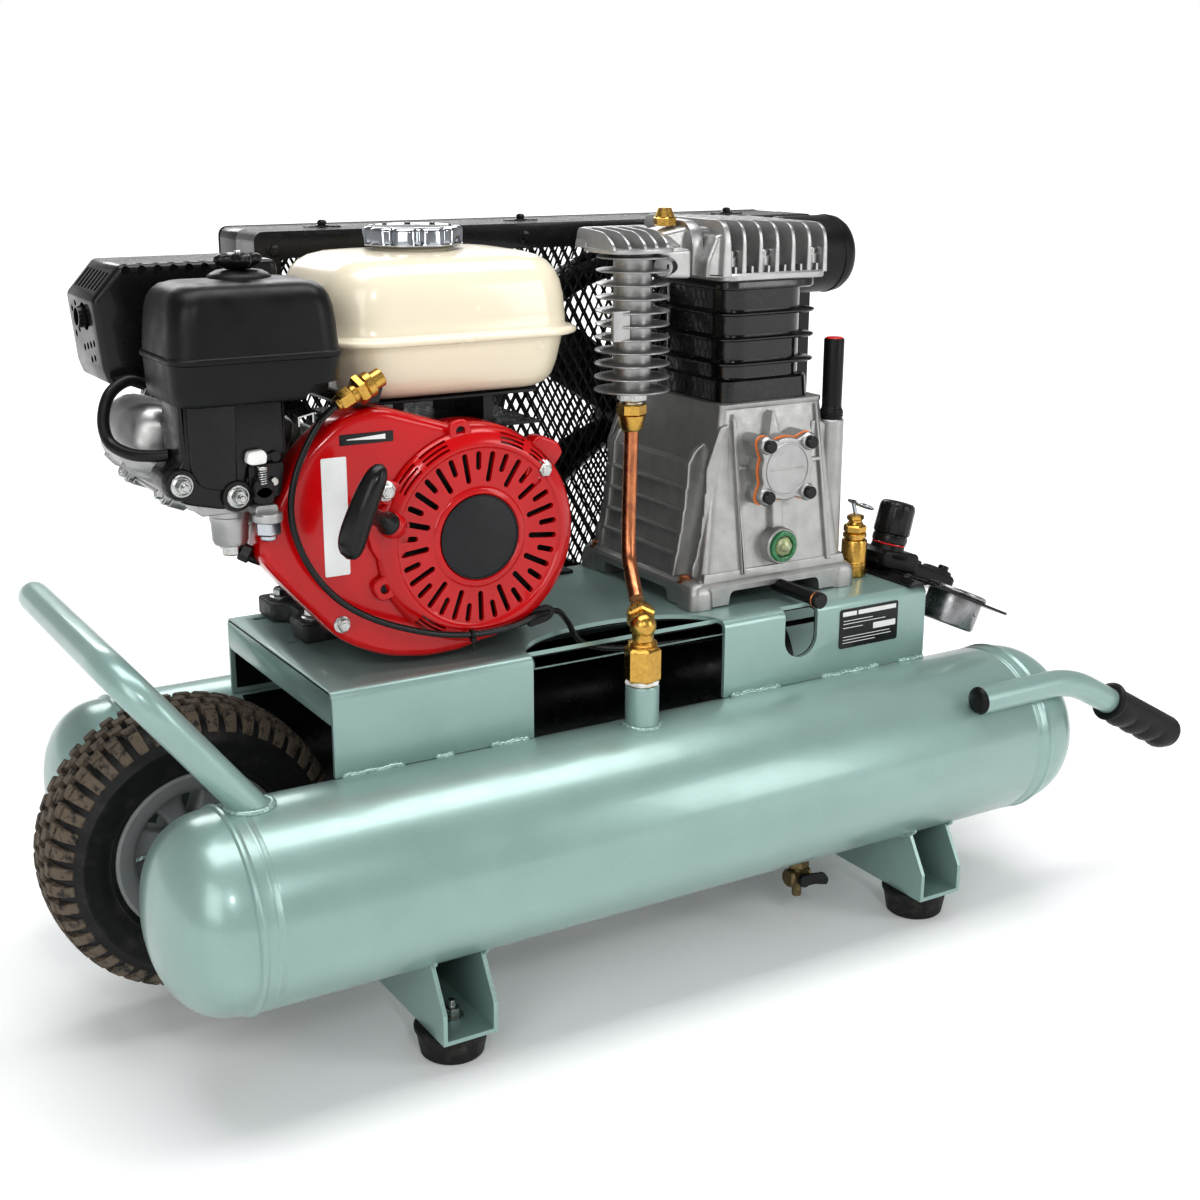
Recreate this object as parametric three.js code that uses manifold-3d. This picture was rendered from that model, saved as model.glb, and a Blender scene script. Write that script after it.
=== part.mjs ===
// Twin-tank wheelbarrow air compressor driven by a small petrol engine.
// Millimetres, +Z up. +X runs along the tanks from the wheel to the handles, +Y away from the recoil starter.
// The sub-parts are laid out from the wheel-end seam of the tanks, then shifted to the middle of the footprint.
import * as THREE from "three";
import { mergeVertices } from "three/addons/utils/BufferGeometryUtils.js";
import Module from "manifold-3d";

const wasm = await Module();
wasm.setup();

// ---- Driving dimensions -------------------------------------------------------------------------------------
const GAP = 0.3; // between touching pieces
const TANK = { r: 82.5, wall: 2.2, y: 149.5, z: 162, length: 812, dome: 60 };
const DECK = { x0: 107, x1: 733, y: 124, top: 314.3, sheet: 4, skirtFoot: 240.9, lip: 30 };
const ARCH = { x0: 291, x1: 491, depth: 52 };
const DRAIN_SLOT = { x: 579, half: 19, foot: 266 };
const CHANNEL = { half: 25, wall: 4, y: 214, z0: 27, nose: 55, slopeY: 188, slopeZ: 89, inner: 100 };
const CHANNEL_X = { wheel_end: 180, handle_end: 691 };
const FOOT = { y: 178, top: 32, bottom: 27, height: 26.7 };
const WHEEL = { x: 21, z: 161, r: 126.5, half: 42, rimR: 66, axleR: 8 };
const BAR_R = 13.35;
const BAR = { footX: 31, footZ: 238, topX: -65, topZ: 362, bend: 55 };
const HANDLE = { y: 221, z: 226.5, r: 13.1, plugX: 719, bendX: 838, slope: 29, gripStart: 66, gripLength: 112 };
const GRIP_R = 17;
const SHAFT = { x: 250, z: 421, r: 12.5 };
const PUMP = { x: 581, z: 441, shaftR: 14 };
const GUARD = { x0: 158.5, x1: 785, y0: 142, y1: 238, z0: 247, z1: 657, sheet: 1.6, panel: 0.9, lip: 24 };
const GUARD_CHIN = { x: 470, z: 345 }; // the foot slopes from x on the floor line up to z on the end wall
const BELT = { y: 188, width: 13, drop: 4, rise: 3.5, engineR: 48, pumpR: 182 };
const SHROUD = { x: 246, r: 95, y0: -100, y1: -61, wall: 3, openR: 74 };
const RECOIL = { r: 84, y0: -111.5, y1: -100.4, discR: 35 };
const FUEL = { x0: 138, x1: 371, y0: -92, y1: 92, bottom: 536.4, flange: 581, top: 643, capX: 249, capY: 5 };
const AIR = { x0: -3, x1: 135, y0: -122, y1: -22, bottom: 548, split: 581, top: 637 };
const MUFFLER = { x0: -24, x1: 128, y0: 4, y1: 84, z0: 553, z1: 645 };
const PUMP_BASE = { x0: 481, x1: 673, y0: -85, y1: 117, flange: 337 };
const PUMP_TOP = { x0: 528, x1: 645, y0: -58, y1: 106, z: 500 };
const BLOCK = { x0: 535, x1: 638, y0: -50, y1: 70, z1: 612 };
const HEAD = { x0: 527, x1: 648, y0: -60, y1: 80, plate: 7, top: 667 };
const COOLER = { x: 422, y: -70, r: 33.5, tubeR: 17, z0: 524, z1: 648, fins: 11 };
const NIPPLE = { x: 385, r: 15, top: 281, nut: 312 };
const PANEL = { x0: 734, z0: 318, y0: -136, y1: 40, length: 115, slope: 24, sheet: 3 };
const REGULATOR = { u: 3, v: -50, lean: 15 };
const GAUGE = { u: 68, v: -100, r: 31 };
const OUTLET_GAUGE = { u: 66, v: 4, r: 31 };
const DRAIN_X = 565;
const LAYOUT_SHIFT_X = -447.2;

// ---- Paints and metals --------------------------------------------------------------------------------------
const finish = (color, roughness, metalness) => new THREE.MeshStandardMaterial({ color, roughness, metalness });
const PAINT = {
  sage: finish(0x9fbdb4, 0.35, 0.1),
  red: finish(0xc4121c, 0.2, 0.1),
  cream: finish(0xf1ead9, 0.3, 0.0),
  black: finish(0x141414, 0.3, 0.2),
  matteBlack: finish(0x26282a, 0.6, 0.0),
  rubber: finish(0x1c1a18, 0.85, 0.0),
  rimGrey: finish(0x7d8080, 0.5, 0.3),
  castAluminium: finish(0xb4b4ae, 0.45, 0.7),
  castIron: finish(0x3a3b3a, 0.6, 0.5),
  steel: finish(0xb9bcbc, 0.3, 0.9),
  chrome: finish(0xdfe3e4, 0.12, 1.0),
  brass: finish(0xc39a3d, 0.3, 0.9),
  copper: finish(0xa9603a, 0.35, 0.9),
  white: finish(0xe8e8e6, 0.4, 0.0),
  greenGlass: finish(0x2f7d4a, 0.2, 0.0),
};

// ---- Solids -------------------------------------------------------------------------------------------------
function solid(geometry) {
  const plain = geometry.clone();
  plain.deleteAttribute("normal");
  plain.deleteAttribute("uv");
  const merged = mergeVertices(plain, 1e-3);
  const mesh = new wasm.Mesh({
    numProp: 3,
    vertProperties: new Float32Array(merged.attributes.position.array),
    triVerts: new Uint32Array(merged.index.array),
  });
  return new wasm.Manifold(mesh);
}

const join = (...solids) => solids.reduce((sum, next) => sum.add(next));
const cut = (body, ...tools) => tools.reduce((left, tool) => left.subtract(tool), body);

function named(name, body, material) {
  const out = body.getMesh();
  const geometry = new THREE.BufferGeometry();
  geometry.setAttribute("position", new THREE.BufferAttribute(new Float32Array(out.vertProperties), 3));
  geometry.setIndex(new THREE.BufferAttribute(new Uint32Array(out.triVerts), 1));
  geometry.computeVertexNormals();
  const mesh = new THREE.Mesh(geometry, material);
  mesh.name = name;
  return mesh;
}

function block(x0, x1, y0, y1, z0, z1) {
  const geometry = new THREE.BoxGeometry(x1 - x0, y1 - y0, z1 - z0);
  geometry.translate((x0 + x1) / 2, (y0 + y1) / 2, (z0 + z1) / 2);
  return solid(geometry);
}

// A rod between two points; a second radius makes it a cone.
function rod(from, to, radius, sides = 10, endRadius = radius) {
  const a = new THREE.Vector3(...from);
  const b = new THREE.Vector3(...to);
  const along = b.clone().sub(a);
  const geometry = new THREE.CylinderGeometry(endRadius, radius, along.length(), sides);
  const turn = new THREE.Quaternion().setFromUnitVectors(new THREE.Vector3(0, 1, 0), along.clone().normalize());
  geometry.applyQuaternion(turn);
  geometry.translate(...a.add(b).multiplyScalar(0.5).toArray());
  return solid(geometry);
}

// A turned piece: profile points are [radius, distance along the axis], counter-clockwise in that plane.
function turned(profile, origin, axis, sides = 24) {
  const points = profile.map(([radius, along]) => new THREE.Vector2(radius, along));
  const geometry = new THREE.LatheGeometry(points, sides);
  const direction = new THREE.Vector3(...axis).normalize();
  geometry.applyQuaternion(new THREE.Quaternion().setFromUnitVectors(new THREE.Vector3(0, 1, 0), direction));
  geometry.translate(...origin);
  return solid(geometry);
}

function outline(points, holes = []) {
  const shape = new THREE.Shape(points.map(([a, b]) => new THREE.Vector2(a, b)));
  shape.holes = holes;
  return shape;
}

function roundedRectangle(a0, a1, b0, b1, radius) {
  const shape = new THREE.Shape();
  shape.moveTo(a0 + radius, b0);
  shape.lineTo(a1 - radius, b0);
  shape.absarc(a1 - radius, b0 + radius, radius, -Math.PI / 2, 0);
  shape.lineTo(a1, b1 - radius);
  shape.absarc(a1 - radius, b1 - radius, radius, 0, Math.PI / 2);
  shape.lineTo(a0 + radius, b1);
  shape.absarc(a0 + radius, b1 - radius, radius, Math.PI / 2, Math.PI);
  shape.lineTo(a0, b0 + radius);
  shape.absarc(a0 + radius, b0 + radius, radius, Math.PI, 1.5 * Math.PI);
  return shape;
}

function disc(a, b, radius) {
  const shape = new THREE.Shape();
  shape.absarc(a, b, radius, 0, 2 * Math.PI);
  return shape;
}

// A shape drawn in XY, raised from z0 to z1, with an optional rounded edge.
function raised(shape, z0, z1, edge = 0, curveSegments = 6) {
  const options = { depth: z1 - z0 - 2 * edge, curveSegments, bevelEnabled: edge > 0 };
  if (edge > 0) Object.assign(options, { bevelThickness: edge, bevelSize: edge, bevelOffset: -edge, bevelSegments: 2 });
  const geometry = new THREE.ExtrudeGeometry(shape, options);
  geometry.translate(0, 0, z0 + edge);
  return solid(geometry);
}

// A shape drawn in XZ and extended from y0 to y1.
function across(shape, y0, y1, edge = 0, curveSegments = 8) {
  const made = raised(shape, 0, y1 - y0, edge, curveSegments);
  return made.transform([1, 0, 0, 0, 0, 0, 1, 0, 0, -1, 0, 0, 0, y1, 0, 1]);
}

// A shape drawn in YZ and extended from x0 to x1.
function along(shape, x0, x1, curveSegments = 8) {
  const made = raised(shape, 0, x1 - x0, 0, curveSegments);
  return made.transform([0, 1, 0, 0, 0, 0, 1, 0, 1, 0, 0, 0, x0, 0, 0, 1]);
}

// A round bar or, with a bore, a pipe, swept along a path.
function swept(path, radius, steps, bore = 0, sides = 12) {
  const section = disc(0, 0, radius);
  if (bore > 0) {
    const hole = new THREE.Path();
    hole.absarc(0, 0, bore, 0, 2 * Math.PI);
    section.holes.push(hole);
  }
  const geometry = new THREE.ExtrudeGeometry(section, { steps, extrudePath: path, curveSegments: sides });
  const made = solid(geometry);
  return made.volume() < 0 ? flipped(geometry) : made;
}

function flipped(geometry) {
  const plain = geometry.clone();
  const place = plain.getAttribute("position").array;
  for (let i = 0; i < place.length; i += 9) {
    for (let k = 0; k < 3; k += 1) {
      const keep = place[i + 3 + k];
      place[i + 3 + k] = place[i + 6 + k];
      place[i + 6 + k] = keep;
    }
  }
  return solid(plain);
}

// Straight runs joined by round bends: each corner becomes a quadratic arc of the given reach.
function bentPath(points, reach) {
  const corners = points.map((point) => new THREE.Vector3(...point));
  const path = new THREE.CurvePath();
  let start = corners[0];
  for (let i = 1; i < corners.length - 1; i += 1) {
    const before = corners[i].clone().sub(corners[i - 1]).setLength(reach);
    const after = corners[i + 1].clone().sub(corners[i]).setLength(reach);
    const enter = corners[i].clone().sub(before);
    const leave = corners[i].clone().add(after);
    path.add(new THREE.LineCurve3(start, enter));
    path.add(new THREE.QuadraticBezierCurve3(enter, corners[i], leave));
    start = leave;
  }
  path.add(new THREE.LineCurve3(start, corners[corners.length - 1]));
  return path;
}

const smoothPath = (points) => new THREE.CatmullRomCurve3(points.map((point) => new THREE.Vector3(...point)));
const hexNut = (from, to, radius) => rod(from, to, radius, 6);
const tankClear = (side, x0 = -80, x1 = TANK.length + 80) =>
  rod([x0, side * TANK.y, TANK.z], [x1, side * TANK.y, TANK.z], TANK.r + 0.6, 48);

// ---- Tanks and frame ----------------------------------------------------------------------------------------
function domePoints(radius, depth, base, direction) {
  const fullness = 2.3;
  const angles = [0, 24, 52, 90].map((degrees) => (degrees * Math.PI) / 180);
  return angles.map((angle) => {
    const r = radius * Math.sin(angle) ** (2 / fullness);
    const out = depth * Math.cos(angle) ** (2 / fullness);
    return [angle === 0 ? 0 : r, base + direction * out];
  });
}

function tankShell(side) {
  const outer = [
    ...domePoints(TANK.r - 1.2, TANK.dome, 0, -1),
    [TANK.r, 0],
    [TANK.r, TANK.length],
    ...domePoints(TANK.r - 1.2, TANK.dome, TANK.length, 1).reverse(),
  ];
  const inner = [
    ...domePoints(TANK.r - TANK.wall - 1.2, TANK.dome - TANK.wall, 0, -1),
    ...domePoints(TANK.r - TANK.wall - 1.2, TANK.dome - TANK.wall, TANK.length, 1).reverse(),
  ];
  const origin = [0, side * TANK.y, TANK.z];
  const shell = cut(turned(outer, origin, [1, 0, 0], 24), turned(inner, origin, [1, 0, 0], 24));
  const bracketIn = side * 48;
  const bracketOut = side * (TANK.y - TANK.r + 6);
  const low = Math.min(bracketIn, bracketOut);
  const high = Math.max(bracketIn, bracketOut);
  const pocketLow = side > 0 ? low + 5 : low - 1;
  const pocketHigh = side > 0 ? high + 1 : high - 5;
  const bracket = cut(
    block(WHEEL.x - 24, WHEEL.x + 24, low, high, WHEEL.z - 22, WHEEL.z + 22),
    block(WHEEL.x - 19, WHEEL.x + 19, pocketLow, pocketHigh, WHEEL.z - 30, WHEEL.z + 30),
    rod([WHEEL.x, low - 2, WHEEL.z], [WHEEL.x, high + 2, WHEEL.z], WHEEL.axleR + 0.4, 24),
    turned(inner, origin, [1, 0, 0], 24),
  );
  return join(shell, bracket);
}

function frontTank() {
  const nipple = rod([NIPPLE.x, -TANK.y, TANK.z + TANK.r - 6], [NIPPLE.x, -TANK.y, NIPPLE.top], NIPPLE.r, 18);
  const bore = rod([NIPPLE.x, -TANK.y, TANK.z + 40], [NIPPLE.x, -TANK.y, NIPPLE.top + 2], 7, 10);
  const drainBore = rod([DRAIN_X, -TANK.y, TANK.z - 100], [DRAIN_X, -TANK.y, TANK.z - 60], 5, 8);
  return named("front_tank", cut(join(tankShell(-1), nipple), bore, drainBore), PAINT.sage);
}

function rearTank() {
  const side = TANK.y - TANK.r;
  const pipe = rod([640, side + 2, TANK.z], [640, 0.5 - side, TANK.z], 11, 12);
  const bore = rod([640, side + 12, TANK.z], [640, -side - 12, TANK.z], 7, 8);
  return named("rear_tank", cut(join(tankShell(1), pipe), bore), PAINT.sage);
}

function deck() {
  const { x0, x1, y, top, sheet, skirtFoot, lip } = DECK;
  const bend = 8;
  const section = roundedRectangle(-y, y, skirtFoot - 60, top, bend);
  const hollow = roundedRectangle(-y + sheet, y - sheet, skirtFoot - 70, top - sheet, bend - sheet);
  const skin = cut(along(section, x0, x1, 3), along(hollow, x0 + sheet, x1 - sheet, 3));
  const below = block(x0 - 1, x1 + 1, -y - 1, y + 1, skirtFoot - 80, skirtFoot);
  const wheelMouth = block(x0 - 1, x0 + sheet + 1, -y + sheet, y - sheet, skirtFoot - 80, top - lip);
  const handleMouth = block(x1 - sheet - 1, x1 + 1, -y + sheet, y - sheet, skirtFoot - 80, top - lip);
  const middle = (ARCH.x0 + ARCH.x1) / 2;
  const archSide = block(ARCH.x0, ARCH.x1, -y - 1, -y + bend + 2, skirtFoot - 80, top + 1);
  const bow = new THREE.Shape();
  bow.absellipse(middle, -y + bend, (ARCH.x1 - ARCH.x0) / 2, ARCH.depth, 0, 2 * Math.PI);
  const archTop = raised(bow, top - 20, top + 5, 0, 10);
  const slot = join(
    block(DRAIN_SLOT.x - DRAIN_SLOT.half, DRAIN_SLOT.x + DRAIN_SLOT.half, -y - 1, -y + bend + 3,
      DRAIN_SLOT.foot + DRAIN_SLOT.half, top + 1),
    rod([DRAIN_SLOT.x, -y - 1, DRAIN_SLOT.foot + DRAIN_SLOT.half],
      [DRAIN_SLOT.x, -y + bend + 3, DRAIN_SLOT.foot + DRAIN_SLOT.half], DRAIN_SLOT.half, 24),
  );
  return named("deck", cut(skin, below, wheelMouth, handleMouth, archSide, archTop, slot), PAINT.sage);
}

function crossChannel(end) {
  const x = CHANNEL_X[end];
  const c = CHANNEL;
  const side = outline([
    [-c.y, c.z0],
    [c.y, c.z0],
    [c.y, c.nose],
    [c.slopeY, c.slopeZ + 10],
    [100, c.inner],
    [-100, c.inner],
    [-c.slopeY, c.slopeZ + 10],
    [-c.y, c.nose],
  ]);
  const trough = block(x - c.half + c.wall, x + c.half - c.wall, -c.y - 1, c.y + 1, c.z0 + c.wall, 200);
  const bolts = [-1, 1].map((s) => rod([x, s * FOOT.y, c.z0 - 2], [x, s * FOOT.y, c.z0 + 8], 5.4, 16));
  const body = cut(along(side, x - c.half, x + c.half), trough, tankClear(-1), tankClear(1), ...bolts);
  return named(`${end}_channel`, body, PAINT.sage);
}

function rubberFoot(name, x, y) {
  const top = FOOT.height;
  const cup = turned(
    [[0, 0], [FOOT.bottom, 0], [FOOT.top - 1, top - 6], [FOOT.top, top], [5, top], [5, CHANNEL.z0 + 13], [0, CHANNEL.z0 + 13]],
    [x, y, 0], [0, 0, 1], 14,
  );
  const washer = rod([x, y, CHANNEL.z0 + CHANNEL.wall + 0.3], [x, y, CHANNEL.z0 + CHANNEL.wall + 2.3], 11, 14);
  const nut = hexNut([x, y, CHANNEL.z0 + CHANNEL.wall + 2.2], [x, y, CHANNEL.z0 + CHANNEL.wall + 9], 8.5);
  return named(name, join(cup, washer, nut), PAINT.rubber);
}

function liftBar() {
  const path = bentPath([
    [BAR.footX, -TANK.y, BAR.footZ],
    [BAR.topX, -TANK.y, BAR.topZ],
    [BAR.topX, TANK.y, BAR.topZ],
    [BAR.footX, TANK.y, BAR.footZ],
  ], BAR.bend);
  return named("lift_bar", cut(swept(path, BAR_R, 16, BAR_R - 2.5, 4), tankClear(-1), tankClear(1)), PAINT.sage);
}

function handlePoint(distance, side) {
  const slope = (HANDLE.slope * Math.PI) / 180;
  return [HANDLE.bendX + distance * Math.cos(slope), side * HANDLE.y, HANDLE.z - distance * Math.sin(slope)];
}

function handleBar(name, side) {
  const tube = HANDLE.gripStart + HANDLE.gripLength - 12;
  const path = bentPath([[HANDLE.plugX, side * HANDLE.y, HANDLE.z], handlePoint(0, side), handlePoint(tube, side)], 26);
  const pipe = swept(path, HANDLE.r, 8, HANDLE.r - 2.2, 4);
  return named(name, cut(pipe, tankClear(side)), PAINT.sage);
}

function handleGrip(name, side) {
  const slope = (HANDLE.slope * Math.PI) / 180;
  const axis = [Math.cos(slope), 0, -Math.sin(slope)];
  const length = HANDLE.gripLength;
  const bore = HANDLE.r + 1.2;
  const profile = [[0, length - 8], [bore, length - 8], [bore, 0], [GRIP_R + 2, 0], [GRIP_R + 2, 6]];
  const waves = 5;
  for (let i = 0; i < waves; i += 1) {
    const start = 8 + (i * (length - 18)) / waves;
    profile.push([GRIP_R - 1, start], [GRIP_R, start + 9]);
  }
  profile.push([GRIP_R, length - 3], [GRIP_R - 4, length], [0, length]);
  return named(name, turned(profile, handlePoint(HANDLE.gripStart, side), axis, 10), PAINT.matteBlack);
}

// ---- Wheel --------------------------------------------------------------------------------------------------
function wheelProfile(points) {
  return turned(points, [WHEEL.x, 0, WHEEL.z], [0, 1, 0], 28);
}

function tyre() {
  const { r, half } = WHEEL;
  const seat = WHEEL.rimR - 8;
  return named("tyre", wheelProfile([
    [seat, -26], [WHEEL.rimR + 6, -32], [88, -half], [108, -half + 1], [118, -34], [r - 1, -24], [r, -10], [r, 10],
    [r - 1, 24], [118, 34], [108, half - 1], [88, half], [WHEEL.rimR + 6, 32], [seat, 26], [seat, -26],
  ]), PAINT.rubber);
}

function rim() {
  const seat = WHEEL.rimR - 8 - GAP;
  const band = wheelProfile([
    [seat - 5, -24], [seat, -26], [seat, 26], [seat - 5, 24], [seat - 5, -24],
  ]);
  const bore = WHEEL.axleR + 0.35;
  const hub = wheelProfile([[bore, -42], [20, -42], [22, -20], [22, 20], [20, 42], [bore, 42], [bore, -42]]);
  const spokes = [0, 1, 2, 3, 4, 5, 6].map((i) => {
    const angle = (i / 7) * 2 * Math.PI - 0.21;
    const spoke = new THREE.BoxGeometry(38, 18, 15);
    spoke.translate(37, 0, 0);
    spoke.applyMatrix4(new THREE.Matrix4().makeRotationY(angle));
    spoke.translate(WHEEL.x, 0, WHEEL.z);
    return solid(spoke);
  });
  return named("rim", join(band, hub, ...spokes), PAINT.rimGrey);
}

function axle() {
  const shaft = rod([WHEEL.x, -54, WHEEL.z], [WHEEL.x, 54, WHEEL.z], WHEEL.axleR, 24);
  const headSide = hexNut([WHEEL.x, -60, WHEEL.z], [WHEEL.x, -53.3, WHEEL.z], 13);
  const nutSide = hexNut([WHEEL.x, 53.3, WHEEL.z], [WHEEL.x, 60, WHEEL.z], 13);
  return named("axle", join(shaft, headSide, nutSide), PAINT.steel);
}

// ---- Belt drive ---------------------------------------------------------------------------------------------
// The guard's side view, moved in by inset: square but for the foot that slopes up towards the engine.
function guardOutline(inset) {
  const { x0, x1, z0, z1 } = GUARD;
  const run = GUARD_CHIN.x - x0;
  const rise = GUARD_CHIN.z - z0;
  const slant = Math.hypot(run, rise);
  const wallZ = GUARD_CHIN.z + (inset * (slant - rise)) / run;
  const floorX = GUARD_CHIN.x + (inset * (slant - run)) / rise;
  return outline([[floorX, z0 + inset], [x1 - inset, z0 + inset], [x1 - inset, z1 - inset], [x0 + inset, z1 - inset],
    [x0 + inset, wallZ]]);
}

function guardShell() {
  const { y0, y1, z0, sheet, lip } = GUARD;
  const tray = cut(across(guardOutline(0), y0, y1, 0, 2), across(guardOutline(sheet), y0 + sheet, y1 - sheet, 0, 2));
  const shell = cut(tray, across(guardOutline(lip), y0 - 1, y1 + 1, 0, 2));
  const leg = block(437, 457, 92, y0 + 1, DECK.top + 0.3, DECK.top + 3.3);
  const riser = block(437, 457, y0 - 3, y0 + sheet, z0 + 10, DECK.top + 3.3);
  return named("guard_shell", join(shell, leg, riser), PAINT.black);
}

// The expanded-metal panels are carried as thin perforated plates behind the shell's lips.
function grille(name, y, shaftHoles) {
  const { sheet, panel } = GUARD;
  const plate = across(guardOutline(sheet + 4), y, y + panel, 0, 2);
  const holes = shaftHoles.map(([x, z, r]) => rod([x, y - 2, z], [x, y + 4, z], r, 24));
  return named(name, cut(plate, ...holes), PAINT.black);
}

function beltLoop(engineR, pumpR, y0, y1) {
  const dx = PUMP.x - SHAFT.x;
  const dz = PUMP.z - SHAFT.z;
  const distance = Math.hypot(dx, dz);
  const lean = Math.atan2(dz, dx);
  const open = Math.acos((engineR - pumpR) / distance);
  const shape = new THREE.Shape();
  shape.absarc(SHAFT.x, SHAFT.z, engineR, lean + open, lean - open + 2 * Math.PI, false);
  shape.absarc(PUMP.x, PUMP.z, pumpR, lean - open, lean + open, false);
  return across(shape, y0, y1, 0, 14);
}

function driveBelt() {
  const { y, width, drop, rise, engineR, pumpR } = BELT;
  const outer = beltLoop(engineR + rise, pumpR + rise, y - width / 2, y + width / 2);
  const inner = beltLoop(engineR - drop, pumpR - drop, y - width / 2 - 1, y + width / 2 + 1);
  return named("drive_belt", cut(outer, inner), PAINT.rubber);
}

function grooved(x, z, pitch, webHalf, sides) {
  const { y, width, drop, rise } = BELT;
  const floor = pitch - drop - 1;
  const lipR = pitch + rise - 0.5;
  const half = width / 2;
  return turned([
    [0, -webHalf], [lipR, -webHalf], [lipR, -half - 1], [floor, -half - 0.5], [floor, half + 0.5], [lipR, half + 1],
    [lipR, webHalf], [0, webHalf],
  ], [x, y, z], [0, 1, 0], sides);
}

function enginePulley() {
  const wheel = grooved(SHAFT.x, SHAFT.z, BELT.engineR, 12, 22);
  const hub = rod([SHAFT.x, BELT.y - 30, SHAFT.z], [SHAFT.x, BELT.y - 11, SHAFT.z], 24, 16);
  const bore = rod([SHAFT.x, BELT.y - 40, SHAFT.z], [SHAFT.x, BELT.y + 20, SHAFT.z], SHAFT.r + 0.35, 24);
  return named("engine_pulley", cut(join(wheel, hub), bore), PAINT.castIron);
}

function flywheel() {
  const { y } = BELT;
  const pitch = BELT.pumpR;
  const rimPart = cut(
    grooved(PUMP.x, PUMP.z, pitch, 14, 30),
    rod([PUMP.x, y - 20, PUMP.z], [PUMP.x, y + 20, PUMP.z], pitch - 22, 20),
  );
  const hub = rod([PUMP.x, y - 26, PUMP.z], [PUMP.x, y + 22, PUMP.z], 34, 18);
  const spokes = [0, 1, 2, 3, 4].map((i) => {
    const spoke = new THREE.BoxGeometry(pitch - 40, 12, 30);
    spoke.translate(pitch / 2 + 6, 0, 0);
    spoke.applyMatrix4(new THREE.Matrix4().makeRotationX(0.5));
    spoke.applyMatrix4(new THREE.Matrix4().makeRotationY((i / 5) * 2 * Math.PI + 0.35));
    spoke.translate(PUMP.x, y, PUMP.z);
    return solid(spoke);
  });
  const bore = rod([PUMP.x, y - 40, PUMP.z], [PUMP.x, y + 40, PUMP.z], PUMP.shaftR + 0.35, 24);
  return named("flywheel", cut(join(rimPart, hub, ...spokes), bore), PAINT.castIron);
}

// ---- Pump ---------------------------------------------------------------------------------------------------
function pumpShaft() {
  const shaft = rod([PUMP.x, -50, PUMP.z], [PUMP.x, BELT.y + 24, PUMP.z], PUMP.shaftR, 24);
  const nut = hexNut([PUMP.x, BELT.y + 22.4, PUMP.z], [PUMP.x, BELT.y + 34, PUMP.z], 17);
  return named("pump_crankshaft", join(shaft, nut), PAINT.steel);
}

// A tapered housing: the shape seen from the front crossed with the shape seen from the side.
function tapered(front, side, y0, y1, x0, x1) {
  return across(front, y0, y1, 0, 4).intersect(along(side, x0, x1, 4));
}

function pumpCrankcase() {
  const b = PUMP_BASE;
  const t = PUMP_TOP;
  const foot = DECK.top + GAP;
  const hips = 345;
  const front = outline([[b.x0, foot], [b.x1, foot], [b.x1, b.flange], [b.x1 - 12, hips], [t.x1, t.z], [t.x0, t.z],
    [b.x0 + 12, hips], [b.x0, b.flange]]);
  const side = outline([[b.y0, foot], [b.y1, foot], [b.y1, b.flange], [b.y1 - 6, hips], [t.y1, t.z], [t.y0, t.z],
    [b.y0 + 6, hips], [b.y0, b.flange]]);
  const housing = tapered(front, side, b.y0 - 5, b.y1 + 5, b.x0 - 5, b.x1 + 5);
  const archX = block(b.x0 + 34, b.x1 - 34, b.y0 - 10, b.y1 + 10, foot - 2, foot + 11);
  const archY = block(b.x0 - 10, b.x1 + 10, b.y0 + 34, b.y1 - 34, foot - 2, foot + 11);
  const chamber = block(t.x0 + 10, t.x1 - 10, t.y0 + 14, t.y1 - 12, b.flange + 14, t.z + 5);
  const fillNeck = rod([658, -58, b.flange - 8], [658, -58, 477], 12.5, 20);
  const neckWeb = block(634, 656, -62, -54, b.flange, 470);
  const neckBore = rod([658, -58, b.flange + 20], [658, -58, 480], 6, 12);
  const boss = rod([PUMP.x, t.y0 - 26, PUMP.z], [PUMP.x, t.y0 + 20, PUMP.z], 34, 32);
  const bossBore = rod([PUMP.x, t.y0 - 30, PUMP.z], [PUMP.x, t.y0 + 24, PUMP.z], 22.5, 24);
  const sightBoss = rod([581, b.y0 - 3, 366], [581, b.y0 + 20, 366], 17, 24);
  const sightBore = rod([581, b.y0 - 6, 366], [581, b.y0 + 12, 366], 12, 20);
  const rearBore = rod([PUMP.x, t.y1 - 20, PUMP.z], [PUMP.x, b.y1 + 10, PUMP.z], PUMP.shaftR + 0.5, 24);
  const drainBore = rod([583, b.y0 - 12, 326], [583, b.y0 + 12, 326], 7, 14);
  const ribs = [365, 388, 411, 434].map((z) => {
    const spread = ((t.z - z) / (t.z - hips)) * (t.x0 - b.x0 - 12);
    return block(t.x0 - spread - 2, t.x0 - spread + 12, -35, 88, z, z + 4);
  });
  const wing = outline([[530, 481], [521.5, 481], [507, 444], [506.5, 419], [504, 397], [501, 377], [493, 350], [530, 350]]);
  const wings = [[t.y0 - 6, t.y0 - 1], [t.y1 - 1, t.y1 + 5]].map(([a, b2]) => across(wing, a, b2));
  const body = cut(join(housing, fillNeck, neckWeb, boss, sightBoss, ...ribs, ...wings),
    archX, archY, chamber, neckBore, bossBore, sightBore, rearBore, drainBore);
  return named("pump_crankcase", body, PAINT.castAluminium);
}

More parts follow.
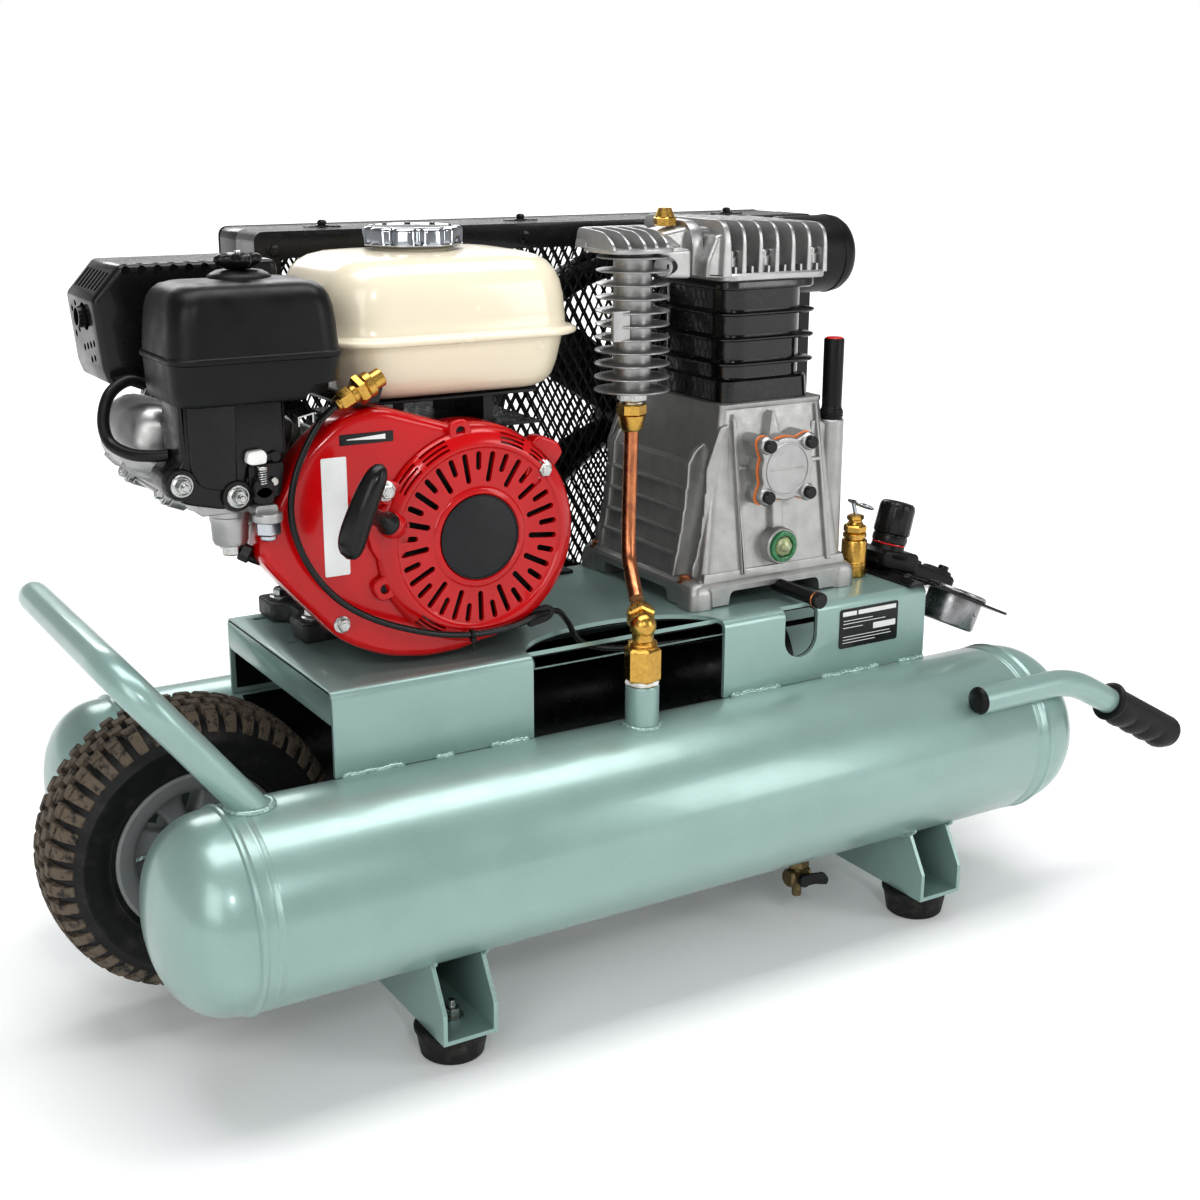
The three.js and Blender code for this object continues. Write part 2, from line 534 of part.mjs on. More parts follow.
function bearingCover() {
  const y = PUMP_TOP.y0 - 26.3;
  const plate = across(roundedRectangle(PUMP.x - 32, PUMP.x + 32, PUMP.z - 32, PUMP.z + 32, 11), y - 7, y, 0, 3);
  const crown = rod([PUMP.x, y - 10, PUMP.z], [PUMP.x, y - 6, PUMP.z], 25, 18);
  const spigot = rod([PUMP.x, y - 1, PUMP.z], [PUMP.x, y + 14, PUMP.z], 22, 14);
  const screws = [[-1, -1], [-1, 1], [1, -1], [1, 1]].map(([a, b]) =>
    rod([PUMP.x + a * 24, y - 13, PUMP.z + b * 24], [PUMP.x + a * 24, y - 6, PUMP.z + b * 24], 6, 6));
  return named("bearing_cover", join(plate, crown, spigot, ...screws), PAINT.castAluminium);
}

function sightGlass() {
  const y = PUMP_BASE.y0 - 3.3;
  const lens = turned([[0, 5], [5, 4.4], [9, 2], [10, 0], [14, 0], [14, -3], [11.5, -3], [11.5, -10], [0, -10]].reverse(),
    [581, y - 3, 366], [0, -1, 0], 24);
  return named("sight_glass", lens, PAINT.greenGlass);
}

function cylinderBlock() {
  const b = BLOCK;
  const z0 = PUMP_TOP.z + GAP;
  const barrel = raised(roundedRectangle(b.x0, b.x1, b.y0, b.y1, 16), z0, b.z1, 0, 2);
  const fins = [522, 546, 570, 594].map((z) =>
    raised(roundedRectangle(b.x0 - 6, b.x1 + 6, b.y0 - 6, b.y1 + 6, 20), z, z + 4, 0, 2));
  const bores = [-16, 36].map((y) => rod([PUMP.x, y, z0 - 5], [PUMP.x, y, b.z1 + 5], 23.5, 10));
  return named("cylinder_block", cut(join(barrel, ...fins), ...bores), PAINT.black);
}

function cylinderHead() {
  const h = HEAD;
  const z0 = BLOCK.z1 + GAP;
  const plate = raised(roundedRectangle(h.x0, h.x1, h.y0, h.y1, 14), z0, z0 + h.plate, 0, 4);
  const core = block(h.x0 + 6, h.x1 - 6, h.y0 + 14, h.y1 - 8, z0 + 5, h.top - 20);
  const finTop = (inset) => outline([[h.y0 + 2, z0 + 5], [h.y1 - 2, z0 + 5], [h.y1 - 2, h.top - 10 - inset], [h.y1 - 10, h.top - inset],
    [h.y0 + 20, h.top - inset], [h.y0 + 2, h.top - 22 - inset]]);
  const fins = [0, 1, 2, 3, 4, 5, 6].map((i) => along(finTop(i * 0.8), h.x0 + 4 + i * 18.4, h.x0 + 7 + i * 18.4));
  const bridge = block(COOLER.x, h.x0 + 8, -33, 2, z0 + 20, z0 + 44);
  const pad = block(480, 514, -28, 8, z0 + 30, h.top);
  const saddle = raised(roundedRectangle(COOLER.x - 36, COOLER.x + 36, COOLER.y - 30, COOLER.y + 44, 14),
    COOLER.z1 + GAP - 4, COOLER.z1 + GAP, 0, 3);
  const combs = [0, 1, 2, 3, 4].map((i) => block(COOLER.x - 34 + i * 14, COOLER.x - 31 + i * 14, COOLER.y - 22, COOLER.y + 40,
    COOLER.z1 - 1, COOLER.z1 + 16));
  const web = block(COOLER.x - 34, COOLER.x + 36, COOLER.y + 18, COOLER.y + 40, COOLER.z1 - 1, COOLER.z1 + 8);
  const outletBore = rod([COOLER.x, COOLER.y, COOLER.z1 - 20], [COOLER.x, COOLER.y, COOLER.z1 - 2], 20, 20);
  const inlet = rod([h.x1 - 10, 40, 626], [h.x1 + 9, 40, 626], 14, 20);
  const safety = join(rod([497, -10, h.top - 1], [497, -10, h.top + 4], 9, 6), rod([497, -10, h.top + 3], [497, -10, h.top + 10], 6, 12));
  const body = cut(join(plate, core, ...fins, bridge, pad, saddle, ...combs, web, inlet, safety), outletBore);
  return named("cylinder_head", body, PAINT.castAluminium);
}

function intakeFilter() {
  const can = turned([[0, 0], [30, 0], [38, 5], [38, 74], [30, 83], [0, 83]], [HEAD.x1 + 9.4, 46, 624], [1, 0, 0], 32);
  return named("intake_filter", can, PAINT.matteBlack);
}

function dipstick() {
  const top = 555;
  const grip = rod([658, -58, 477.4], [658, -58, top], 9.6, 20);
  const collar = rod([658, -58, 477.4], [658, -58, 487], 10.4, 20);
  const rodPart = rod([658, -58, 380], [658, -58, 480], 4, 10);
  return named("dipstick", join(grip, collar, rodPart), PAINT.matteBlack);
}

function oilDrainTube() {
  const y = PUMP_BASE.y0;
  const tube = rod([583, y + 8, 326], [583, y - 56, 326], 6.6, 14);
  const cap = rod([583, y - 55, 326], [583, y - 62, 326], 8, 14);
  return named("oil_drain_tube", join(tube, cap), PAINT.matteBlack);
}

function aftercooler() {
  const c = COOLER;
  const at = (z0, z1, r, sides) => rod([c.x, c.y, z0], [c.x, c.y, z1], r, sides);
  const pitch = (c.z1 - 9 - c.z0) / (c.fins - 1);
  const fins = [...Array(c.fins).keys()].map((i) => at(c.z0 + i * pitch, c.z0 + i * pitch + 3, c.r, 10));
  const base = hexNut([c.x, c.y, c.z0 - 10], [c.x, c.y, c.z0 + 1], 12);
  return named("aftercooler", join(at(c.z0, c.z1 - 4, c.tubeR, 10), ...fins, base), PAINT.castAluminium);
}

function dischargeTube() {
  const top = COOLER.z0 - 10.3;
  const nut = hexNut([COOLER.x, COOLER.y, top - 22], [COOLER.x, COOLER.y, top], 12.5);
  const path = new THREE.CatmullRomCurve3([
    new THREE.Vector3(COOLER.x, COOLER.y, top - 20),
    new THREE.Vector3(419, -73, 450),
    new THREE.Vector3(415, -78, 400),
    new THREE.Vector3(411, -86, 374),
    new THREE.Vector3(403, -108, 353),
    new THREE.Vector3(399.8, -115.8, 347.3),
  ]);
  return named("discharge_tube", join(nut, swept(path, 6.4, 14, 0, 5)), PAINT.copper);
}

function tankElbow() {
  const y = -TANK.y;
  const nut = hexNut([NIPPLE.x, y, NIPPLE.top + GAP], [NIPPLE.x, y, NIPPLE.nut], 17);
  const neck = rod([NIPPLE.x, y, NIPPLE.nut - 1], [NIPPLE.x, y, 334], 10, 16);
  const knee = solid(new THREE.SphereGeometry(11, 8, 5).translate(NIPPLE.x, y, 334));
  const arm = rod([NIPPLE.x, y, 334], [394.5, -128, 342], 8.5, 8);
  const collar = rod([393.5, -130.5, 341], [398, -120, 345], 14, 12);
  return named("tank_elbow", join(nut, neck, knee, arm, collar), PAINT.brass);
}

// ---- Engine -------------------------------------------------------------------------------------------------
const BARREL_TILT = (22 * Math.PI) / 180;

// A box set along the tilted cylinder axis: s runs out from the shaft, w across it, both in the XZ plane.
function tiltedBlock(s0, s1, w0, w1, y0, y1) {
  const geometry = new THREE.BoxGeometry(s1 - s0, y1 - y0, w1 - w0);
  geometry.translate(-(s0 + s1) / 2, (y0 + y1) / 2, (w0 + w1) / 2);
  geometry.applyMatrix4(new THREE.Matrix4().makeRotationY(BARREL_TILT));
  geometry.translate(SHAFT.x, 0, SHAFT.z);
  return solid(geometry);
}

function engineBlock() {
  const foot = DECK.top + GAP;
  const base = block(136, 350, 6, 122, foot, foot + 18);
  const pocket = block(188, 312, 0, 130, foot - 1, foot + 6);
  const caseBody = across(roundedRectangle(178, 330, foot + 10, 500, 22), -56, 128, 0, 3);
  const barrel = tiltedBlock(60, 232, -44, 36, -44, 76);
  const fins = [150, 168, 186, 204].map((s) => tiltedBlock(s, s + 5, -50, 40, -50, 82));
  const joint = tiltedBlock(226, 240, -44, 26, -44, 74);
  const bore = rod([SHAFT.x, -70, SHAFT.z], [SHAFT.x, 140, SHAFT.z], SHAFT.r + 0.6, 24);
  const chamber = block(188, 320, -46, 118, foot + 22, 490);
  const cylinderBore = rod([SHAFT.x, 16, SHAFT.z], [SHAFT.x - 231 * Math.cos(BARREL_TILT), 16,
    SHAFT.z + 231 * Math.sin(BARREL_TILT)], 34, 20);
  const filler = rod([318, 66, foot + 12], [345, 84, 352], 11, 14);
  const bolts = [[152, 25], [152, 102], [334, 25], [334, 102]].map(([x, y]) =>
    hexNut([x, y, foot + 17], [x, y, foot + 25], 8));
  const body = cut(join(base, caseBody, barrel, ...fins, joint, filler, ...bolts), pocket, bore, chamber, cylinderBore);
  return named("engine_block", body, PAINT.castIron);
}

function valveCover() {
  const cover = tiltedBlock(240.4, 276, -38, 24, -34, 64);
  const crown = tiltedBlock(275, 284, -30, 16, -24, 54);
  return named("valve_cover", join(cover, crown), PAINT.castAluminium);
}

function crankshaftFan() {
  const shaft = rod([SHAFT.x, -92, SHAFT.z], [SHAFT.x, BELT.y + 14, SHAFT.z], SHAFT.r, 24);
  const web = rod([SHAFT.x, -72, SHAFT.z], [SHAFT.x, -64, SHAFT.z], 82, 24);
  const cup = rod([SHAFT.x, -92, SHAFT.z], [SHAFT.x, -71, SHAFT.z], 32, 14);
  const blades = [...Array(8).keys()].map((i) => {
    const blade = new THREE.BoxGeometry(30, 18, 3);
    blade.translate(65, 0, 0);
    blade.applyMatrix4(new THREE.Matrix4().makeRotationY((i / 8) * 2 * Math.PI));
    blade.translate(SHAFT.x, -80, SHAFT.z);
    return solid(blade);
  });
  return named("crankshaft_and_fan", join(shaft, web, cup, ...blades), PAINT.castIron);
}

function shroudShape(grow) {
  const shape = new THREE.Shape();
  const low = (-112 * Math.PI) / 180;
  const high = (98 * Math.PI) / 180;
  shape.absarc(SHROUD.x, SHAFT.z, SHROUD.r + grow, low, high, false);
  [[168, 536], [136, 531], [104, 506], [78, 466], [65, 440], [64, 424], [72, 411], [97, 388], [133, 362], [160, 344], [182, 329],
    [204, 325]].forEach(([x, z]) =>
    shape.lineTo(x - grow * Math.sign(SHAFT.x - x), z + grow * Math.sign(z - SHAFT.z)));
  return shape;
}

function fanShroud() {
  const { y0, y1, wall, openR } = SHROUD;
  const shell = cut(across(shroudShape(0), y0, y1, 0, 12), across(shroudShape(-wall), y0 + wall, y1 + 5, 0, 12));
  const mouth = rod([SHAFT.x, y0 - 5, SHAFT.z], [SHAFT.x, y0 + 8, SHAFT.z], openR, 28);
  const lug = block(314, 340, y0 + 12, y1 - 12, 470, 494);
  const lugClear = rod([SHROUD.x, y0 + 5, SHAFT.z], [SHROUD.x, y1 + 5, SHAFT.z], SHROUD.r - wall, 28);
  return named("fan_shroud", join(cut(shell, mouth), cut(lug, lugClear)), PAINT.red);
}

function recoilCover() {
  const { r, y0, y1, discR } = RECOIL;
  const dish = turned([[0, 0], [r, 0], [r - 3, 7], [discR + 10, y1 - y0], [0, y1 - y0]], [SHAFT.x, y1, SHAFT.z], [0, -1, 0], 24);
  const slots = [...Array(10).keys()].map((i) => {
    const slot = new THREE.BoxGeometry(22, 40, 5);
    slot.translate(61, 0, 0);
    slot.applyMatrix4(new THREE.Matrix4().makeRotationY((i / 10) * 2 * Math.PI));
    slot.translate(SHAFT.x, y1, SHAFT.z);
    return solid(slot);
  });
  const recess = rod([SHAFT.x, y1 - 3.4, SHAFT.z], [SHAFT.x, y1 + 5, SHAFT.z], 66, 18);
  const eyelet = rod([171, RECOIL.y1 - 6.4, 441], [166, RECOIL.y1 - 13, 443], 10, 14);
  const ropeBore = rod([178, RECOIL.y1 + 4, 438], [161, RECOIL.y1 - 16, 446], 4.5, 12);
  return named("recoil_cover", cut(join(cut(dish, ...slots, recess), eyelet), ropeBore), PAINT.red);
}

const PULL = new THREE.Vector3(-0.7, -0.58, 0.416).normalize();
const PULL_START = [162, RECOIL.y1 - 12.5, 446];

function recoilHandle() {
  const start = new THREE.Vector3(...PULL_START);
  const neckEnd = start.clone().addScaledVector(PULL, 50);
  const neck = rod(start.toArray(), neckEnd.toArray(), 6.5, 12, 10);
  const upward = new THREE.Vector3(0.34, -0.08, 0.937);
  const low = neckEnd.clone().addScaledVector(upward, -36);
  const high = neckEnd.clone().addScaledVector(upward, 36);
  const bar = rod(low.toArray(), high.toArray(), 9.5, 14, 11.5);
  return named("recoil_handle", join(neck, bar), PAINT.matteBlack);
}

function fuelTank() {
  const f = FUEL;
  const plan = (inset, r) => roundedRectangle(f.x0 + inset, f.x1 - inset, f.y0 + inset, f.y1 - inset, r);
  const lower = raised(plan(15, 34), f.bottom, f.flange, 10, 2);
  const lowerWaist = raised(plan(12, 38), f.flange - 24, f.flange, 0, 2);
  const flange = raised(plan(0, 42), f.flange - 3, f.flange + 4, 0, 3);
  const upper = raised(plan(12, 40), f.flange, f.top, 12, 3);
  const neck = rod([f.capX, f.capY, f.top - 4], [f.capX, f.capY, f.top + 3], 30, 16);
  const legs = [block(206, 216, -40, 60, 498, f.bottom + 4), block(290, 300, -40, 60, 498, f.bottom + 4)];
  const clearCase = block(170, 340, -60, 130, 480, 500.4);
  const lowerInside = raised(plan(21, 34), f.bottom + 3, f.flange + 1, 0, 2);
  const upperInside = raised(plan(18, 34), f.flange, f.top - 5, 0, 2);
  const mouth = rod([f.capX, f.capY, f.top - 12], [f.capX, f.capY, f.top + 6], 26, 16);
  const body = cut(join(lower, lowerWaist, flange, upper, neck, ...legs), clearCase, lowerInside, upperInside, mouth);
  return named("fuel_tank", body, PAINT.cream);
}

function fuelCap() {
  const z = FUEL.top + 3.4;
  const crown = turned([[0, 0], [40, 0], [42, 4], [42, 14], [38, 17], [0, 18.5]], [FUEL.capX, FUEL.capY, z], [0, 0, 1], 30);
  const flutes = [...Array(10).keys()].map((i) => {
    const angle = (i / 10) * 2 * Math.PI;
    const x = FUEL.capX + 43 * Math.cos(angle);
    const y = FUEL.capY + 43 * Math.sin(angle);
    return rod([x, y, z - 1], [x, y, z + 20], 3.5, 6);
  });
  return named("fuel_cap", cut(crown, ...flutes), PAINT.chrome);
}

function airCleanerBase() {
  const a = AIR;
  const pan = raised(roundedRectangle(a.x0 + 2, a.x1 - 2, a.y0 + 2, a.y1 - 2, 20), a.bottom, a.split - GAP, 0, 3);
  const tray = cut(pan, block(108, a.x1 + 1, a.y0 - 1, -84, a.bottom - 1, 560));
  const elbow = across(roundedRectangle(-4, 44, 478, a.bottom + 6, 8), -98, -54, 0, 2);
  const duct = across(roundedRectangle(30, 86, 500, a.bottom + 6, 8), -94, -54, 0, 2);
  const bolts = [[4, 490], [44, 478]].map(([x, z]) => rod([x, -104, z], [x, -92, z], 8, 8));
  const lugs = [[4, 490], [44, 478]].map(([x, z]) => rod([x, -100, z], [x, -92.6, z], 12, 10));
  return named("air_cleaner_base", join(tray, elbow, duct, ...lugs, ...bolts), PAINT.matteBlack);
}

function airCleanerCover() {
  const a = AIR;
  const lid = raised(roundedRectangle(a.x0, a.x1, a.y0, a.y1, 22), a.split, a.top, 10, 3);
  const rimBand = raised(roundedRectangle(a.x0 + 0.5, a.x1 - 0.5, a.y0 + 0.5, a.y1 - 0.5, 22), a.split, a.split + 20, 0, 3);
  const boss = rod([74, -54, a.top - 1], [74, -54, a.top + 4], 16, 20, 13);
  const inside = raised(roundedRectangle(a.x0 + 3, a.x1 - 3, a.y0 + 3, a.y1 - 3, 18), a.split - 1, a.top - 6, 0, 2);
  return named("air_cleaner_cover", cut(join(lid, rimBand, boss), inside), PAINT.matteBlack);
}

function coverKnob() {
  const z = AIR.top + 4.3;
  const hub = rod([74, -54, z], [74, -54, z + 11], 11, 16, 8.5);
  const wing = block(74 - 15, 74 + 15, -57, -51, z + 1, z + 15);
  return named("cover_knob", join(hub, wing), PAINT.matteBlack);
}

function breatherHose() {
  const path = smoothPath([[8, -9, 554], [-6, -12, 558], [-22, -17, 549],
    [-30, -24, 531], [-29, -34, 515], [-20, -50, 508], [-9.2, -62, 508]]);
  return named("breather_hose", swept(path, 4.6, 14, 0, 4), PAINT.rubber);
}

function carburettor() {
  const flange = block(20, 64, -92, -56, 462, 477.6);
  const bowl = rod([48, -75, 433], [48, -75, 463], 15, 18);
  const bowlBolt = hexNut([48, -75, 425], [48, -75, 434], 7);
  const arm = block(58, 74, -113, -90, 462, 470);
  const cock = rod([66, -112, 445], [66, -112, 463], 9.5, 14);
  const clearBarrel = tiltedBlock(50, 246, -54, 46, -53, 85);
  return named("carburettor", cut(join(flange, bowl, bowlBolt, arm, cock), clearBarrel), PAINT.castAluminium);
}

function chokeLever() {
  const pivot = rod([79, -101, 505], [79, -94.3, 505], 5, 10);
  const arm = block(60, 82, -100.5, -97.5, 502, 508);
  const paddle = block(55, 71, -104, -97.5, 501, 512);
  return named("choke_lever", join(pivot, arm, paddle), PAINT.white);
}

function muffler() {
  const m = MUFFLER;
  const guard = across(outline([[m.x0 + 10, m.z0], [m.x1, m.z0], [m.x1, m.z1], [m.x0 + 22, m.z1], [m.x0, m.z1 - 26],
    [m.x0 + 6, m.z0 + 12]]), m.y0, m.y1);
  const inside = block(m.x0 + 14, m.x1 - 3, m.y0 + 3, m.y1 - 3, m.z0 + 3, m.z1 - 4);
  const outlet = rod([m.x0 - 5, 44, 600], [m.x0 + 16, 44, 600], 13, 20);
  const slots = [...Array(8).keys()].map((i) => block(m.x0 + 36 + i * 14, m.x0 + 43 + i * 14, m.y0 - 2, m.y0 + 5, m.z1 - 13, m.z1 + 2));
  const pipe = rod([96, 46, 512], [96, 46, m.z0 + 3], 16, 20);
  return named("muffler", join(cut(guard, inside, outlet, ...slots), cut(pipe, tiltedBlock(50, 246, -54, 46.4, -53, 85))), PAINT.black);
}

function throttleActuator() {
  const lower = [131, -101, 541];
  const upper = [169, -101, 560];
  const barrelPart = rod(lower, upper, 9, 8);
  const nut = hexNut([135, -101, 543], [147, -101, 549], 11.5);
  const bracket = block(150, 176, -104, -100.4, 530, 552);
  return named("throttle_actuator", join(barrelPart, nut, bracket), PAINT.brass);
}

function throttleLine() {
  const path = smoothPath([[130, -101, 540.4], [112, -105, 526], [93, -108, 494], [86, -109, 463], [91, -110, 434], [104, -112, 407],
    [124, -115, 384], [150, -117, 367], [181, -118, 354], [212, -118, 345], [244, -117, 340.5], [278, -114, 341], [305, -108, 345],
    [330, -96, 342], [348, -84, 326], [362, -80, 306], [384, -82, 296], [420, -84, 291], [480, -88, 289], [560, -92, 289],
    [640, -92, 289], [700, -86, 288]]);
  return named("throttle_line", swept(path, 2.6, 38, 0, 4), PAINT.rubber);
}

// ---- Controls -----------------------------------------------------------------------------------------------
const PANEL_SLOPE = (PANEL.slope * Math.PI) / 180;

// Panel space: u runs down the slope, v is Y, w stands off its top face.
function onPanel(body) {
  const c = Math.cos(PANEL_SLOPE);
  const s = Math.sin(PANEL_SLOPE);
  return body.transform([c, 0, -s, 0, 0, 1, 0, 0, s, 0, c, 0, PANEL.x0, 0, PANEL.z0, 1]);
}

function controlPanel() {
  const p = PANEL;
  const plate = onPanel(block(0, p.length, p.y0, p.y1, -p.sheet, 0));
  const flange = block(p.x0 - 22, p.x0 + 0.6, p.y0 + 12, p.y1, DECK.top + GAP, p.z0);
  const gaugeHoles = [GAUGE, OUTLET_GAUGE].map(({ u, v }) => onPanel(rod([u, v, -10], [u, v, 10], 28.4, 22)));
  return named("control_panel", cut(join(plate, flange), ...gaugeHoles), PAINT.black);
}

// The regulator's knob axis leans towards the handles; a point on it is given by its height above the slab.
function onKnobAxis(body) {
  const lean = (REGULATOR.lean * Math.PI) / 180;
  const c = Math.cos(lean);
  const s = Math.sin(lean);
  return body.transform([c, 0, -s, 0, 0, 1, 0, 0, s, 0, c, 0, 745, REGULATOR.v, 335, 1]);
}

function regulator() {
  const slab = onPanel(raised(roundedRectangle(-16, 98, -66, -26, 8), 0.8, 17, 0, 3));
  const collar = onKnobAxis(rod([0, 0, -8], [0, 0, 4], 16, 18));
  const plug = onPanel(rod([84, -56, 16], [84, -56, 21], 5, 8));
  const coupler = onPanel(rod([12, -28, 9.5], [12, 16, 9.5], 8, 12));
  const { u, v, r } = OUTLET_GAUGE;
  const dial = onPanel(rod([u, v, 0.8], [u, v, 5.5], r, 22));
  const dialCan = onPanel(rod([u, v, -30], [u, v, 2], 27.4, 22));
  return named("regulator", join(slab, collar, plug, coupler, dial, dialCan), PAINT.matteBlack);
}

function regulatorKnob() {
  const cap = turned([[0, 4.4], [17.4, 4.4], [18.4, 10], [17.6, 13], [18.6, 15], [18, 44], [15.5, 48], [0, 48]],
    [0, 0, 0], [0, 0, 1], 18);
  return named("regulator_knob", onKnobAxis(cap), PAINT.matteBlack);
}

function tankGauge() {
  const { u, v, r } = GAUGE;
  const can = turned([[0, -32], [r - 3, -32], [r - 1, -30], [r - 1, -3.4], [r - 3.4, -3.4], [r - 3.4, GAP], [r, GAP],
    [r, 4], [r - 3, 5.5], [0, 5.5]], [0, 0, 0], [0, 0, 1], 22);
  return named("tank_gauge", onPanel(can.translate([u, v, 0])), PAINT.chrome);
}

function reliefValve() {
  const at = (z0, z1, r, sides = 14) => rod([696, -56, z0], [696, -56, z1], r, sides);
  const foot = DECK.top + GAP;
  const bodyPart = join(at(foot, 352, 12.5), at(351, 358, 10), at(357, 364, 11.5, 6), at(363, 372, 8), at(371, 376, 9));
  return named("relief_valve", bodyPart, PAINT.brass);
}

function reliefRing() {
  const ring = new THREE.TorusGeometry(12, 1.6, 6, 16);
  ring.applyMatrix4(new THREE.Matrix4().makeRotationY(0.42));
  ring.translate(702, -56, 386);
  const stem = rod([696, -56, 376.4], [692.5, -56, 391], 1.8, 8);
  return named("relief_ring", join(solid(ring), stem), PAINT.steel);
}

function drainValve() {
  const y = -TANK.y;
  const top = TANK.z - TANK.r - GAP;
  const stem = rod([DRAIN_X, y, top], [DRAIN_X, y, 58], 7, 14);
  const hex = hexNut([DRAIN_X, y, 64], [DRAIN_X, y, 72], 10);
  const bodyPart = rod([DRAIN_X - 12, y, 54], [DRAIN_X + 12, y, 54], 9, 12);
  const spout = rod([DRAIN_X, y, 54], [DRAIN_X, y, 34], 4.5, 12);
  return named("drain_valve", join(stem, hex, bodyPart, spout), PAINT.brass);
}

function drainLever() {
  const y = -TANK.y - 9.4;
  const hub = rod([DRAIN_X, y, 54], [DRAIN_X, y - 6, 54], 5.5, 12);
  const arm = block(DRAIN_X - 4, DRAIN_X + 26, y - 6, y - 3, 50, 58);
  return named("drain_lever", join(hub, arm), PAINT.black);
}

// ---- Assembly -----------------------------------------------------------------------------------------------
function assembly() {
  const group = new THREE.Group();
  const feet = Object.entries(CHANNEL_X).flatMap(([end, x]) => [
    rubberFoot(`${end}_front_foot`, x, -FOOT.y),
    rubberFoot(`${end}_rear_foot`, x, FOOT.y),
  ]);
  group.add(
    frontTank(), rearTank(), deck(), crossChannel("wheel_end"), crossChannel("handle_end"), ...feet, liftBar(),
    handleBar("front_handle", -1), handleBar("rear_handle", 1), handleGrip("front_grip", -1), handleGrip("rear_grip", 1),
    tyre(), rim(), axle(),
    guardShell(),
    grille("guard_front_grille", GUARD.y0 + GUARD.sheet + GAP, [[SHAFT.x, SHAFT.z, 40], [PUMP.x, PUMP.z, 50]]),
    grille("guard_rear_grille", GUARD.y1 - GUARD.sheet - GAP - GUARD.panel, []),
    driveBelt(), enginePulley(), flywheel(), pumpShaft(), crankshaftFan(),
    pumpCrankcase(), bearingCover(), sightGlass(), cylinderBlock(), cylinderHead(), intakeFilter(), dipstick(), oilDrainTube(),
    aftercooler(), dischargeTube(), tankElbow(),
    engineBlock(), valveCover(), fanShroud(), recoilCover(), recoilHandle(), fuelTank(), fuelCap(),
    airCleanerBase(), airCleanerCover(), coverKnob(), breatherHose(), carburettor(), chokeLever(), muffler(),
    throttleActuator(), throttleLine(),
    controlPanel(), regulator(), regulatorKnob(), tankGauge(), reliefValve(), reliefRing(),
    drainValve(), drainLever(),
  );
  group.position.x = LAYOUT_SHIFT_X;
  return group;
}

export default assembly();
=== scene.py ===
"""Looks of a petrol-engine wheelbarrow air compressor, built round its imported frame.

Sizes are in millimetres in the layout of the CAD source: x runs from the tanks' wheel-end seam, y away from the
recoil starter, z up from the floor. row() turns them into the row frame's metres."""

import math

import bmesh
import bpy
import numpy as np
from mathutils import Matrix, Vector


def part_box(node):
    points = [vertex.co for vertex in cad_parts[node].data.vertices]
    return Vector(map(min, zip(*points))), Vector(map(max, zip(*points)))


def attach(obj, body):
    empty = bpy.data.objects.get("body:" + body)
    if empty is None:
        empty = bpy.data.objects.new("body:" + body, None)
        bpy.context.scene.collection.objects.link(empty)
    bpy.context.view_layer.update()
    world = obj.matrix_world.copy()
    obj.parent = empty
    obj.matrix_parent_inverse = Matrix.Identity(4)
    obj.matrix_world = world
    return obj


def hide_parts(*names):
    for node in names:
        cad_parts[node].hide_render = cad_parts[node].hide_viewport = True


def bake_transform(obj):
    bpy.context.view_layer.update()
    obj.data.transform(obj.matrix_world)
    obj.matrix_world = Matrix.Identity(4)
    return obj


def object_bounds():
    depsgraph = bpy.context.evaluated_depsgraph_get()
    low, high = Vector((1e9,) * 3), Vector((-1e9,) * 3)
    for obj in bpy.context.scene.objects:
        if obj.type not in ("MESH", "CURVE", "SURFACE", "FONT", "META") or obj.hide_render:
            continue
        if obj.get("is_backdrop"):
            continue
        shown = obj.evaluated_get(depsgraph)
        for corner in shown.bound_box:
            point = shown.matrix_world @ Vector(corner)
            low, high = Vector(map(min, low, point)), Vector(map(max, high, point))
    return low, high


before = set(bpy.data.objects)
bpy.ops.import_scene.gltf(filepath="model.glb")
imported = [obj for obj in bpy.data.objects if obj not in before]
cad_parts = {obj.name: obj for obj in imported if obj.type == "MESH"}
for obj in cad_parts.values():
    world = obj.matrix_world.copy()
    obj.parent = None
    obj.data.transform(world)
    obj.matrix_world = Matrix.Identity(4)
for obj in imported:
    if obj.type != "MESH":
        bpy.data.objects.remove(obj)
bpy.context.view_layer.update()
X0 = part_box("front_tank")[0].x * 1000 + 60.0
TAU = 2 * math.pi
TANK_R, TANK_Y, TANK_Z, TANK_L = 82.5, 149.5, 162.0, 812.0
UP, NEAR, ALONG_X, ALONG_Y = (0, 0, 1), (0, -1, 0), (1, 0, 0), (0, 1, 0)
SLOT_OF = {}  # the record's slot for each material made by paint()
WELD_DIST = 2e-6  # metres; corners closer than this become one


# ---- Solids ------------------------------------------------------------------------------------------------------
def row(point):
    """Layout millimetres to the row frame's metres."""
    return Vector(((point[0] + X0) / 1000, point[1] / 1000, point[2] / 1000))


def loft(rings, loop=False, caps=True):
    """Skin over rings of points with equal counts; a ring of one point is a pole."""
    verts, faces, starts = [], [], []
    for ring in rings:
        starts.append((len(verts), len(ring)))
        verts += [tuple(p) for p in ring]
    pairs = list(zip(starts, starts[1:]))
    if loop:
        pairs.append((starts[-1], starts[0]))
    for (a, na), (b, nb) in pairs:
        n = max(na, nb)
        for i in range(n):
            j = (i + 1) % n
            if na == 1:
                faces.append((a, b + j, b + i))
            elif nb == 1:
                faces.append((a + i, a + j, b))
            else:
                faces.append((a + i, a + j, b + j, b + i))
    if caps and not loop:
        (a, na), (b, nb) = starts[0], starts[-1]
        if na > 1:
            faces.append(tuple(reversed(range(a, a + na))))
        if nb > 1:
            faces.append(tuple(range(b, b + nb)))
    return verts, faces


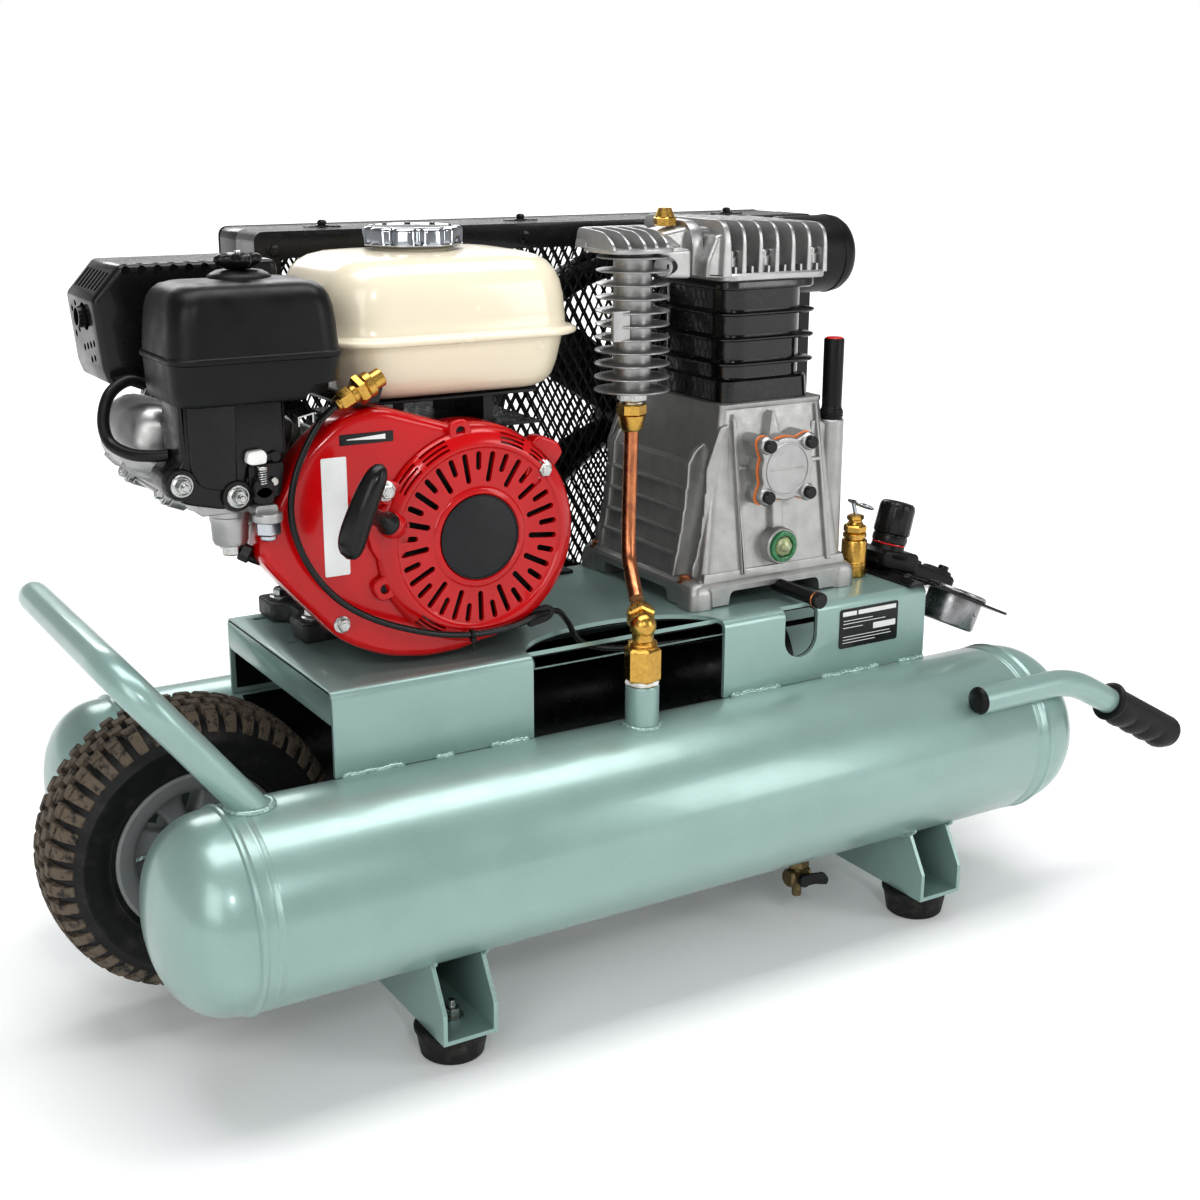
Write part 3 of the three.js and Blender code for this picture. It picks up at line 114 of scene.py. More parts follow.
def across_axis(axis):
    """Rotation that takes z to the axis."""
    return Vector((0, 0, 1)).rotation_difference(Vector(axis).normalized()).to_matrix()


def lathe(profile, origin, axis=UP, seg=64, loop=False, ripple=None, phase=0.0):
    """Turned piece from (radius, distance) points; ripple(angle, radius, t) may change the radius."""
    m = across_axis(axis)
    u, v, w = m.col[0], m.col[1], m.col[2]
    o = Vector(origin)
    rings = []
    for r, t in profile:
        if r < 1e-6:
            rings.append([o + w * t])
            continue
        ring = []
        for i in range(seg):
            a = TAU * i / seg + phase
            rr = ripple(a, r, t) if ripple else r
            ring.append(o + w * t + (u * math.cos(a) + v * math.sin(a)) * rr)
        rings.append(ring)
    return loft(rings, loop=loop)


def mirrored(profile):
    """A profile followed by its own mirror image, for a piece with two like ends."""
    return profile + [(r, -t) for r, t in reversed(profile)]


def rod(a, b, r, seg=24, r2=None, edge=0.0):
    """Round bar between two points, with chamfered ends when edge is given."""
    a, b = Vector(a), Vector(b)
    length = (b - a).length
    r2 = r if r2 is None else r2
    if edge:
        profile = [(0, 0), (r - edge, 0), (r, edge), (r2, length - edge), (r2 - edge, length), (0, length)]
    else:
        profile = [(0, 0), (r, 0), (r2, length), (0, length)]
    return lathe(profile, a, b - a, seg)


def hexagon(a, b, r, phase=0.0):
    """Hexagonal bar or nut with softened corners at both ends."""
    a, b = Vector(a), Vector(b)
    h = (b - a).length
    k = min(0.14 * r, h * 0.3)
    profile = [(0, 0), (r - k, 0), (r, k), (r, h - k), (r - k, h), (0, h)]
    return lathe(profile, a, b - a, 6, phase=phase)


def spline(points, steps=8):
    """Smooth curve through the points."""
    pts = [Vector(p) for p in points]
    out = []
    for i, (p1, p2) in enumerate(zip(pts, pts[1:])):
        p0 = pts[i - 1] if i else p1 * 2 - p2
        p3 = pts[i + 2] if i + 2 < len(pts) else p2 * 2 - p1
        for s in range(steps):
            t = s / steps
            out.append(0.5 * (p1 * 2 + (p2 - p0) * t + (p0 * 2 - p1 * 5 + p2 * 4 - p3) * t ** 2
                + (p1 * 3 - p0 - p2 * 3 + p3) * t ** 3))
    out.append(pts[-1])
    return out


def bent(points, reach, steps=10):
    """Straight runs joined by round bends."""
    pts = [Vector(p) for p in points]
    out = [pts[0]]
    for before, corner, after in zip(pts, pts[1:], pts[2:]):
        a = corner + (before - corner).normalized() * reach
        b = corner + (after - corner).normalized() * reach
        for k in range(steps + 1):
            t = k / steps
            out.append(a * (1 - t) ** 2 + corner * 2 * t * (1 - t) + b * t ** 2)
    out.append(pts[-1])
    return out


def sweep(path, r, seg=16, loop=False):
    """Tube along a path; r may be a list of radii."""
    pts = [Vector(p) for p in path]
    n = len(pts)
    tangents = []
    for i in range(n):
        a = pts[(i - 1) % n] if (loop or i) else pts[0]
        b = pts[(i + 1) % n] if (loop or i < n - 1) else pts[-1]
        tangents.append((b - a).normalized())
    side = tangents[0].orthogonal()
    rings = []
    for i in range(n):
        side = (side - tangents[i] * side.dot(tangents[i])).normalized()
        other = tangents[i].cross(side)
        rr = r[i] if isinstance(r, (list, tuple)) else r
        rings.append([pts[i] + side * (math.cos(TAU * k / seg) * rr) + other * (math.sin(TAU * k / seg) * rr)
            for k in range(seg)])
    return loft(rings, loop=loop)


def rrect(a0, a1, b0, b1, r, k=6):
    """Points of a rounded rectangle, k steps to a corner."""
    r = min(r, (a1 - a0) / 2 - 1e-3, (b1 - b0) / 2 - 1e-3)
    out = []
    for ca, cb, start in ((a1 - r, b0 + r, -0.25), (a1 - r, b1 - r, 0.0), (a0 + r, b1 - r, 0.25),
            (a0 + r, b0 + r, 0.5)):
        for i in range(k + 1):
            t = TAU * (start + 0.25 * i / k)
            out.append((ca + r * math.cos(t), cb + r * math.sin(t)))
    return out


def disc(a, b, r, n=40):
    return [(a + r * math.cos(TAU * i / n), b + r * math.sin(TAU * i / n)) for i in range(n)]


def arc(a, b, r, start, end, n=7):
    """Points on an arc between two angles in degrees."""
    angles = [math.radians(start + (end - start) * i / n) for i in range(n + 1)]
    return [(a + r * math.cos(t), b + r * math.sin(t)) for t in angles]


def fillet(points, reach, steps=5):
    """Polygon with its corners rounded; reach is one number or one per corner."""
    n = len(points)
    out = []
    for i in range(n):
        d = reach[i] if isinstance(reach, (list, tuple)) else reach
        p = Vector((*points[i], 0))
        before, after = Vector((*points[i - 1], 0)), Vector((*points[(i + 1) % n], 0))
        a = p + (before - p).normalized() * min(d, (before - p).length * 0.49)
        b = p + (after - p).normalized() * min(d, (after - p).length * 0.49)
        if d <= 0.01:
            out.append((p.x, p.y))
            continue
        for k in range(steps + 1):
            t = k / steps
            q = a * (1 - t) ** 2 + p * 2 * t * (1 - t) + b * t ** 2
            out.append((q.x, q.y))
    return out


def stack(levels, k=6):
    """Level rounded rectangles (z, x0, x1, y0, y1, r) joined into one smooth body."""
    return loft([[(x, y, z) for x, y in rrect(x0, x1, y0, y1, r, k)] for z, x0, x1, y0, y1, r in levels])


# how (a, b) on a drawing and the depth d lie in space
PLANES = {"xy": lambda a, b, d: (a, b, d), "xz": lambda a, b, d: (a, d, b), "yz": lambda a, b, d: (d, a, b)}


def prism(outline, d0, d1, plane="xz", holes=(), edge=0.0, res=3):
    """Flat shape with holes, given a thickness and rounded edges."""
    curve = bpy.data.curves.new("outline", "CURVE")
    curve.dimensions = "2D"
    curve.fill_mode = "BOTH"
    for ring in [outline, *holes]:
        s = curve.splines.new("POLY")
        s.points.add(len(ring) - 1)
        for point, (a, b) in zip(s.points, ring):
            point.co = (a, b, 0, 1)
        s.use_cyclic_u = True
    curve.extrude = (d1 - d0) / 2 - edge
    curve.bevel_depth = edge
    curve.bevel_resolution = res
    curve.offset = -edge
    holder = bpy.data.objects.new("outline", curve)
    bpy.context.scene.collection.objects.link(holder)
    graph = bpy.context.evaluated_depsgraph_get()
    mesh = bpy.data.meshes.new_from_object(holder.evaluated_get(graph))
    middle = (d0 + d1) / 2
    verts = [PLANES[plane](v.co.x, v.co.y, v.co.z + middle) for v in mesh.vertices]
    faces = [tuple(p.vertices) for p in mesh.polygons]
    bpy.data.objects.remove(holder)
    bpy.data.curves.remove(curve)
    bpy.data.meshes.remove(mesh)
    return verts, faces


def inset_stack(x0, x1, y0, y1, levels, k=6):
    """A stack over one rectangle: each level gives (z, inset, corner radius)."""
    return stack([(z, x0 + d, x1 - d, y0 + d, y1 - d, r) for z, d, r in levels], k=k)


def plate(points, reach, d0, d1, edge=0.0, plane="xz"):
    """A polygon with rounded corners, given a thickness."""
    return prism(fillet(points, reach), d0, d1, plane, edge=edge)


def block(x0, x1, y0, y1, z0, z1):
    verts = [(x, y, z) for z in (z0, z1) for y in (y0, y1) for x in (x0, x1)]
    faces = [(0, 2, 3, 1), (4, 5, 7, 6), (0, 1, 5, 4), (2, 6, 7, 3), (0, 4, 6, 2), (1, 3, 7, 5)]
    return verts, faces


def mapped(part, fn):
    """A part with each point moved by fn; faces are turned over where fn mirrors it."""
    base = Vector(part[0][0])
    o, a, b, c = (Vector(fn(*(base + Vector(d)))) for d in ((0, 0, 0), (1, 0, 0), (0, 1, 0), (0, 0, 1)))
    verts = [fn(*v) for v in part[0]]
    if (a - o).cross(b - o).dot(c - o) < 0:
        return verts, [tuple(reversed(face)) for face in part[1]]
    return verts, part[1]


def build(parts):
    """One clean mesh from (vertices, faces) parts."""
    verts, faces = [], []
    for v, f in parts:
        base = len(verts)
        verts += v
        faces += [tuple(i + base for i in face) for face in f]
    mesh = bpy.data.meshes.new("made")
    mesh.from_pydata([row(v) for v in verts], [], faces)
    bm = bmesh.new()
    bm.from_mesh(mesh)
    bmesh.ops.remove_doubles(bm, verts=bm.verts, dist=WELD_DIST)
    bmesh.ops.dissolve_degenerate(bm, dist=1e-6, edges=bm.edges)
    bmesh.ops.recalc_face_normals(bm, faces=bm.faces)
    bm.to_mesh(mesh)
    bm.free()
    return mesh


def add(name, parts, material, body="frame", node=None, slot="", bevel=0.0, segs=2, sharp=32, cut=None, pick=None):
    """One visible piece: parts joined, cutters taken away, edges rounded, and set riding on its body."""
    o = bpy.data.objects.new(name, build(parts))
    bpy.context.scene.collection.objects.link(o)
    if cut:
        tool = bpy.data.objects.new("tool", build(cut))
        bpy.context.scene.collection.objects.link(tool)
        m = o.modifiers.new("cut", "BOOLEAN")
        m.object = tool
        m.operation = "DIFFERENCE"
        m.solver = "EXACT"
        m.use_self = True
        graph = bpy.context.evaluated_depsgraph_get()
        o.data = bpy.data.meshes.new_from_object(o.evaluated_get(graph))
        o.modifiers.clear()
        bpy.data.objects.remove(tool)
        tidy = bmesh.new()
        tidy.from_mesh(o.data)
        bmesh.ops.remove_doubles(tidy, verts=tidy.verts, dist=WELD_DIST)
        bmesh.ops.dissolve_limit(tidy, angle_limit=0.01, verts=tidy.verts, edges=tidy.edges)
        tidy.to_mesh(o.data)
        tidy.free()
    mesh = o.data
    mesh.materials.clear()
    for m in material if isinstance(material, list) else [material]:
        mesh.materials.append(m)
    if pick:
        for p in mesh.polygons:
            c = p.center * 1000
            p.material_index = pick(Vector((c.x - X0, c.y, c.z)), p.normal)
    mesh.polygons.foreach_set("use_smooth", [True] * len(mesh.polygons))
    mesh.set_sharp_from_angle(angle=math.radians(sharp))
    if bevel:
        m = o.modifiers.new("edges", "BEVEL")
        m.width = bevel / 1000
        m.segments = segs
        m.limit_method = "ANGLE"
        m.angle_limit = math.radians(max(sharp, 30))
        m.harden_normals = True
    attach(o, body)
    if node:
        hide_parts(*([node] if isinstance(node, str) else node))
    slot = SLOT_OF[mesh.materials[0].name] if slot == "" else slot
    return o


def from_node(name):
    """The shape of a CAD node as a part, its flat faces joined up again."""
    bm = bmesh.new()
    bm.from_mesh(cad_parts[name].data)
    bmesh.ops.remove_doubles(bm, verts=bm.verts, dist=1e-5)
    bmesh.ops.dissolve_limit(bm, angle_limit=math.radians(0.6), verts=bm.verts, edges=bm.edges)
    verts = [(v.co.x * 1000 - X0, v.co.y * 1000, v.co.z * 1000) for v in bm.verts]
    faces = [tuple(v.index for v in f.verts) for f in bm.faces]
    bm.free()
    return verts, faces


def bolt(at, axis, r=6.5, head=6.0, washer=1.6, stud=0.0):
    """Hexagon flange bolt; a stud makes it a nut on a threaded end."""
    at, axis = Vector(at), Vector(axis).normalized()
    made = [lathe([(0, 0), (r * 1.35, 0), (r * 1.35, washer * 0.6), (r * 1.1, washer), (0, washer)], at, axis, 28),
        hexagon(at + axis * (washer - 0.1), at + axis * (washer + head), r)]
    if stud:
        k = r * 0.5
        turns = [(0, washer + head - 0.5)]
        t = washer + head - 0.5
        while t < washer + head + stud - 1:
            turns += [(k, t), (k * 0.86, t + 0.5)]
            t += 1.0
        turns += [(k * 0.8, washer + head + stud), (0, washer + head + stud)]
        made.append(lathe(turns, at, axis, 18))
    else:
        made.append(lathe([(0, washer + head - 0.2), (r * 0.62, washer + head - 0.2), (r * 0.55, washer + head + 0.7),
            (0, washer + head + 0.8)], at, axis, 28))
    return made


def socket_screw(at, axis, r=5.5, head=6.0):
    """Cap screw with a knurled edge and a sunk hexagon."""
    at, axis = Vector(at), Vector(axis).normalized()
    knurl = lathe([(0, 0), (r, 0), (r, head - 1), (r - 0.8, head), (r * 0.52, head)], at, axis, 48,
        ripple=lambda a, rr, t: rr * (1 + (0.035 if rr > r * 0.9 and int(a / TAU * 48) % 2 else 0)))
    well = lathe([(r * 0.52, head), (r * 0.5, head - 3), (0, head - 3)], at, axis, 48)
    return [(knurl[0], knurl[1][:-1]), (well[0], well[1][1:])]


def fasteners(places, axis, *size, make=bolt):
    """The parts of one fastener, repeated at each place."""
    return [part for at in places for part in make(at, axis, *size)]


def bead(path, r, loop=False, seed=0):
    """Weld bead: overlapping ripples of molten metal along a path."""
    rng = np.random.default_rng(seed)
    pts = [Vector(p) for p in path]
    length = sum((b - a).length for a, b in zip(pts, pts[1:])) + ((pts[0] - pts[-1]).length if loop else 0)
    count = max(10, int(length / 1.4))
    dense = []
    chain = pts + ([pts[0]] if loop else [])
    total = 0.0
    marks = [0.0]
    for a, b in zip(chain, chain[1:]):
        total += (b - a).length
        marks.append(total)
    for i in range(count if loop else count + 1):
        s = total * i / count
        k = min(int(np.searchsorted(marks, s, side="right")) - 1, len(chain) - 2)
        f = (s - marks[k]) / max(marks[k + 1] - marks[k], 1e-9)
        dense.append(chain[k].lerp(chain[k + 1], f))
    radii = []
    for i in range(len(dense)):
        wave = 0.88 + 0.16 * abs(math.sin(i * 0.95)) + 0.1 * (rng.random() - 0.5)
        if not loop:
            wave *= min(1.0, 0.45 + i / 3, 0.45 + (len(dense) - 1 - i) / 3)
        radii.append(r * wave)
    return sweep(dense, radii, 10, loop=loop)


def tank_join(point, direction, r, tank_y):
    """Points where a bar of radius r meets a tank, lifted a little off the skin."""
    p, d = Vector(point), Vector(direction).normalized()
    m = across_axis(d)
    lift, n = 0.6, 40
    out = []
    for i in range(n):
        a = TAU * i / n
        start = p + (m.col[0] * math.cos(a) + m.col[1] * math.sin(a)) * r
        lo, hi = 0.0, 200.0
        for _ in range(40):
            t = (lo + hi) / 2
            q = start + d * t
            if math.hypot(q.y - tank_y, q.z - TANK_Z) > TANK_R + lift:
                lo = t
            else:
                hi = t
        out.append(start + d * lo)
    return out


# ---- Materials ---------------------------------------------------------------------------------------------------
def paint(name, colour, rough=0.4, metal=0.0, coat=0.0, mottle=0.06, mottle_size=18.0, grain=0.0, grain_size=0.6,
        swell=0.0, swell_size=6.0, rough_vary=0.08, tint=None, tint_share=0.0, tint_size=9.0, flake=0.0, shine=0.5,
        slot=None):
    """Procedural surface. Sizes of its noises are in millimetres: mottle in colour, grain and swell in height,
    tint a second colour that shows in patches. slot is the record's finish, kept for the material in SLOT_OF."""
    m = bpy.data.materials.new(name)
    SLOT_OF[m.name] = slot
    m.use_nodes = True
    nodes, links = m.node_tree.nodes, m.node_tree.links
    shader = nodes["Principled BSDF"]
    where = nodes.new("ShaderNodeTexCoord")

    def noise(size, detail=3.0, roughness=0.55):
        n = nodes.new("ShaderNodeTexNoise")
        n.inputs["Scale"].default_value = 1000.0 / size
        n.inputs["Detail"].default_value = detail
        n.inputs["Roughness"].default_value = roughness
        links.new(where.outputs["Object"], n.inputs["Vector"])
        return n

    def ramp(source, low, high, a, b):
        r = nodes.new("ShaderNodeMapRange")
        r.inputs["From Min"].default_value = low
        r.inputs["From Max"].default_value = high
        r.inputs["To Min"].default_value = a
        r.inputs["To Max"].default_value = b
        links.new(source, r.inputs["Value"])
        return r.outputs["Result"]

    base = Vector(colour[:3])
    mix = nodes.new("ShaderNodeMix")
    mix.data_type = "RGBA"
    mix.inputs[6].default_value = (*(base * (1 - mottle)), 1)
    mix.inputs[7].default_value = (*[min(c * (1 + mottle), 1.0) for c in base], 1)
    links.new(ramp(noise(mottle_size).outputs["Fac"], 0.35, 0.65, 0, 1), mix.inputs[0])
    colour_out = mix.outputs[2]
    if flake:
        sparkle = nodes.new("ShaderNodeMix")
        sparkle.data_type = "RGBA"
        sparkle.blend_type = "SCREEN"
        sparkle.inputs[7].default_value = (flake, flake, flake, 1)
        links.new(colour_out, sparkle.inputs[6])
        links.new(ramp(noise(0.35, 0.0).outputs["Fac"], 0.58, 0.72, 0, 1), sparkle.inputs[0])
        colour_out = sparkle.outputs[2]
    if tint:
        second = nodes.new("ShaderNodeMix")
        second.data_type = "RGBA"
        second.inputs[7].default_value = (*tint, 1)
        links.new(colour_out, second.inputs[6])
        edge = 0.66 - 0.3 * tint_share
        links.new(ramp(noise(tint_size, 6.0, 0.65).outputs["Fac"], edge - 0.07, edge + 0.07, 0,
            min(1, tint_share * 2)), second.inputs[0])
        colour_out = second.outputs[2]
    links.new(colour_out, shader.inputs["Base Color"])
    links.new(ramp(noise(mottle_size * 0.6, 4.0).outputs["Fac"], 0.3, 0.7, max(rough - rough_vary, 0.02),
        min(rough + rough_vary, 1)), shader.inputs["Roughness"])
    shader.inputs["Metallic"].default_value = metal
    shader.inputs["Specular IOR Level"].default_value = shine
    shader.inputs["Coat Weight"].default_value = coat
    shader.inputs["Coat Roughness"].default_value = 0.06
    last = None
    for strength, size, detail in ((swell, swell_size, 2.0), (grain, grain_size, 3.0)):
        if not strength:
            continue
        b = nodes.new("ShaderNodeBump")
        b.inputs["Strength"].default_value = strength
        b.inputs["Distance"].default_value = size * 0.00012
        links.new(noise(size, detail).outputs["Fac"], b.inputs["Height"])
        if last:
            links.new(last.outputs["Normal"], b.inputs["Normal"])
        last = b
    if last:
        links.new(last.outputs["Normal"], shader.inputs["Normal"])
    return m


SAGE = paint("sage_enamel", (0.275, 0.400, 0.372), 0.33, metal=0.35, coat=0.35, mottle=0.03, mottle_size=60,
    swell=0.12, swell_size=3.0, flake=0.10, rough_vary=0.04, slot="tank_paint")
SAGE_WELD = paint("sage_weld", (0.31, 0.44, 0.405), 0.28, metal=0.35, coat=0.4, mottle=0.06, mottle_size=5, swell=0.5,
    swell_size=2.0, slot="tank_paint")
BLACK = paint("black_enamel", (0.006, 0.006, 0.0065), 0.26, coat=0.22, shine=0.25, mottle=0.2, mottle_size=30,
    swell=0.2, swell_size=2.5, rough_vary=0.06, slot="black_enamel")
BLACK_CAST = paint("black_cast", (0.003, 0.003, 0.0033), 0.2, coat=0.5, shine=0.4, mottle=0.2, mottle_size=10,
    grain=0.5, grain_size=1.2, swell=0.4, swell_size=5, slot="black_enamel")
MESH_BLACK = paint("mesh_black", (0.007, 0.007, 0.0075), 0.42, shine=0.2, mottle=0.25, mottle_size=14, grain=0.3,
    grain_size=1.0, slot="black_enamel")
RED = paint("red_enamel", (0.47, 0.0008, 0.003), 0.22, coat=0.4, shine=0.3, mottle=0.04, mottle_size=40, swell=0.12,
    swell_size=3.0, rough_vary=0.04, slot="red_enamel")
CAN_STEEL = paint("brushed_can", (0.30, 0.30, 0.305), 0.3, metal=1.0, mottle=0.08, mottle_size=9, grain=0.3,
    grain_size=0.5, slot="chrome")
# Near-black sheet for the inner faces under the deck and between the tanks: painted shade standing in for the shadow
# there, over surfaces that are really sage paint.
PAINTED_SHADE_LINER = paint("painted_shade_liner", (0.0045, 0.006, 0.0055), 0.3, shine=0.25, mottle=0.3, mottle_size=30, swell=0.25,
    swell_size=12, slot="tank_paint")
# Darker copy of the red enamel for the fan housing's inside faces: painted shade.
RED_PAINTED_SHADE = paint("red_inside_painted_shade", (0.16, 0.004, 0.006), 0.5, mottle=0.2)
CREAM = paint("cream_enamel", (0.72, 0.655, 0.51), 0.24, coat=0.35, mottle=0.015, mottle_size=70, swell=0.1,
    swell_size=4.0, rough_vary=0.04, slot="cream_enamel")
PLASTIC = paint("black_plastic", (0.0038, 0.004, 0.0044), 0.4, shine=0.28, mottle=0.12, mottle_size=25, grain=0.45,
    grain_size=0.55, slot="black_plastic")
PLASTIC_GLOSS = paint("black_plastic_gloss", (0.006, 0.006, 0.0065), 0.26, shine=0.35, mottle=0.15, mottle_size=15,
    grain=0.15, grain_size=0.8, slot="black_plastic")
RUBBER = paint("rubber", (0.012, 0.0115, 0.0115), 0.62, shine=0.3, mottle=0.2, mottle_size=12, grain=0.4,
    grain_size=0.8, tint=(0.07, 0.064, 0.056), tint_share=0.25, tint_size=14, slot="rubber")
HOSE = paint("hose_rubber", (0.006, 0.006, 0.0065), 0.38, shine=0.3, mottle=0.15, mottle_size=8, grain=0.25,
    grain_size=0.7, slot="rubber")
TREAD = paint("tyre_tread", (0.014, 0.013, 0.0115), 0.8, mottle=0.3, mottle_size=6, grain=0.8, grain_size=0.9,
    tint=(0.125, 0.098, 0.070), tint_share=0.75, tint_size=7, slot="tyre")
SIDEWALL = paint("tyre_sidewall", (0.009, 0.009, 0.0095), 0.52, shine=0.3, mottle=0.25, mottle_size=20, grain=0.5,
    grain_size=0.9, tint=(0.045, 0.04, 0.036), tint_share=0.22, tint_size=20, slot="tyre")
RIM_GREY = paint("rim_plastic", (0.205, 0.215, 0.215), 0.42, mottle=0.06, mottle_size=20, grain=0.4, grain_size=0.7,
    slot="rim_grey")
ALU = paint("cast_aluminium", (0.39, 0.39, 0.38), 0.42, metal=0.85, mottle=0.07, mottle_size=16, grain=0.75,
    grain_size=0.9, swell=0.35, swell_size=5, tint=(0.42, 0.42, 0.41), tint_share=0.2, tint_size=22,
    slot="cast_aluminium")
ALU_SMOOTH = paint("die_cast_aluminium", (0.40, 0.40, 0.395), 0.36, metal=0.88, mottle=0.06, mottle_size=14,
    grain=0.35, grain_size=0.7, tint=(0.36, 0.36, 0.355), tint_share=0.18, tint_size=18, slot="cast_aluminium")
ENGINE = paint("engine_casting", (0.030, 0.031, 0.032), 0.42, metal=0.3, shine=0.3, mottle=0.2, mottle_size=12,
    grain=0.7, grain_size=1.0, swell=0.3, swell_size=5, tint=(0.10, 0.10, 0.10), tint_share=0.25, tint_size=10,
    slot="engine_casting")
IRON = paint("cast_iron", (0.055, 0.056, 0.058), 0.5, metal=0.6, mottle=0.15, mottle_size=12, grain=0.7,
    grain_size=1.1, slot="cast_iron")
STEEL = paint("turned_steel", (0.58, 0.59, 0.60), 0.26, metal=1.0, mottle=0.05, mottle_size=8, grain=0.15,
    grain_size=0.5, slot="steel")
ZINC = paint("zinc_plate", (0.48, 0.49, 0.48), 0.26, metal=1.0, mottle=0.1, mottle_size=5, grain=0.2, grain_size=0.5,
    tint=(0.52, 0.47, 0.34), tint_share=0.18, tint_size=6, slot="steel")
CHROME = paint("chrome", (0.44, 0.46, 0.49), 0.11, metal=1.0, mottle=0.02, mottle_size=20, swell=0.06, swell_size=6,
    rough_vary=0.03, slot="chrome")
BRASS = paint("brass", (0.56, 0.345, 0.085), 0.28, metal=1.0, mottle=0.08, mottle_size=6, grain=0.15, grain_size=0.5,
    tint=(0.42, 0.26, 0.09), tint_share=0.2, tint_size=5, slot="brass")
COPPER = paint("copper", (0.50, 0.20, 0.095), 0.30, metal=1.0, mottle=0.12, mottle_size=9, grain=0.1, grain_size=0.6,
    tint=(0.32, 0.12, 0.07), tint_share=0.36, tint_size=16, slot="copper")
WHITE = paint("white_plastic", (0.80, 0.80, 0.78), 0.36, mottle=0.02, grain=0.2, grain_size=0.6, slot="white_plastic")
LABEL = paint("plain_label", (0.72, 0.73, 0.72), 0.4, mottle=0.02, coat=0.2)
GREEN = paint("green_lens", (0.012, 0.16, 0.05), 0.14, coat=0.5, mottle=0.25, mottle_size=4, slot="green_lens")
GASKET = paint("orange_gasket", (0.72, 0.20, 0.045), 0.6, mottle=0.1, grain=0.3, slot="rubber")
RED_PLASTIC = paint("red_plastic", (0.60, 0.012, 0.012), 0.35, mottle=0.05, grain=0.2, slot="red_enamel")
# Near-black for the fan screen and the starter's screw wells: painted shadow in those recesses.
PAINTED_SHADOW_BLACK = paint("shadow_black", (0.004, 0.004, 0.004), 0.8, mottle=0.1, slot="red_enamel")
DISC_GREY = paint("disc_grey", (0.016, 0.0165, 0.018), 0.42, shine=0.3, mottle=0.08, grain=0.3, slot="black_plastic")
SEALANT = paint("white_sealant", (0.72, 0.72, 0.68), 0.6, mottle=0.08, grain=0.4, swell=0.5, swell_size=3,
    slot="white_plastic")


# ---- Tanks -------------------------------------------------------------------------------------------------------
def tank(side, name, node):
    """One vessel: domed ends, rolled seams, the axle and handle lug, and its boss or cross pipe."""
    dome = []
    for k in range(19):
        a = math.pi / 2 * k / 18
        dome.append((81.2 * math.sin(a) ** (2 / 2.3), -60 * math.cos(a) ** (2 / 2.3)))
    left = dome + [(81.9, 0.4), (83.4, 1.4), (84.0, 3.4), (83.5, 5.4), (82.6, 6.6), (82.5, 8), (82.5, 20),
        (82.15, 20.8), (82.5, 21.8)]
    profile = left + [(r, TANK_L - t) for r, t in reversed(left)]
    parts = [lathe(profile, (0, side * TANK_Y, TANK_Z), ALONG_X, 112)]
    for x in (15.5, TANK_L - 15.5):
        parts.append(lathe([(82.2, -2.2), (82.75, -1.2), (82.95, 0), (82.75, 1.2), (82.2, 2.2)], (x, side * TANK_Y,
            TANK_Z), ALONG_X, 112))
    edge_low, edge_high = (48, 74) if side > 0 else (-74, -48)
    web = (48, 53) if side > 0 else (-53, -48)
    parts.append(prism(rrect(-3, 45, 139, 183, 5), *web, "xz", holes=[disc(21, 161, 8.4)], edge=0.8))
    parts.append(block(-3, 2, edge_low, edge_high, 139, 183))
    parts.append(block(40, 45, edge_low, edge_high, 139, 183))
    if side < 0:
        parts.append(lathe([(0, 236), (15, 236), (15, 279.6), (14.2, 281), (11, 281), (10.4, 280), (0, 280)],
            (385, -TANK_Y, 0), seg=48))
    else:
        parts.append(rod((640, 66.5, TANK_Z), (640, -66.7, TANK_Z), 11, 32))
    add(name, parts, SAGE, node=node, sharp=28)


tank(-1, "front_tank_skin", "front_tank")
tank(1, "rear_tank_skin", "rear_tank")

ring = disc(385, -TANK_Y, 16.2, 36)
welds = [bead([(x, y, TANK_Z + math.sqrt(TANK_R ** 2 - (y + TANK_Y) ** 2) + 0.3) for x, y in ring], 2.4, True, 3)]
for side in (-1, 1):
    for k, (a, b) in enumerate(((112, 168), (196, 214), (248, 286), (498, 556), (604, 676), (700, 732))):
        y = side * 125.2
        z = TANK_Z + math.sqrt(TANK_R ** 2 - (abs(y) - TANK_Y) ** 2) + 0.8
        path = [(x, y + 0.5 * math.sin(x * 0.21), z + 0.4 * math.sin(x * 0.33)) for x in np.linspace(a, b, 24)]
        welds.append(bead(path, 3.1, seed=k + 7 * (side + 1)))
    welds.append(bead(tank_join((-65, side * TANK_Y, 362), (96, 0, -124), 14.4, side * TANK_Y), 3.0, True, 5))
    for lo, hi in ((726, 766), (774, 806)):
        for dz, dy in ((-9, 3), (8.5, -9)):
            mid = Vector((0, side * (TANK_Y + 61.6 + dy * 0.5), 217.3 + dz * 0.75))
            out = Vector((0, mid.y - side * TANK_Y, mid.z - TANK_Z)).normalized() * 82.9
            path = [(x, side * TANK_Y + out.y, TANK_Z + out.z + 0.3 * math.sin(x * 0.4)) for x in np.linspace(lo, hi,
                12)]
            welds.append(bead(path, 2.6, seed=int(lo + dz)))
    for x in (180, 691):
        for s in (-1, 1):
            path = []
            for a in np.linspace(math.radians(-134), math.radians(-52), 22):
                path.append((x + s * 23.5, side * (TANK_Y + 83 * math.cos(a)), TANK_Z + 83 * math.sin(a)))
            welds.append(bead(path, 2.3, seed=int(x + s)))
add("weld_beads", welds, SAGE_WELD, sharp=60)

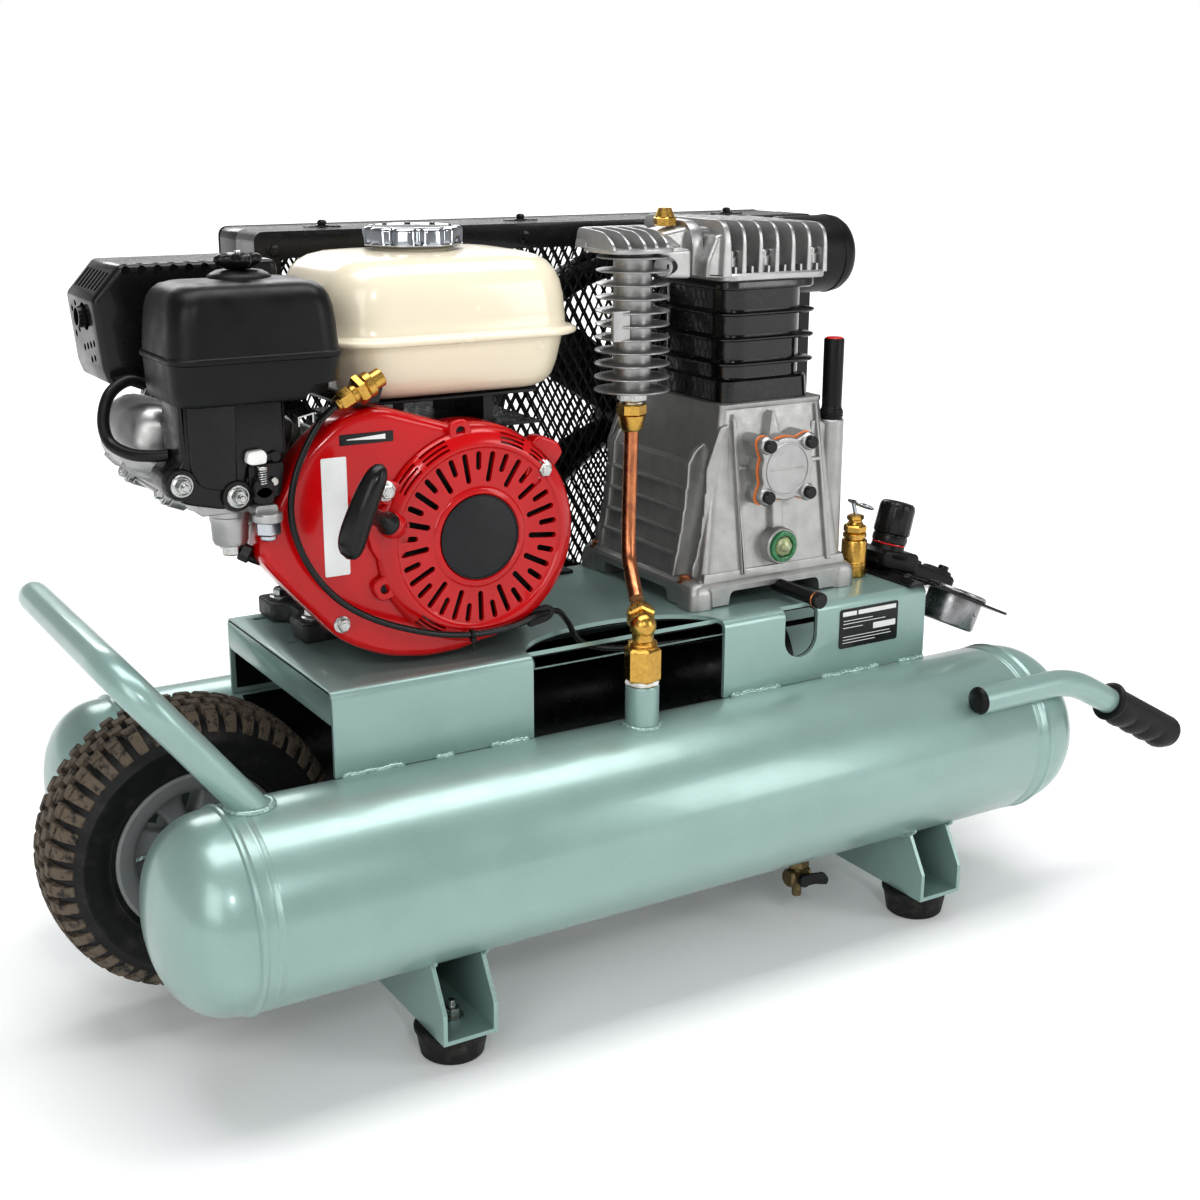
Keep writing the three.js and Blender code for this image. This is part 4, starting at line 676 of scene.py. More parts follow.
# ---- Deck --------------------------------------------------------------------------------------------------------
DX0, DX1, DTOP, DFOOT = 107, 733, 314.3, 240.9
section = [(-124, DFOOT)] + arc(-116, DTOP - 8, 8, 180, 90) + arc(116, DTOP - 8, 8, 90, 0) + [(124, DFOOT),
    (120, DFOOT)]
section += arc(116, DTOP - 8, 4, 0, 90) + arc(-116, DTOP - 8, 4, 90, 180) + [(-120, DFOOT)]
deck_parts = [prism(section, DX0, DX1, "yz", edge=0.5, res=1)]
for x in (DX0, DX1 - 4):
    deck_parts.append(prism(rrect(-121, 121, DTOP - 30, DTOP - 1.0, 5), x, x + 4, "yz", edge=0.8, res=2))
bow = [(391 + 100 * math.cos(a), -116 + 52 * math.sin(a)) for a in np.linspace(0, TAU, 72, endpoint=False)]
cutters = [prism(bow, DTOP - 12, DTOP + 6, "xy"), prism(rrect(291, 491, 180, DTOP + 30, 10, 8), -130, -112, "xz"),
    prism(rrect(560, 598, 266, DTOP + 40, 19, 10), -130, -111, "xz")]
for x0, y in ((124, 102), (125, 20), (356, 102), (356, 20)):
    cutters.append(prism(rrect(x0, x0 + 22, y - 3.2, y + 3.2, 3.2), DTOP - 12, DTOP + 6, "xy"))
add("deck_sheet", deck_parts, SAGE, node="deck", bevel=0.7, sharp=30, cut=cutters)

# A near-black liner just inside the deck's skirts and under its top: painted shade for the dark hollow under the
# deck.
painted_shade_section = [(-119.5, 246), (-119.5, DTOP - 8)] + arc(-116, DTOP - 8, 3.5, 180, 90)[1:] + arc(116, DTOP - 8, 3.5, 90, 0)
painted_shade_section += [(119.5, 246), (118.7, 246), (118.7, DTOP - 7), (116, DTOP - 5.3), (-116, DTOP - 5.3), (-118.7, DTOP - 7),
    (-118.7, 246)]
add("deck_painted_shade_liner", [prism(painted_shade_section, DX0 + 4.2, DX1 - 4.2, "yz", res=1)], PAINTED_SHADE_LINER, sharp=30, cut=cutters)
# Near-black patches on the tanks' sides that face each other under the deck: painted shade.
painted_tank_shade = []
for side, a0, a1 in ((1, 113, 205), (-1, 67, -25)):
    skin = [(side * TANK_Y + r * math.cos(math.radians(a)), TANK_Z + r * math.sin(math.radians(a)))
        for r, start, end in ((82.9, a0, a1), (82.3, a1, a0)) for a in np.linspace(start, end, 40)]
    painted_tank_shade.append(prism(skin, DX0 + 8, DX1 - 8, "yz", res=1))
add("tank_painted_shade", painted_tank_shade, PAINTED_SHADE_LINER, sharp=30)

add("rating_plate", [prism(rrect(625, 697, 266, 305, 2.5), -124.9, -124.1, "xz", edge=0.25)], BLACK, slot=None)
lines = [prism(rrect(628, 645, 298, 302.4, 0.6), -125.15, -124.8), prism(rrect(647, 694, 298, 302.4, 0.6), -125.15,
    -124.8), prism(rrect(666, 694, 281, 287, 0.6), -125.15, -124.8)]
lines += [prism(rrect(629, 629 + w, z, z + 0.7, 0.2), -125.1, -124.8) for z, w in ((293, 36), (290, 52), (286, 24),
    (277, 58), (274, 60), (271, 40))]
add("rating_plate_lines", lines, LABEL)

# ---- Cross channels, feet, handles ---------------------------------------------------------------------------------
for end, x in (("wheel_end", 180), ("handle_end", 691)):
    add(f"{end}_channel_steel", [from_node(f"{end}_channel")], SAGE, node=f"{end}_channel", bevel=1.4, segs=3,
        sharp=30)
    for place, y in (("front", -178), ("rear", 178)):
        node = f"{end}_{place}_foot"
        cup = lathe([(0, 0), (25.6, 0), (27, 1.4), (30.4, 20.4), (32, 22.2), (32.3, 24.6), (31.4, 26.4), (8, 26.7),
            (0, 26.7)], (x, y, 0), seg=56)
        add(f"{node}_rubber", [cup], RUBBER, node=node)
        add(f"{node}_nut", bolt((x, y, 31.2), UP, 7.6, 6.6, 2.0, 7.0), ZINC)

bar_path = bent([(31, -TANK_Y, 238), (-65, -TANK_Y, 362), (-65, TANK_Y, 362), (31, TANK_Y, 238)], 55, 14)
add("lift_bar_tube", [sweep(bar_path, 13.35, 40)], SAGE, node="lift_bar", sharp=60)

SLOPE = math.radians(29)


def along_handle(d, side):
    """The handle's middle line, d beyond the bend where it starts to slope down."""
    return Vector((838 + d * math.cos(SLOPE), side * 221, 226.5 - d * math.sin(SLOPE)))


def grip(side):
    """Moulded grip with four finger swells below and fine ribs all round."""
    down = Vector((-math.sin(SLOPE), 0, -math.cos(SLOPE)))
    wide = Vector(ALONG_Y)
    rings = []
    for t in np.linspace(0, 1, 90):
        d = t * 112
        base = 16.4
        if d < 5:
            base = 16.4 + 3.4 * math.sqrt(max(0.0, 1 - ((d - 2.5) / 2.5) ** 2))
        if d > 104:
            base = 16.4 * math.sqrt(max(0.0, 1 - ((d - 104) / 8.4) ** 2)) ** 0.6
        ring = []
        for k in range(96):
            a = TAU * k / 96
            under = max(0.0, math.cos(a)) ** 1.4
            r = base
            if 10 < d < 104:
                r += under * 3.6 * abs(math.sin((d - 10) / 94 * math.pi * 4)) ** 0.7
                r += 0.3 * math.cos(32 * a)
            ring.append(along_handle(66 + d, side) + (down * math.cos(a) + wide * math.sin(a)) * r)
        rings.append(ring)
    return loft(rings)


for side, place in ((-1, "front"), (1, "rear")):
    path = bent([(719, side * 221, 226.5), tuple(along_handle(0, side)), tuple(along_handle(150, side))], 30, 14)
    add(f"{place}_handle_tube", [sweep(path, 13.1, 40)], SAGE, node=f"{place}_handle", sharp=60)
    plug = lathe([(0, -4.6), (6, -4.2), (10, -3), (12.6, -0.8), (13.3, 0.6), (13.3, 1.6), (12.4, 2.2), (0, 2.2)],
        (717.4, side * 221, 226.5), ALONG_X, 40)
    add(f"{place}_handle_plug", [plug], PLASTIC)
    add(f"{place}_grip_rubber", [grip(side)], PLASTIC, node=f"{place}_grip", sharp=50)

# ---- Wheel -------------------------------------------------------------------------------------------------------
WX, WZ = 21.0, 161.0
WHEEL_AXIS = (WX, 0, WZ)
CROWN = [(0, 125.2), (10, 125.0), (24, 123.6), (31, 120.2), (36, 114.5), (40, 107.5)]


def crown(y):
    """Radius of the tyre at a distance y from its middle plane."""
    y = abs(y)
    for (a, ra), (b, rb) in zip(CROWN, CROWN[1:]):
        if y <= b:
            return ra + (rb - ra) * (y - a) / (b - a)
    return CROWN[-1][1]


def on_wheel(y, angle, r):
    """A point by its place in the wheel."""
    return (WX + r * math.cos(angle), y, WZ + r * math.sin(angle))


carcass = [(58, -25), (66, -27), (71, -31), (73, -33.4), (76, -35.5), (77, -36.6), (78.4, -36.4), (82, -38.6),
    (90, -41.4), (97, -42), (99, -43), (101, -43), (102.4, -41.8), (106, -40.6), (112, -36.6), (117, -30),
    (119.4, -22), (120.6, -10)]
tread = []
rows = 46
for i in range(rows):
    base = TAU * i / rows
    step = TAU / rows
    for y0, y1, shift in ((-24.5, -14.5, 0.0), (-12, -1, 0.5), (1, 12, 0.0), (14.5, 24.5, 0.5)):
        a0 = base + shift * step + 0.1 * step
        a1 = a0 + 0.78 * step
        ring_low, ring_top = [], []
        for ya, aa in ((y0, a0), (y1, a0), (y1, a1), (y0, a1)):
            ring_low.append(on_wheel(ya, aa, crown(ya) - 6))
        mid_y, mid_a = (y0 + y1) / 2, (a0 + a1) / 2
        for ya, aa in ((y0, a0), (y1, a0), (y1, a1), (y0, a1)):
            ring_top.append(on_wheel(mid_y + (ya - mid_y) * 0.88, mid_a + (aa - mid_a) * 0.88, crown(ya) + 1.2))
        tread.append(loft([ring_low, ring_top]))
    for s in (-1, 1):
        a0 = base + (0.12 if s < 0 else 0.62) * step
        a1 = a0 + 0.7 * step
        slices = []
        for y in (26.5, 31, 35.5, 39.5):
            r = crown(y)
            out = Vector((0, s * (0.25 + 0.75 * (y - 26.5) / 13), 1)).normalized()
            low = [on_wheel(s * (y - 1) - out.y * 3.5, a, r - 5) for a in (a0, a1)]
            top = [on_wheel(s * y + out.y * 1.2, a, r + 1.1 * out.z) for a in (a1 - 0.05 * step, a0 + 0.05 * step)]
            slices.append(low + top)
        tread.append(loft(slices))
add("tyre_carcass", [lathe(mirrored(carcass), WHEEL_AXIS, ALONG_Y, 128, loop=True)], SIDEWALL, "wheel", node="tyre",
    sharp=40)
add("tyre_tread", tread, TREAD, "wheel", bevel=0.7, sharp=30)

rim_parts = [lathe([(53, -24), (54, -27), (58, -30.5), (64, -33), (69.5, -35.2), (72.4, -34.2), (72.4, -32.0),
    (66, -29), (60.5, -26.5), (58.6, -23), (57.7, -18), (57.7, 18), (58.6, 23), (60.5, 26.5), (66, 29), (72.4, 32.0),
    (72.4, 34.2), (69.5, 35.2), (64, 33), (58, 30.5), (54, 27), (53, 24), (52.4, 8), (52.4, -8)], WHEEL_AXIS, ALONG_Y,
    96, loop=True)]
rim_parts.append(lathe(mirrored([(8.4, -42), (15, -42), (16.4, -40.6), (18, -26), (22, -16)]), WHEEL_AXIS, ALONG_Y,
    64, loop=True))
for i in range(7):
    a = TAU * i / 7 + 0.21
    c, s = math.cos(a), math.sin(a)
    rings = []
    for r, w, d in ((14, 8.0, 15), (24, 8.6, 15), (38, 11.0, 14), (50, 15.5, 15), (56, 21, 17)):
        section2 = rrect(-w, w, -d, d, 5, 4)
        rings.append([(WX + r * c - t * s, y, WZ + r * s + t * c) for t, y in section2])
    rim_parts.append(loft(rings))
add("rim_casting", rim_parts, RIM_GREY, "wheel", node="rim", bevel=0.8, sharp=35)
axle_parts = [rod((WX, -54, WZ), (WX, 54, WZ), 8, 32)]
axle_parts += bolt((WX, -53.4, WZ), NEAR, 12, 6.5, 1.8) + bolt((WX, 53.4, WZ), ALONG_Y, 12, 6.5, 1.8)
add("axle_bolt", axle_parts, ZINC, node="axle")


# ---- Engine ------------------------------------------------------------------------------------------------------
SX, SZ = 250.0, 421.0
SHAFT_AXIS = (SX, 0, SZ)  # of the engine
COS, SIN = math.cos(math.radians(22)), math.sin(math.radians(22))


def barrel(s, w, y):
    """A point by its distance out along the tilted cylinder, across it and along y."""
    return (SX - s * COS + w * SIN, y, SZ + s * SIN + w * COS)


def barrel_stack(levels, k=6):
    """stack() along the tilted cylinder: levels (s, w0, w1, y0, y1, r)."""
    return loft([[barrel(s, a, b) for a, b in rrect(w0, w1, y0, y1, r, k)] for s, w0, w1, y0, y1, r in levels])


FOOT_Z = 314.7  # where the engine and the pump stand on the deck
ENGINE_FEET = ((152, 25), (152, 102), (334, 25), (334, 102))
base_plan = fillet([(136, 6), (184, 6), (192, 14), (300, 14), (308, 6), (350, 6), (350, 42), (340, 50), (340, 76),
    (350, 84), (350, 122), (308, 122), (300, 112), (192, 112), (184, 122), (136, 122), (136, 84), (148, 76),
    (148, 50), (136, 42)], 6)
engine_parts = [prism(base_plan, FOOT_Z, FOOT_Z + 16.5, "xy", edge=2.2), stack([(FOOT_Z + 8, 164, 340, -20, 116, 16),
    (FOOT_Z + 18, 168, 338, -40, 118, 20), (350, 176, 332, -54, 126, 24), (470, 178, 330, -56, 128, 26),
    (492, 184, 324, -52, 122, 26), (500, 194, 314, -42, 112, 22)])]
for x, y in ENGINE_FEET:
    engine_parts.append(lathe([(0, FOOT_Z + 8), (15, FOOT_Z + 8), (13.5, FOOT_Z + 17.6), (0, FOOT_Z + 17.6)],
        (x, y, 0), seg=36))
engine_parts.append(lathe([(0, 326), (12, 326), (12, 344), (10.5, 346), (0, 346)], (322, 70, 0), UP, 32))
engine_parts.append(barrel_stack([(60, -42, 34, -42, 74, 18), (226, -40, 24, -40, 70, 18)]))
add("engine_crankcase", engine_parts, ENGINE, node="engine_block", sharp=38)
fins = [barrel_stack([(s, -50, 40, -50, 82, 14), (s + 0.7, -51, 41, -51, 83, 14), (s + 1.9, -51, 41, -51, 83, 14),
    (s + 2.5, -50, 40, -50, 82, 14)], 4) for s in np.arange(120, 222, 8.0)]
add("engine_cylinder_fins", fins, ALU_SMOOTH)
fixings = fasteners([(x, y, FOOT_Z + 17.6) for x, y in ENGINE_FEET], UP, 7.6, 6.4, 2.2)
fixings += bolt((128, -99.8, 362), NEAR, 5.2, 5, 1.6)
add("engine_fixings", fixings, ZINC)
add("oil_filler_cap", [lathe([(0, 0), (13, 0), (13.6, 2), (13.6, 10), (12, 13), (0, 13.5)], (338, 84, 346),
    (0.5, 0.2, 0.84), 60, ripple=lambda a, r, t: r * (1 + (0.04 * math.cos(14 * a) if r > 13 else 0))),
    rod((330, 79, 334), (338, 83, 346), 9, 28)], PLASTIC)

HEAD_SCREWS = ((-44, -34), (-44, 64), (24, -42), (24, 71))
head_parts = [barrel_stack([(223, -48, 32, -46, 76, 12), (224, -49, 33, -47, 77, 12), (234, -49, 33, -47, 77, 12),
    (236, -47, 31, -45, 75, 12)])]
cover_parts = [barrel_stack([(236.4, -43, 28, -40, 70, 12), (237, -44, 29, -41, 71, 12), (240, -44, 29, -41, 71, 12),
    (241, -42.5, 27.5, -39.5, 69.5, 12)]), barrel_stack([(240, -37, 22, -35, 64, 18), (252, -37, 22, -35, 64, 18),
    (262, -36, 21, -33, 62, 18), (270, -33, 18, -29, 58, 18), (276.5, -27, 13, -23, 51, 15), (280.5, -20, 8, -15, 44,
    12), (283, -11, 2, -6, 34, 8)], 8)]
for y in (-10, 38):
    cover_parts.append(barrel_stack([(240, -41, -30, y - 2.5, y + 2.5, 2), (262, -39, -30, y - 2, y + 2, 1.8),
        (272, -34, -28, y - 1.5, y + 1.5, 1.2)], 3))
for w, y in HEAD_SCREWS:
    head_parts.append(rod(barrel(222, w, y), barrel(236, w, y), 9, 28, edge=0.8))
    cover_parts.append(rod(barrel(236.4, w, y), barrel(241, w, y), 8.5, 28, edge=0.8))
add("valve_cover_casting", cover_parts, ALU_SMOOTH, node="valve_cover", sharp=30)
add("cylinder_head_casting", head_parts, ALU_SMOOTH, sharp=30)
add("valve_cover_bolts", fasteners([barrel(241, w, y) for w, y in HEAD_SCREWS], (-COS, 0, SIN), 5.4, 5, 1.6), ZINC)
plug = [rod(barrel(232, 31, 16), barrel(232, 44, 16), 9, 6), rod(barrel(232, 42, 16), barrel(232, 58, 16), 6, 20)]
add("spark_plug", plug, ZINC)
boot = [rod(barrel(232, 46, 16), barrel(232, 68, 16), 8.6, 24, 7.6, 1.0),
    sweep(spline([barrel(232, 62, 16), barrel(228, 74, 12), barrel(206, 82, 0), barrel(176, 76, -30),
    (118, -50, 533)], 8), 3.4, 14)]
add("spark_plug_boot", boot, HOSE)

# Fan housing
outline = arc(246, SZ, 95, -84, 98, 58)
outline += fillet([(232.8, 515), (168, 536), (136, 531), (104, 506), (78, 466), (65, 440), (64, 424), (72, 412),
    (93, 387), (113, 365), (127, 348), (147, 336), (170, 326.5), (204, 320.5), (236, 321.5), (255.9, 326.5)],
    [0.01, 14, 14, 14, 12, 8, 8, 8, 12, 12, 12, 12, 10, 10, 8, 0.01], 6)[1:-1]
inner = [(246 + (x - 246) * 0.955, SZ + (z - SZ) * 0.955) for x, z in outline]
housing = [prism(outline, -100, -61, "xz", edge=8.5, res=6)]
housing_cut = [prism(inner, -97, -50, "xz"), prism(disc(SX, SZ, 76, 72), -104, -80, "xz")]
# Faces inside the housing take the darker red: painted shade in its hollow.
add("fan_housing", housing, [RED, RED_PAINTED_SHADE], node="fan_shroud", sharp=40, cut=housing_cut, pick=lambda c, n: 1
    if (c.y > -96.5 and math.hypot(c.x - SX, c.z - SZ) < 92 and n.y > -0.9) else 0)
swells = [sweep([(247 + 97 * math.cos(a), -92, SZ + 97 * math.sin(a)) for a in np.linspace(math.radians(100),
    math.radians(176), 40)], [0.8 + 3.6 * math.sin(math.pi * i / 39) for i in range(40)], 14),
    plate([(306, 478), (312, 494), (320, 497), (336, 490), (341, 480), (330, 466)], 4, -90, -72, 2.5)]
add("fan_housing_lugs", swells, RED, sharp=50)
# A disc behind the starter's slots: the fan's screen, coloured near-black as painted shade of the housing's interior.
screen = lathe([(0, -97.4), (78, -97.4), (78, -96.4), (0, -96.4)], SHAFT_AXIS, ALONG_Y, 64)
add("fan_screen_painted_shade", [screen], PAINTED_SHADOW_BLACK)

# Recoil starter
dish = [(90, -100.5), (90.6, -102.4), (89.4, -105), (86.6, -107.4), (81, -110.2), (78.2, -111.2), (76.4, -110.9),
    (75, -109.4), (74, -108.8), (60, -108.0), (46, -107.4), (43, -107.6), (41.8, -108.6), (40.4, -109.2),
    (37.4, -109.2), (36.4, -108.4), (35.6, -107), (0, -107), (0, -103.6), (72, -104.4), (80, -106), (86.4, -103),
    (87.4, -100.5)]
start_cut = []
for i in range(34):
    a = TAU * (i + 0.5) / 34
    r0, r1 = (46.5, 72.5) if i % 2 else (56.5, 72.5)
    c, s = math.cos(a), math.sin(a)
    ring = [(SX + c * u - s * v, SZ + s * u + c * v) for u, v in [(r1 - 2.4 + 2.4 * math.cos(t), 2.4 * math.sin(t))
        for t in np.linspace(-math.pi / 2, math.pi / 2, 8)] + [(r0 + 2.4 + 2.4 * math.cos(t), 2.4 * math.sin(t))
        for t in np.linspace(math.pi / 2, 1.5 * math.pi, 8)]]
    start_cut.append(prism(ring, -114, -101, "xz"))
for centre, half in ((139, 8.5), (118, 8.5), (68, 8), (47, 8), (236, 9)):
    for r in (81.0, 84.6, 88.0):
        ring = arc(SX, SZ, r + 0.9, centre - half, centre + half, 8) + arc(SX, SZ, r - 0.9, centre + half,
            centre - half, 8)
        start_cut.append(prism(ring, -116, -98, "xz"))
add("starter_cover", [lathe(dish, SHAFT_AXIS, ALONG_Y, 136, loop=True)], RED, node="recoil_cover", sharp=34,
    cut=start_cut)
lugs = []
for x, z in ((167, 469), (311, 472), (235, 511), (164, 388)):
    inward = Vector((SX - x, 0, SZ - z)).normalized()
    lugs.append(prism(fillet([(x - inward.z * 9 - inward.x * 9, z + inward.x * 9 - inward.z * 9),
        (x - inward.z * 11 + inward.x * 15, z + inward.x * 11 + inward.z * 15), (x + inward.z * 11 + inward.x * 15,
        z - inward.x * 11 + inward.z * 15), (x + inward.z * 9 - inward.x * 9, z - inward.x * 9 - inward.z * 9)], 8,
        8), -106.4, -99.6, "xz", edge=1.8))
wells = [rod((235, -110, 511), (235, -102, 511), 4.2, 24), rod((164, -110, 388), (164, -102, 388), 4.2, 24)]
add("starter_lugs", lugs, RED, sharp=45, cut=wells)
# Near-black discs at the bottom of the lug wells: painted shadow in the holes.
add("starter_lug_well_shade", [rod((235, -103.4, 511), (235, -100.6, 511), 4.0, 20), rod((164, -103.4, 388),
    (164, -100.6, 388), 4.0, 20)], PAINTED_SHADOW_BLACK, slot=None)
add("starter_bolts", fasteners([(167, -106.2, 469), (311, -106.2, 472)], NEAR, 6.2, 5, 1.8), ZINC)
badge = lathe([(0, -108.9), (33.4, -108.9), (34.6, -108.4), (34.8, -107.2), (0, -107.2)], SHAFT_AXIS, ALONG_Y, 96)
add("starter_disc", [badge], DISC_GREY)
add("starter_disc_edge", [lathe([(36.0, -108.2), (35.6, -109.1), (34.6, -109.0), (34.6, -107.8)], SHAFT_AXIS, ALONG_Y,
    96, loop=True)], PLASTIC_GLOSS)
eye_axis = Vector((-0.62, -0.72, 0.32)).normalized()
eye = lathe([(11.5, -5), (11.2, 2), (9.8, 6), (8.2, 7.6), (6.2, 7.8), (4.9, 6.6), (4.6, 4), (4.6, -5)],
    (171, -107.4, 441), eye_axis, 48, loop=True)
shield = prism(fillet([(150, 446), (176, 462), (190, 440), (184, 412), (166, 404), (154, 420)], 9, 8), -105.6, -99.8,
    "xz", edge=2.2)
add("rope_eyelet", [eye, shield], RED, sharp=40)

PULL = Vector((-0.7, -0.58, 0.416)).normalized()
START = Vector((162, -124, 446))
UPWARD = Vector((0.34, -0.08, 0.937)).normalized()
neck_end = START + PULL * 50
lean = UPWARD.cross(PULL).normalized()


def handle_bar():
    """The starter's T handle, thickest in the middle."""
    rings = []
    n = 40
    for i in range(n + 1):
        t = -1 + 2 * i / n
        size = max(0.0, 1 - abs(t) ** 5.5) ** 0.5
        centre = neck_end + UPWARD * (39.5 * t) - PULL * (4.5 * t * t - 1.0) + lean * (1.5 * t)
        wide = (10.2 - 1.9 * t) * size
        deep = (7.4 + 2.2 * (1 - t * t)) * size
        if size < 1e-4:
            rings.append([centre])
            continue
        ring = []
        for k in range(40):
            a = TAU * k / 40
            c, s = math.cos(a), math.sin(a)
            p = 2.6
            f = (abs(c) ** p + abs(s) ** p) ** (-1 / p)
            ring.append(centre + lean * (wide * c * f) + PULL * (deep * s * f))
        rings.append(ring)
    return loft(rings)


neck = lathe([(0, 0), (8.6, 0), (9.4, 1.6), (9.4, 5), (8.0, 7.4), (6.7, 10), (6.4, 30), (7.4, 42), (9.6, 48),
    (0, 51)], START, PULL, 40)
add("pull_handle", [handle_bar(), neck], PLASTIC_GLOSS, "starter_grip", node="recoil_handle", sharp=50)
rope_from, rope_to = Vector((173, -104.8, 440)), START + PULL * 4
rope = [rope_from.lerp(rope_to, i / 90) for i in range(91)]
cord_piece = bpy.data.objects.new("starter_rope", build([sweep(rope, 2.1, 14)]))
cord_piece.data.materials.append(paint("rope_cord", (0.62, 0.6, 0.54), 0.7, mottle=0.2, mottle_size=2, grain=0.6,
    grain_size=0.8))
cord_piece.data.polygons.foreach_set("use_smooth", [True] * len(cord_piece.data.polygons))
bpy.context.scene.collection.objects.link(cord_piece)
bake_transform(cord_piece)

# Plates on the housing, left blank
add("housing_label", [prism(rrect(115.5, 137, 403, 499, 1.5), -100.45, -100.1, "xz", edge=0.1)], LABEL)
add("speed_plate", [prism(rrect(132, 178, 507.6, 516.2, 0.8), -100.6, -100.1, "xz", edge=0.12)], BLACK, slot=None)
add("speed_plate_wedge", [prism([(138, 511.6), (171, 510), (171, 514.2), (138, 512.2)], -100.8, -100.5, "xz")], LABEL)

# Flywheel fan and crankshaft
fan = [rod((SX, -72, SZ), (SX, -64, SZ), 80, 72, edge=1.5), rod((SX, -92, SZ), (SX, -70, SZ), 31, 48, edge=1.5)]
for i in range(20):
    a = TAU * i / 20
    pts = [(50, -1.2), (79, 4.8), (79, 7.2), (50, 1.2)]
    low2 = [(SX + u * math.cos(a) - v * math.sin(a), -71.5, SZ + u * math.sin(a) + v * math.cos(a)) for u, v in pts]
    top2 = [(x, -89, z) for x, _, z in low2]
    fan.append(loft([low2, top2]))
fan.append(rod((SX, -92, SZ), (SX, 202, SZ), 12.5, 36, edge=1))
add("fan_and_crankshaft", fan, IRON, "engine_drive", node="crankshaft_and_fan", sharp=40)

# Fuel tank
tank_levels = ((533, 44, 16), (533.5, 36, 22), (535.4, 28, 28), (539, 22, 32), (545, 18, 34), (556, 14.5, 36),
    (570, 11.6, 38), (578, 10.2, 39), (579.2, 7, 40), (579.6, 2.2, 42), (580.6, 0.4, 43), (582.4, 0, 43),
    (584.2, 0.5, 43), (585.2, 2.4, 42), (585.8, 6.5, 40), (588, 8.2, 39), (598, 8.6, 39), (612, 9.6, 39),
    (624, 12, 38), (633, 16, 36), (639.5, 21.5, 33), (644, 29, 29), (646.8, 39, 24), (648.2, 52, 18), (648.8, 66, 14))
tank_parts = [inset_stack(138, 371, -92, 92, tank_levels, 10)]
tank_parts.append(lathe([(0, 646), (36, 646), (35, 648.9), (32, 651), (30.4, 651.4), (0, 651.4)], (249, 5, 0),
    seg=64))
add("fuel_tank_shell", tank_parts, CREAM, node="fuel_tank", sharp=50)
add("fuel_tank_bracket", [prism(rrect(160, 342, -52, 84, 10), 528, 530.6, "xy", edge=0.5), block(206, 216, -40, 60,
    498, 530), block(290, 300, -40, 60, 498, 530), block(190, 340, -50, 104, 500, 503)], BLACK, bevel=0.6)
add("tank_strap_bolts", fasteners([(322, -74, 579.2), (322, 78, 579.2), (172, 78, 579.2)], (0, 0, -1), 5.4, 5, 1.6),
    ZINC)


def flute(a, r, t):
    """Ten finger flutes in the side of the fuel cap."""
    if r < 37 or t < 2.2:
        return r
    wave = 0.5 + 0.5 * math.cos(10 * a)
    return r - 4.4 * wave ** 4


cap_z = 651.8
cap = lathe([(0, 0), (40.6, 0), (42, 1), (42.2, 2), (42.2, 3), (42.2, 12.6), (41.4, 14.6), (39.4, 15.8), (37.2, 16.2),
    (35, 16), (32.6, 15.2), (24, 15.6), (10, 16.2), (0, 16.4)], (249, 5, cap_z), UP, 200, ripple=flute)
add("fuel_cap_shell", [cap], CHROME, "filler_cap", node="fuel_cap", sharp=40)

# Air cleaner
LID_AXIS = (74, -54, 0)  # the knob's axis on the air cleaner
lid = stack([(581, -2.6, 134.6, -121.6, -22.4, 20), (581.4, -3, 135, -122, -22, 20), (584.6, -3, 135, -122, -22, 20),
    (585.4, -2.2, 134.2, -121.2, -22.8, 20), (586, -1.2, 133.2, -120.2, -23.8, 20), (604, 0, 132, -119, -25, 20),
    (618, 1.4, 130.6, -117.6, -26.4, 20), (626, 3.4, 128.6, -115.4, -28.6, 20), (631.5, 6.6, 125.4, -112, -32, 20),
    (635, 11, 121, -107.6, -36.4, 18), (637, 18, 114, -100, -44, 14), (637.6, 30, 102, -90, -54, 8)], k=10)
cone = lathe([(0, 634), (25, 634), (24.6, 638.4), (22, 640.6), (18, 642.6), (15.4, 643), (0, 643)], LID_AXIS, seg=56)
add("air_cleaner_lid", [lid, cone], PLASTIC, "filter_lid", node="air_cleaner_cover", sharp=50)


def lobes(a, r, t):
    """Four wings of the knob."""
    return r * (0.80 + 0.20 * math.cos(4 * a)) if r > 9 else r


knob = lathe([(0, 643.4), (9.5, 643.4), (12.4, 645), (17.4, 647.4), (19.2, 650.4), (18.6, 653.4), (15.6, 655),
    (11.6, 653.6), (8.6, 652.6), (0, 652.4)], LID_AXIS, UP, 96, ripple=lobes, phase=0.4)
add("lid_wing_knob", [knob], PLASTIC_GLOSS, "lid_knob", node="cover_knob", sharp=50)
add("lid_stud", [rod((74, -54, 651), (74, -54, 657.5), 2.6, 20, edge=0.5)], ZINC, "lid_knob")

tray = stack([(548.6, 6, 126, -113, -31, 14), (549.6, 3, 129, -116, -28, 16), (552, 1, 131.4, -118.2, -25.8, 18),
    (560, -0.2, 132.4, -119.2, -24.8, 19), (580.2, -1.2, 133.4, -120.4, -23.6, 20), (580.7, -1.8, 133.8, -120.8,
    -23.2, 20)], k=8)
slant = prism([(92, 540), (146, 540), (146, 563), (106, 561)], -130, -84, "xz")
add("air_cleaner_tray", [tray], PLASTIC, sharp=40, cut=[slant])
elbow_outline = fillet([(6, 554), (6, 504), (-6, 497), (-7, 484), (6, 474), (40, 466), (56, 470), (57, 494),
    (62, 503), (90, 504), (90, 554)], [2, 6, 5, 7, 8, 8, 6, 7, 6, 6, 2], 5)
elbow = [prism(elbow_outline, -98, -55, "xz", edge=3.6, res=4), plate([(12, 552), (12, 499), (20, 486), (40, 481),
    (48, 486), (50, 552)], 5, -99.6, -90, 1.6)]
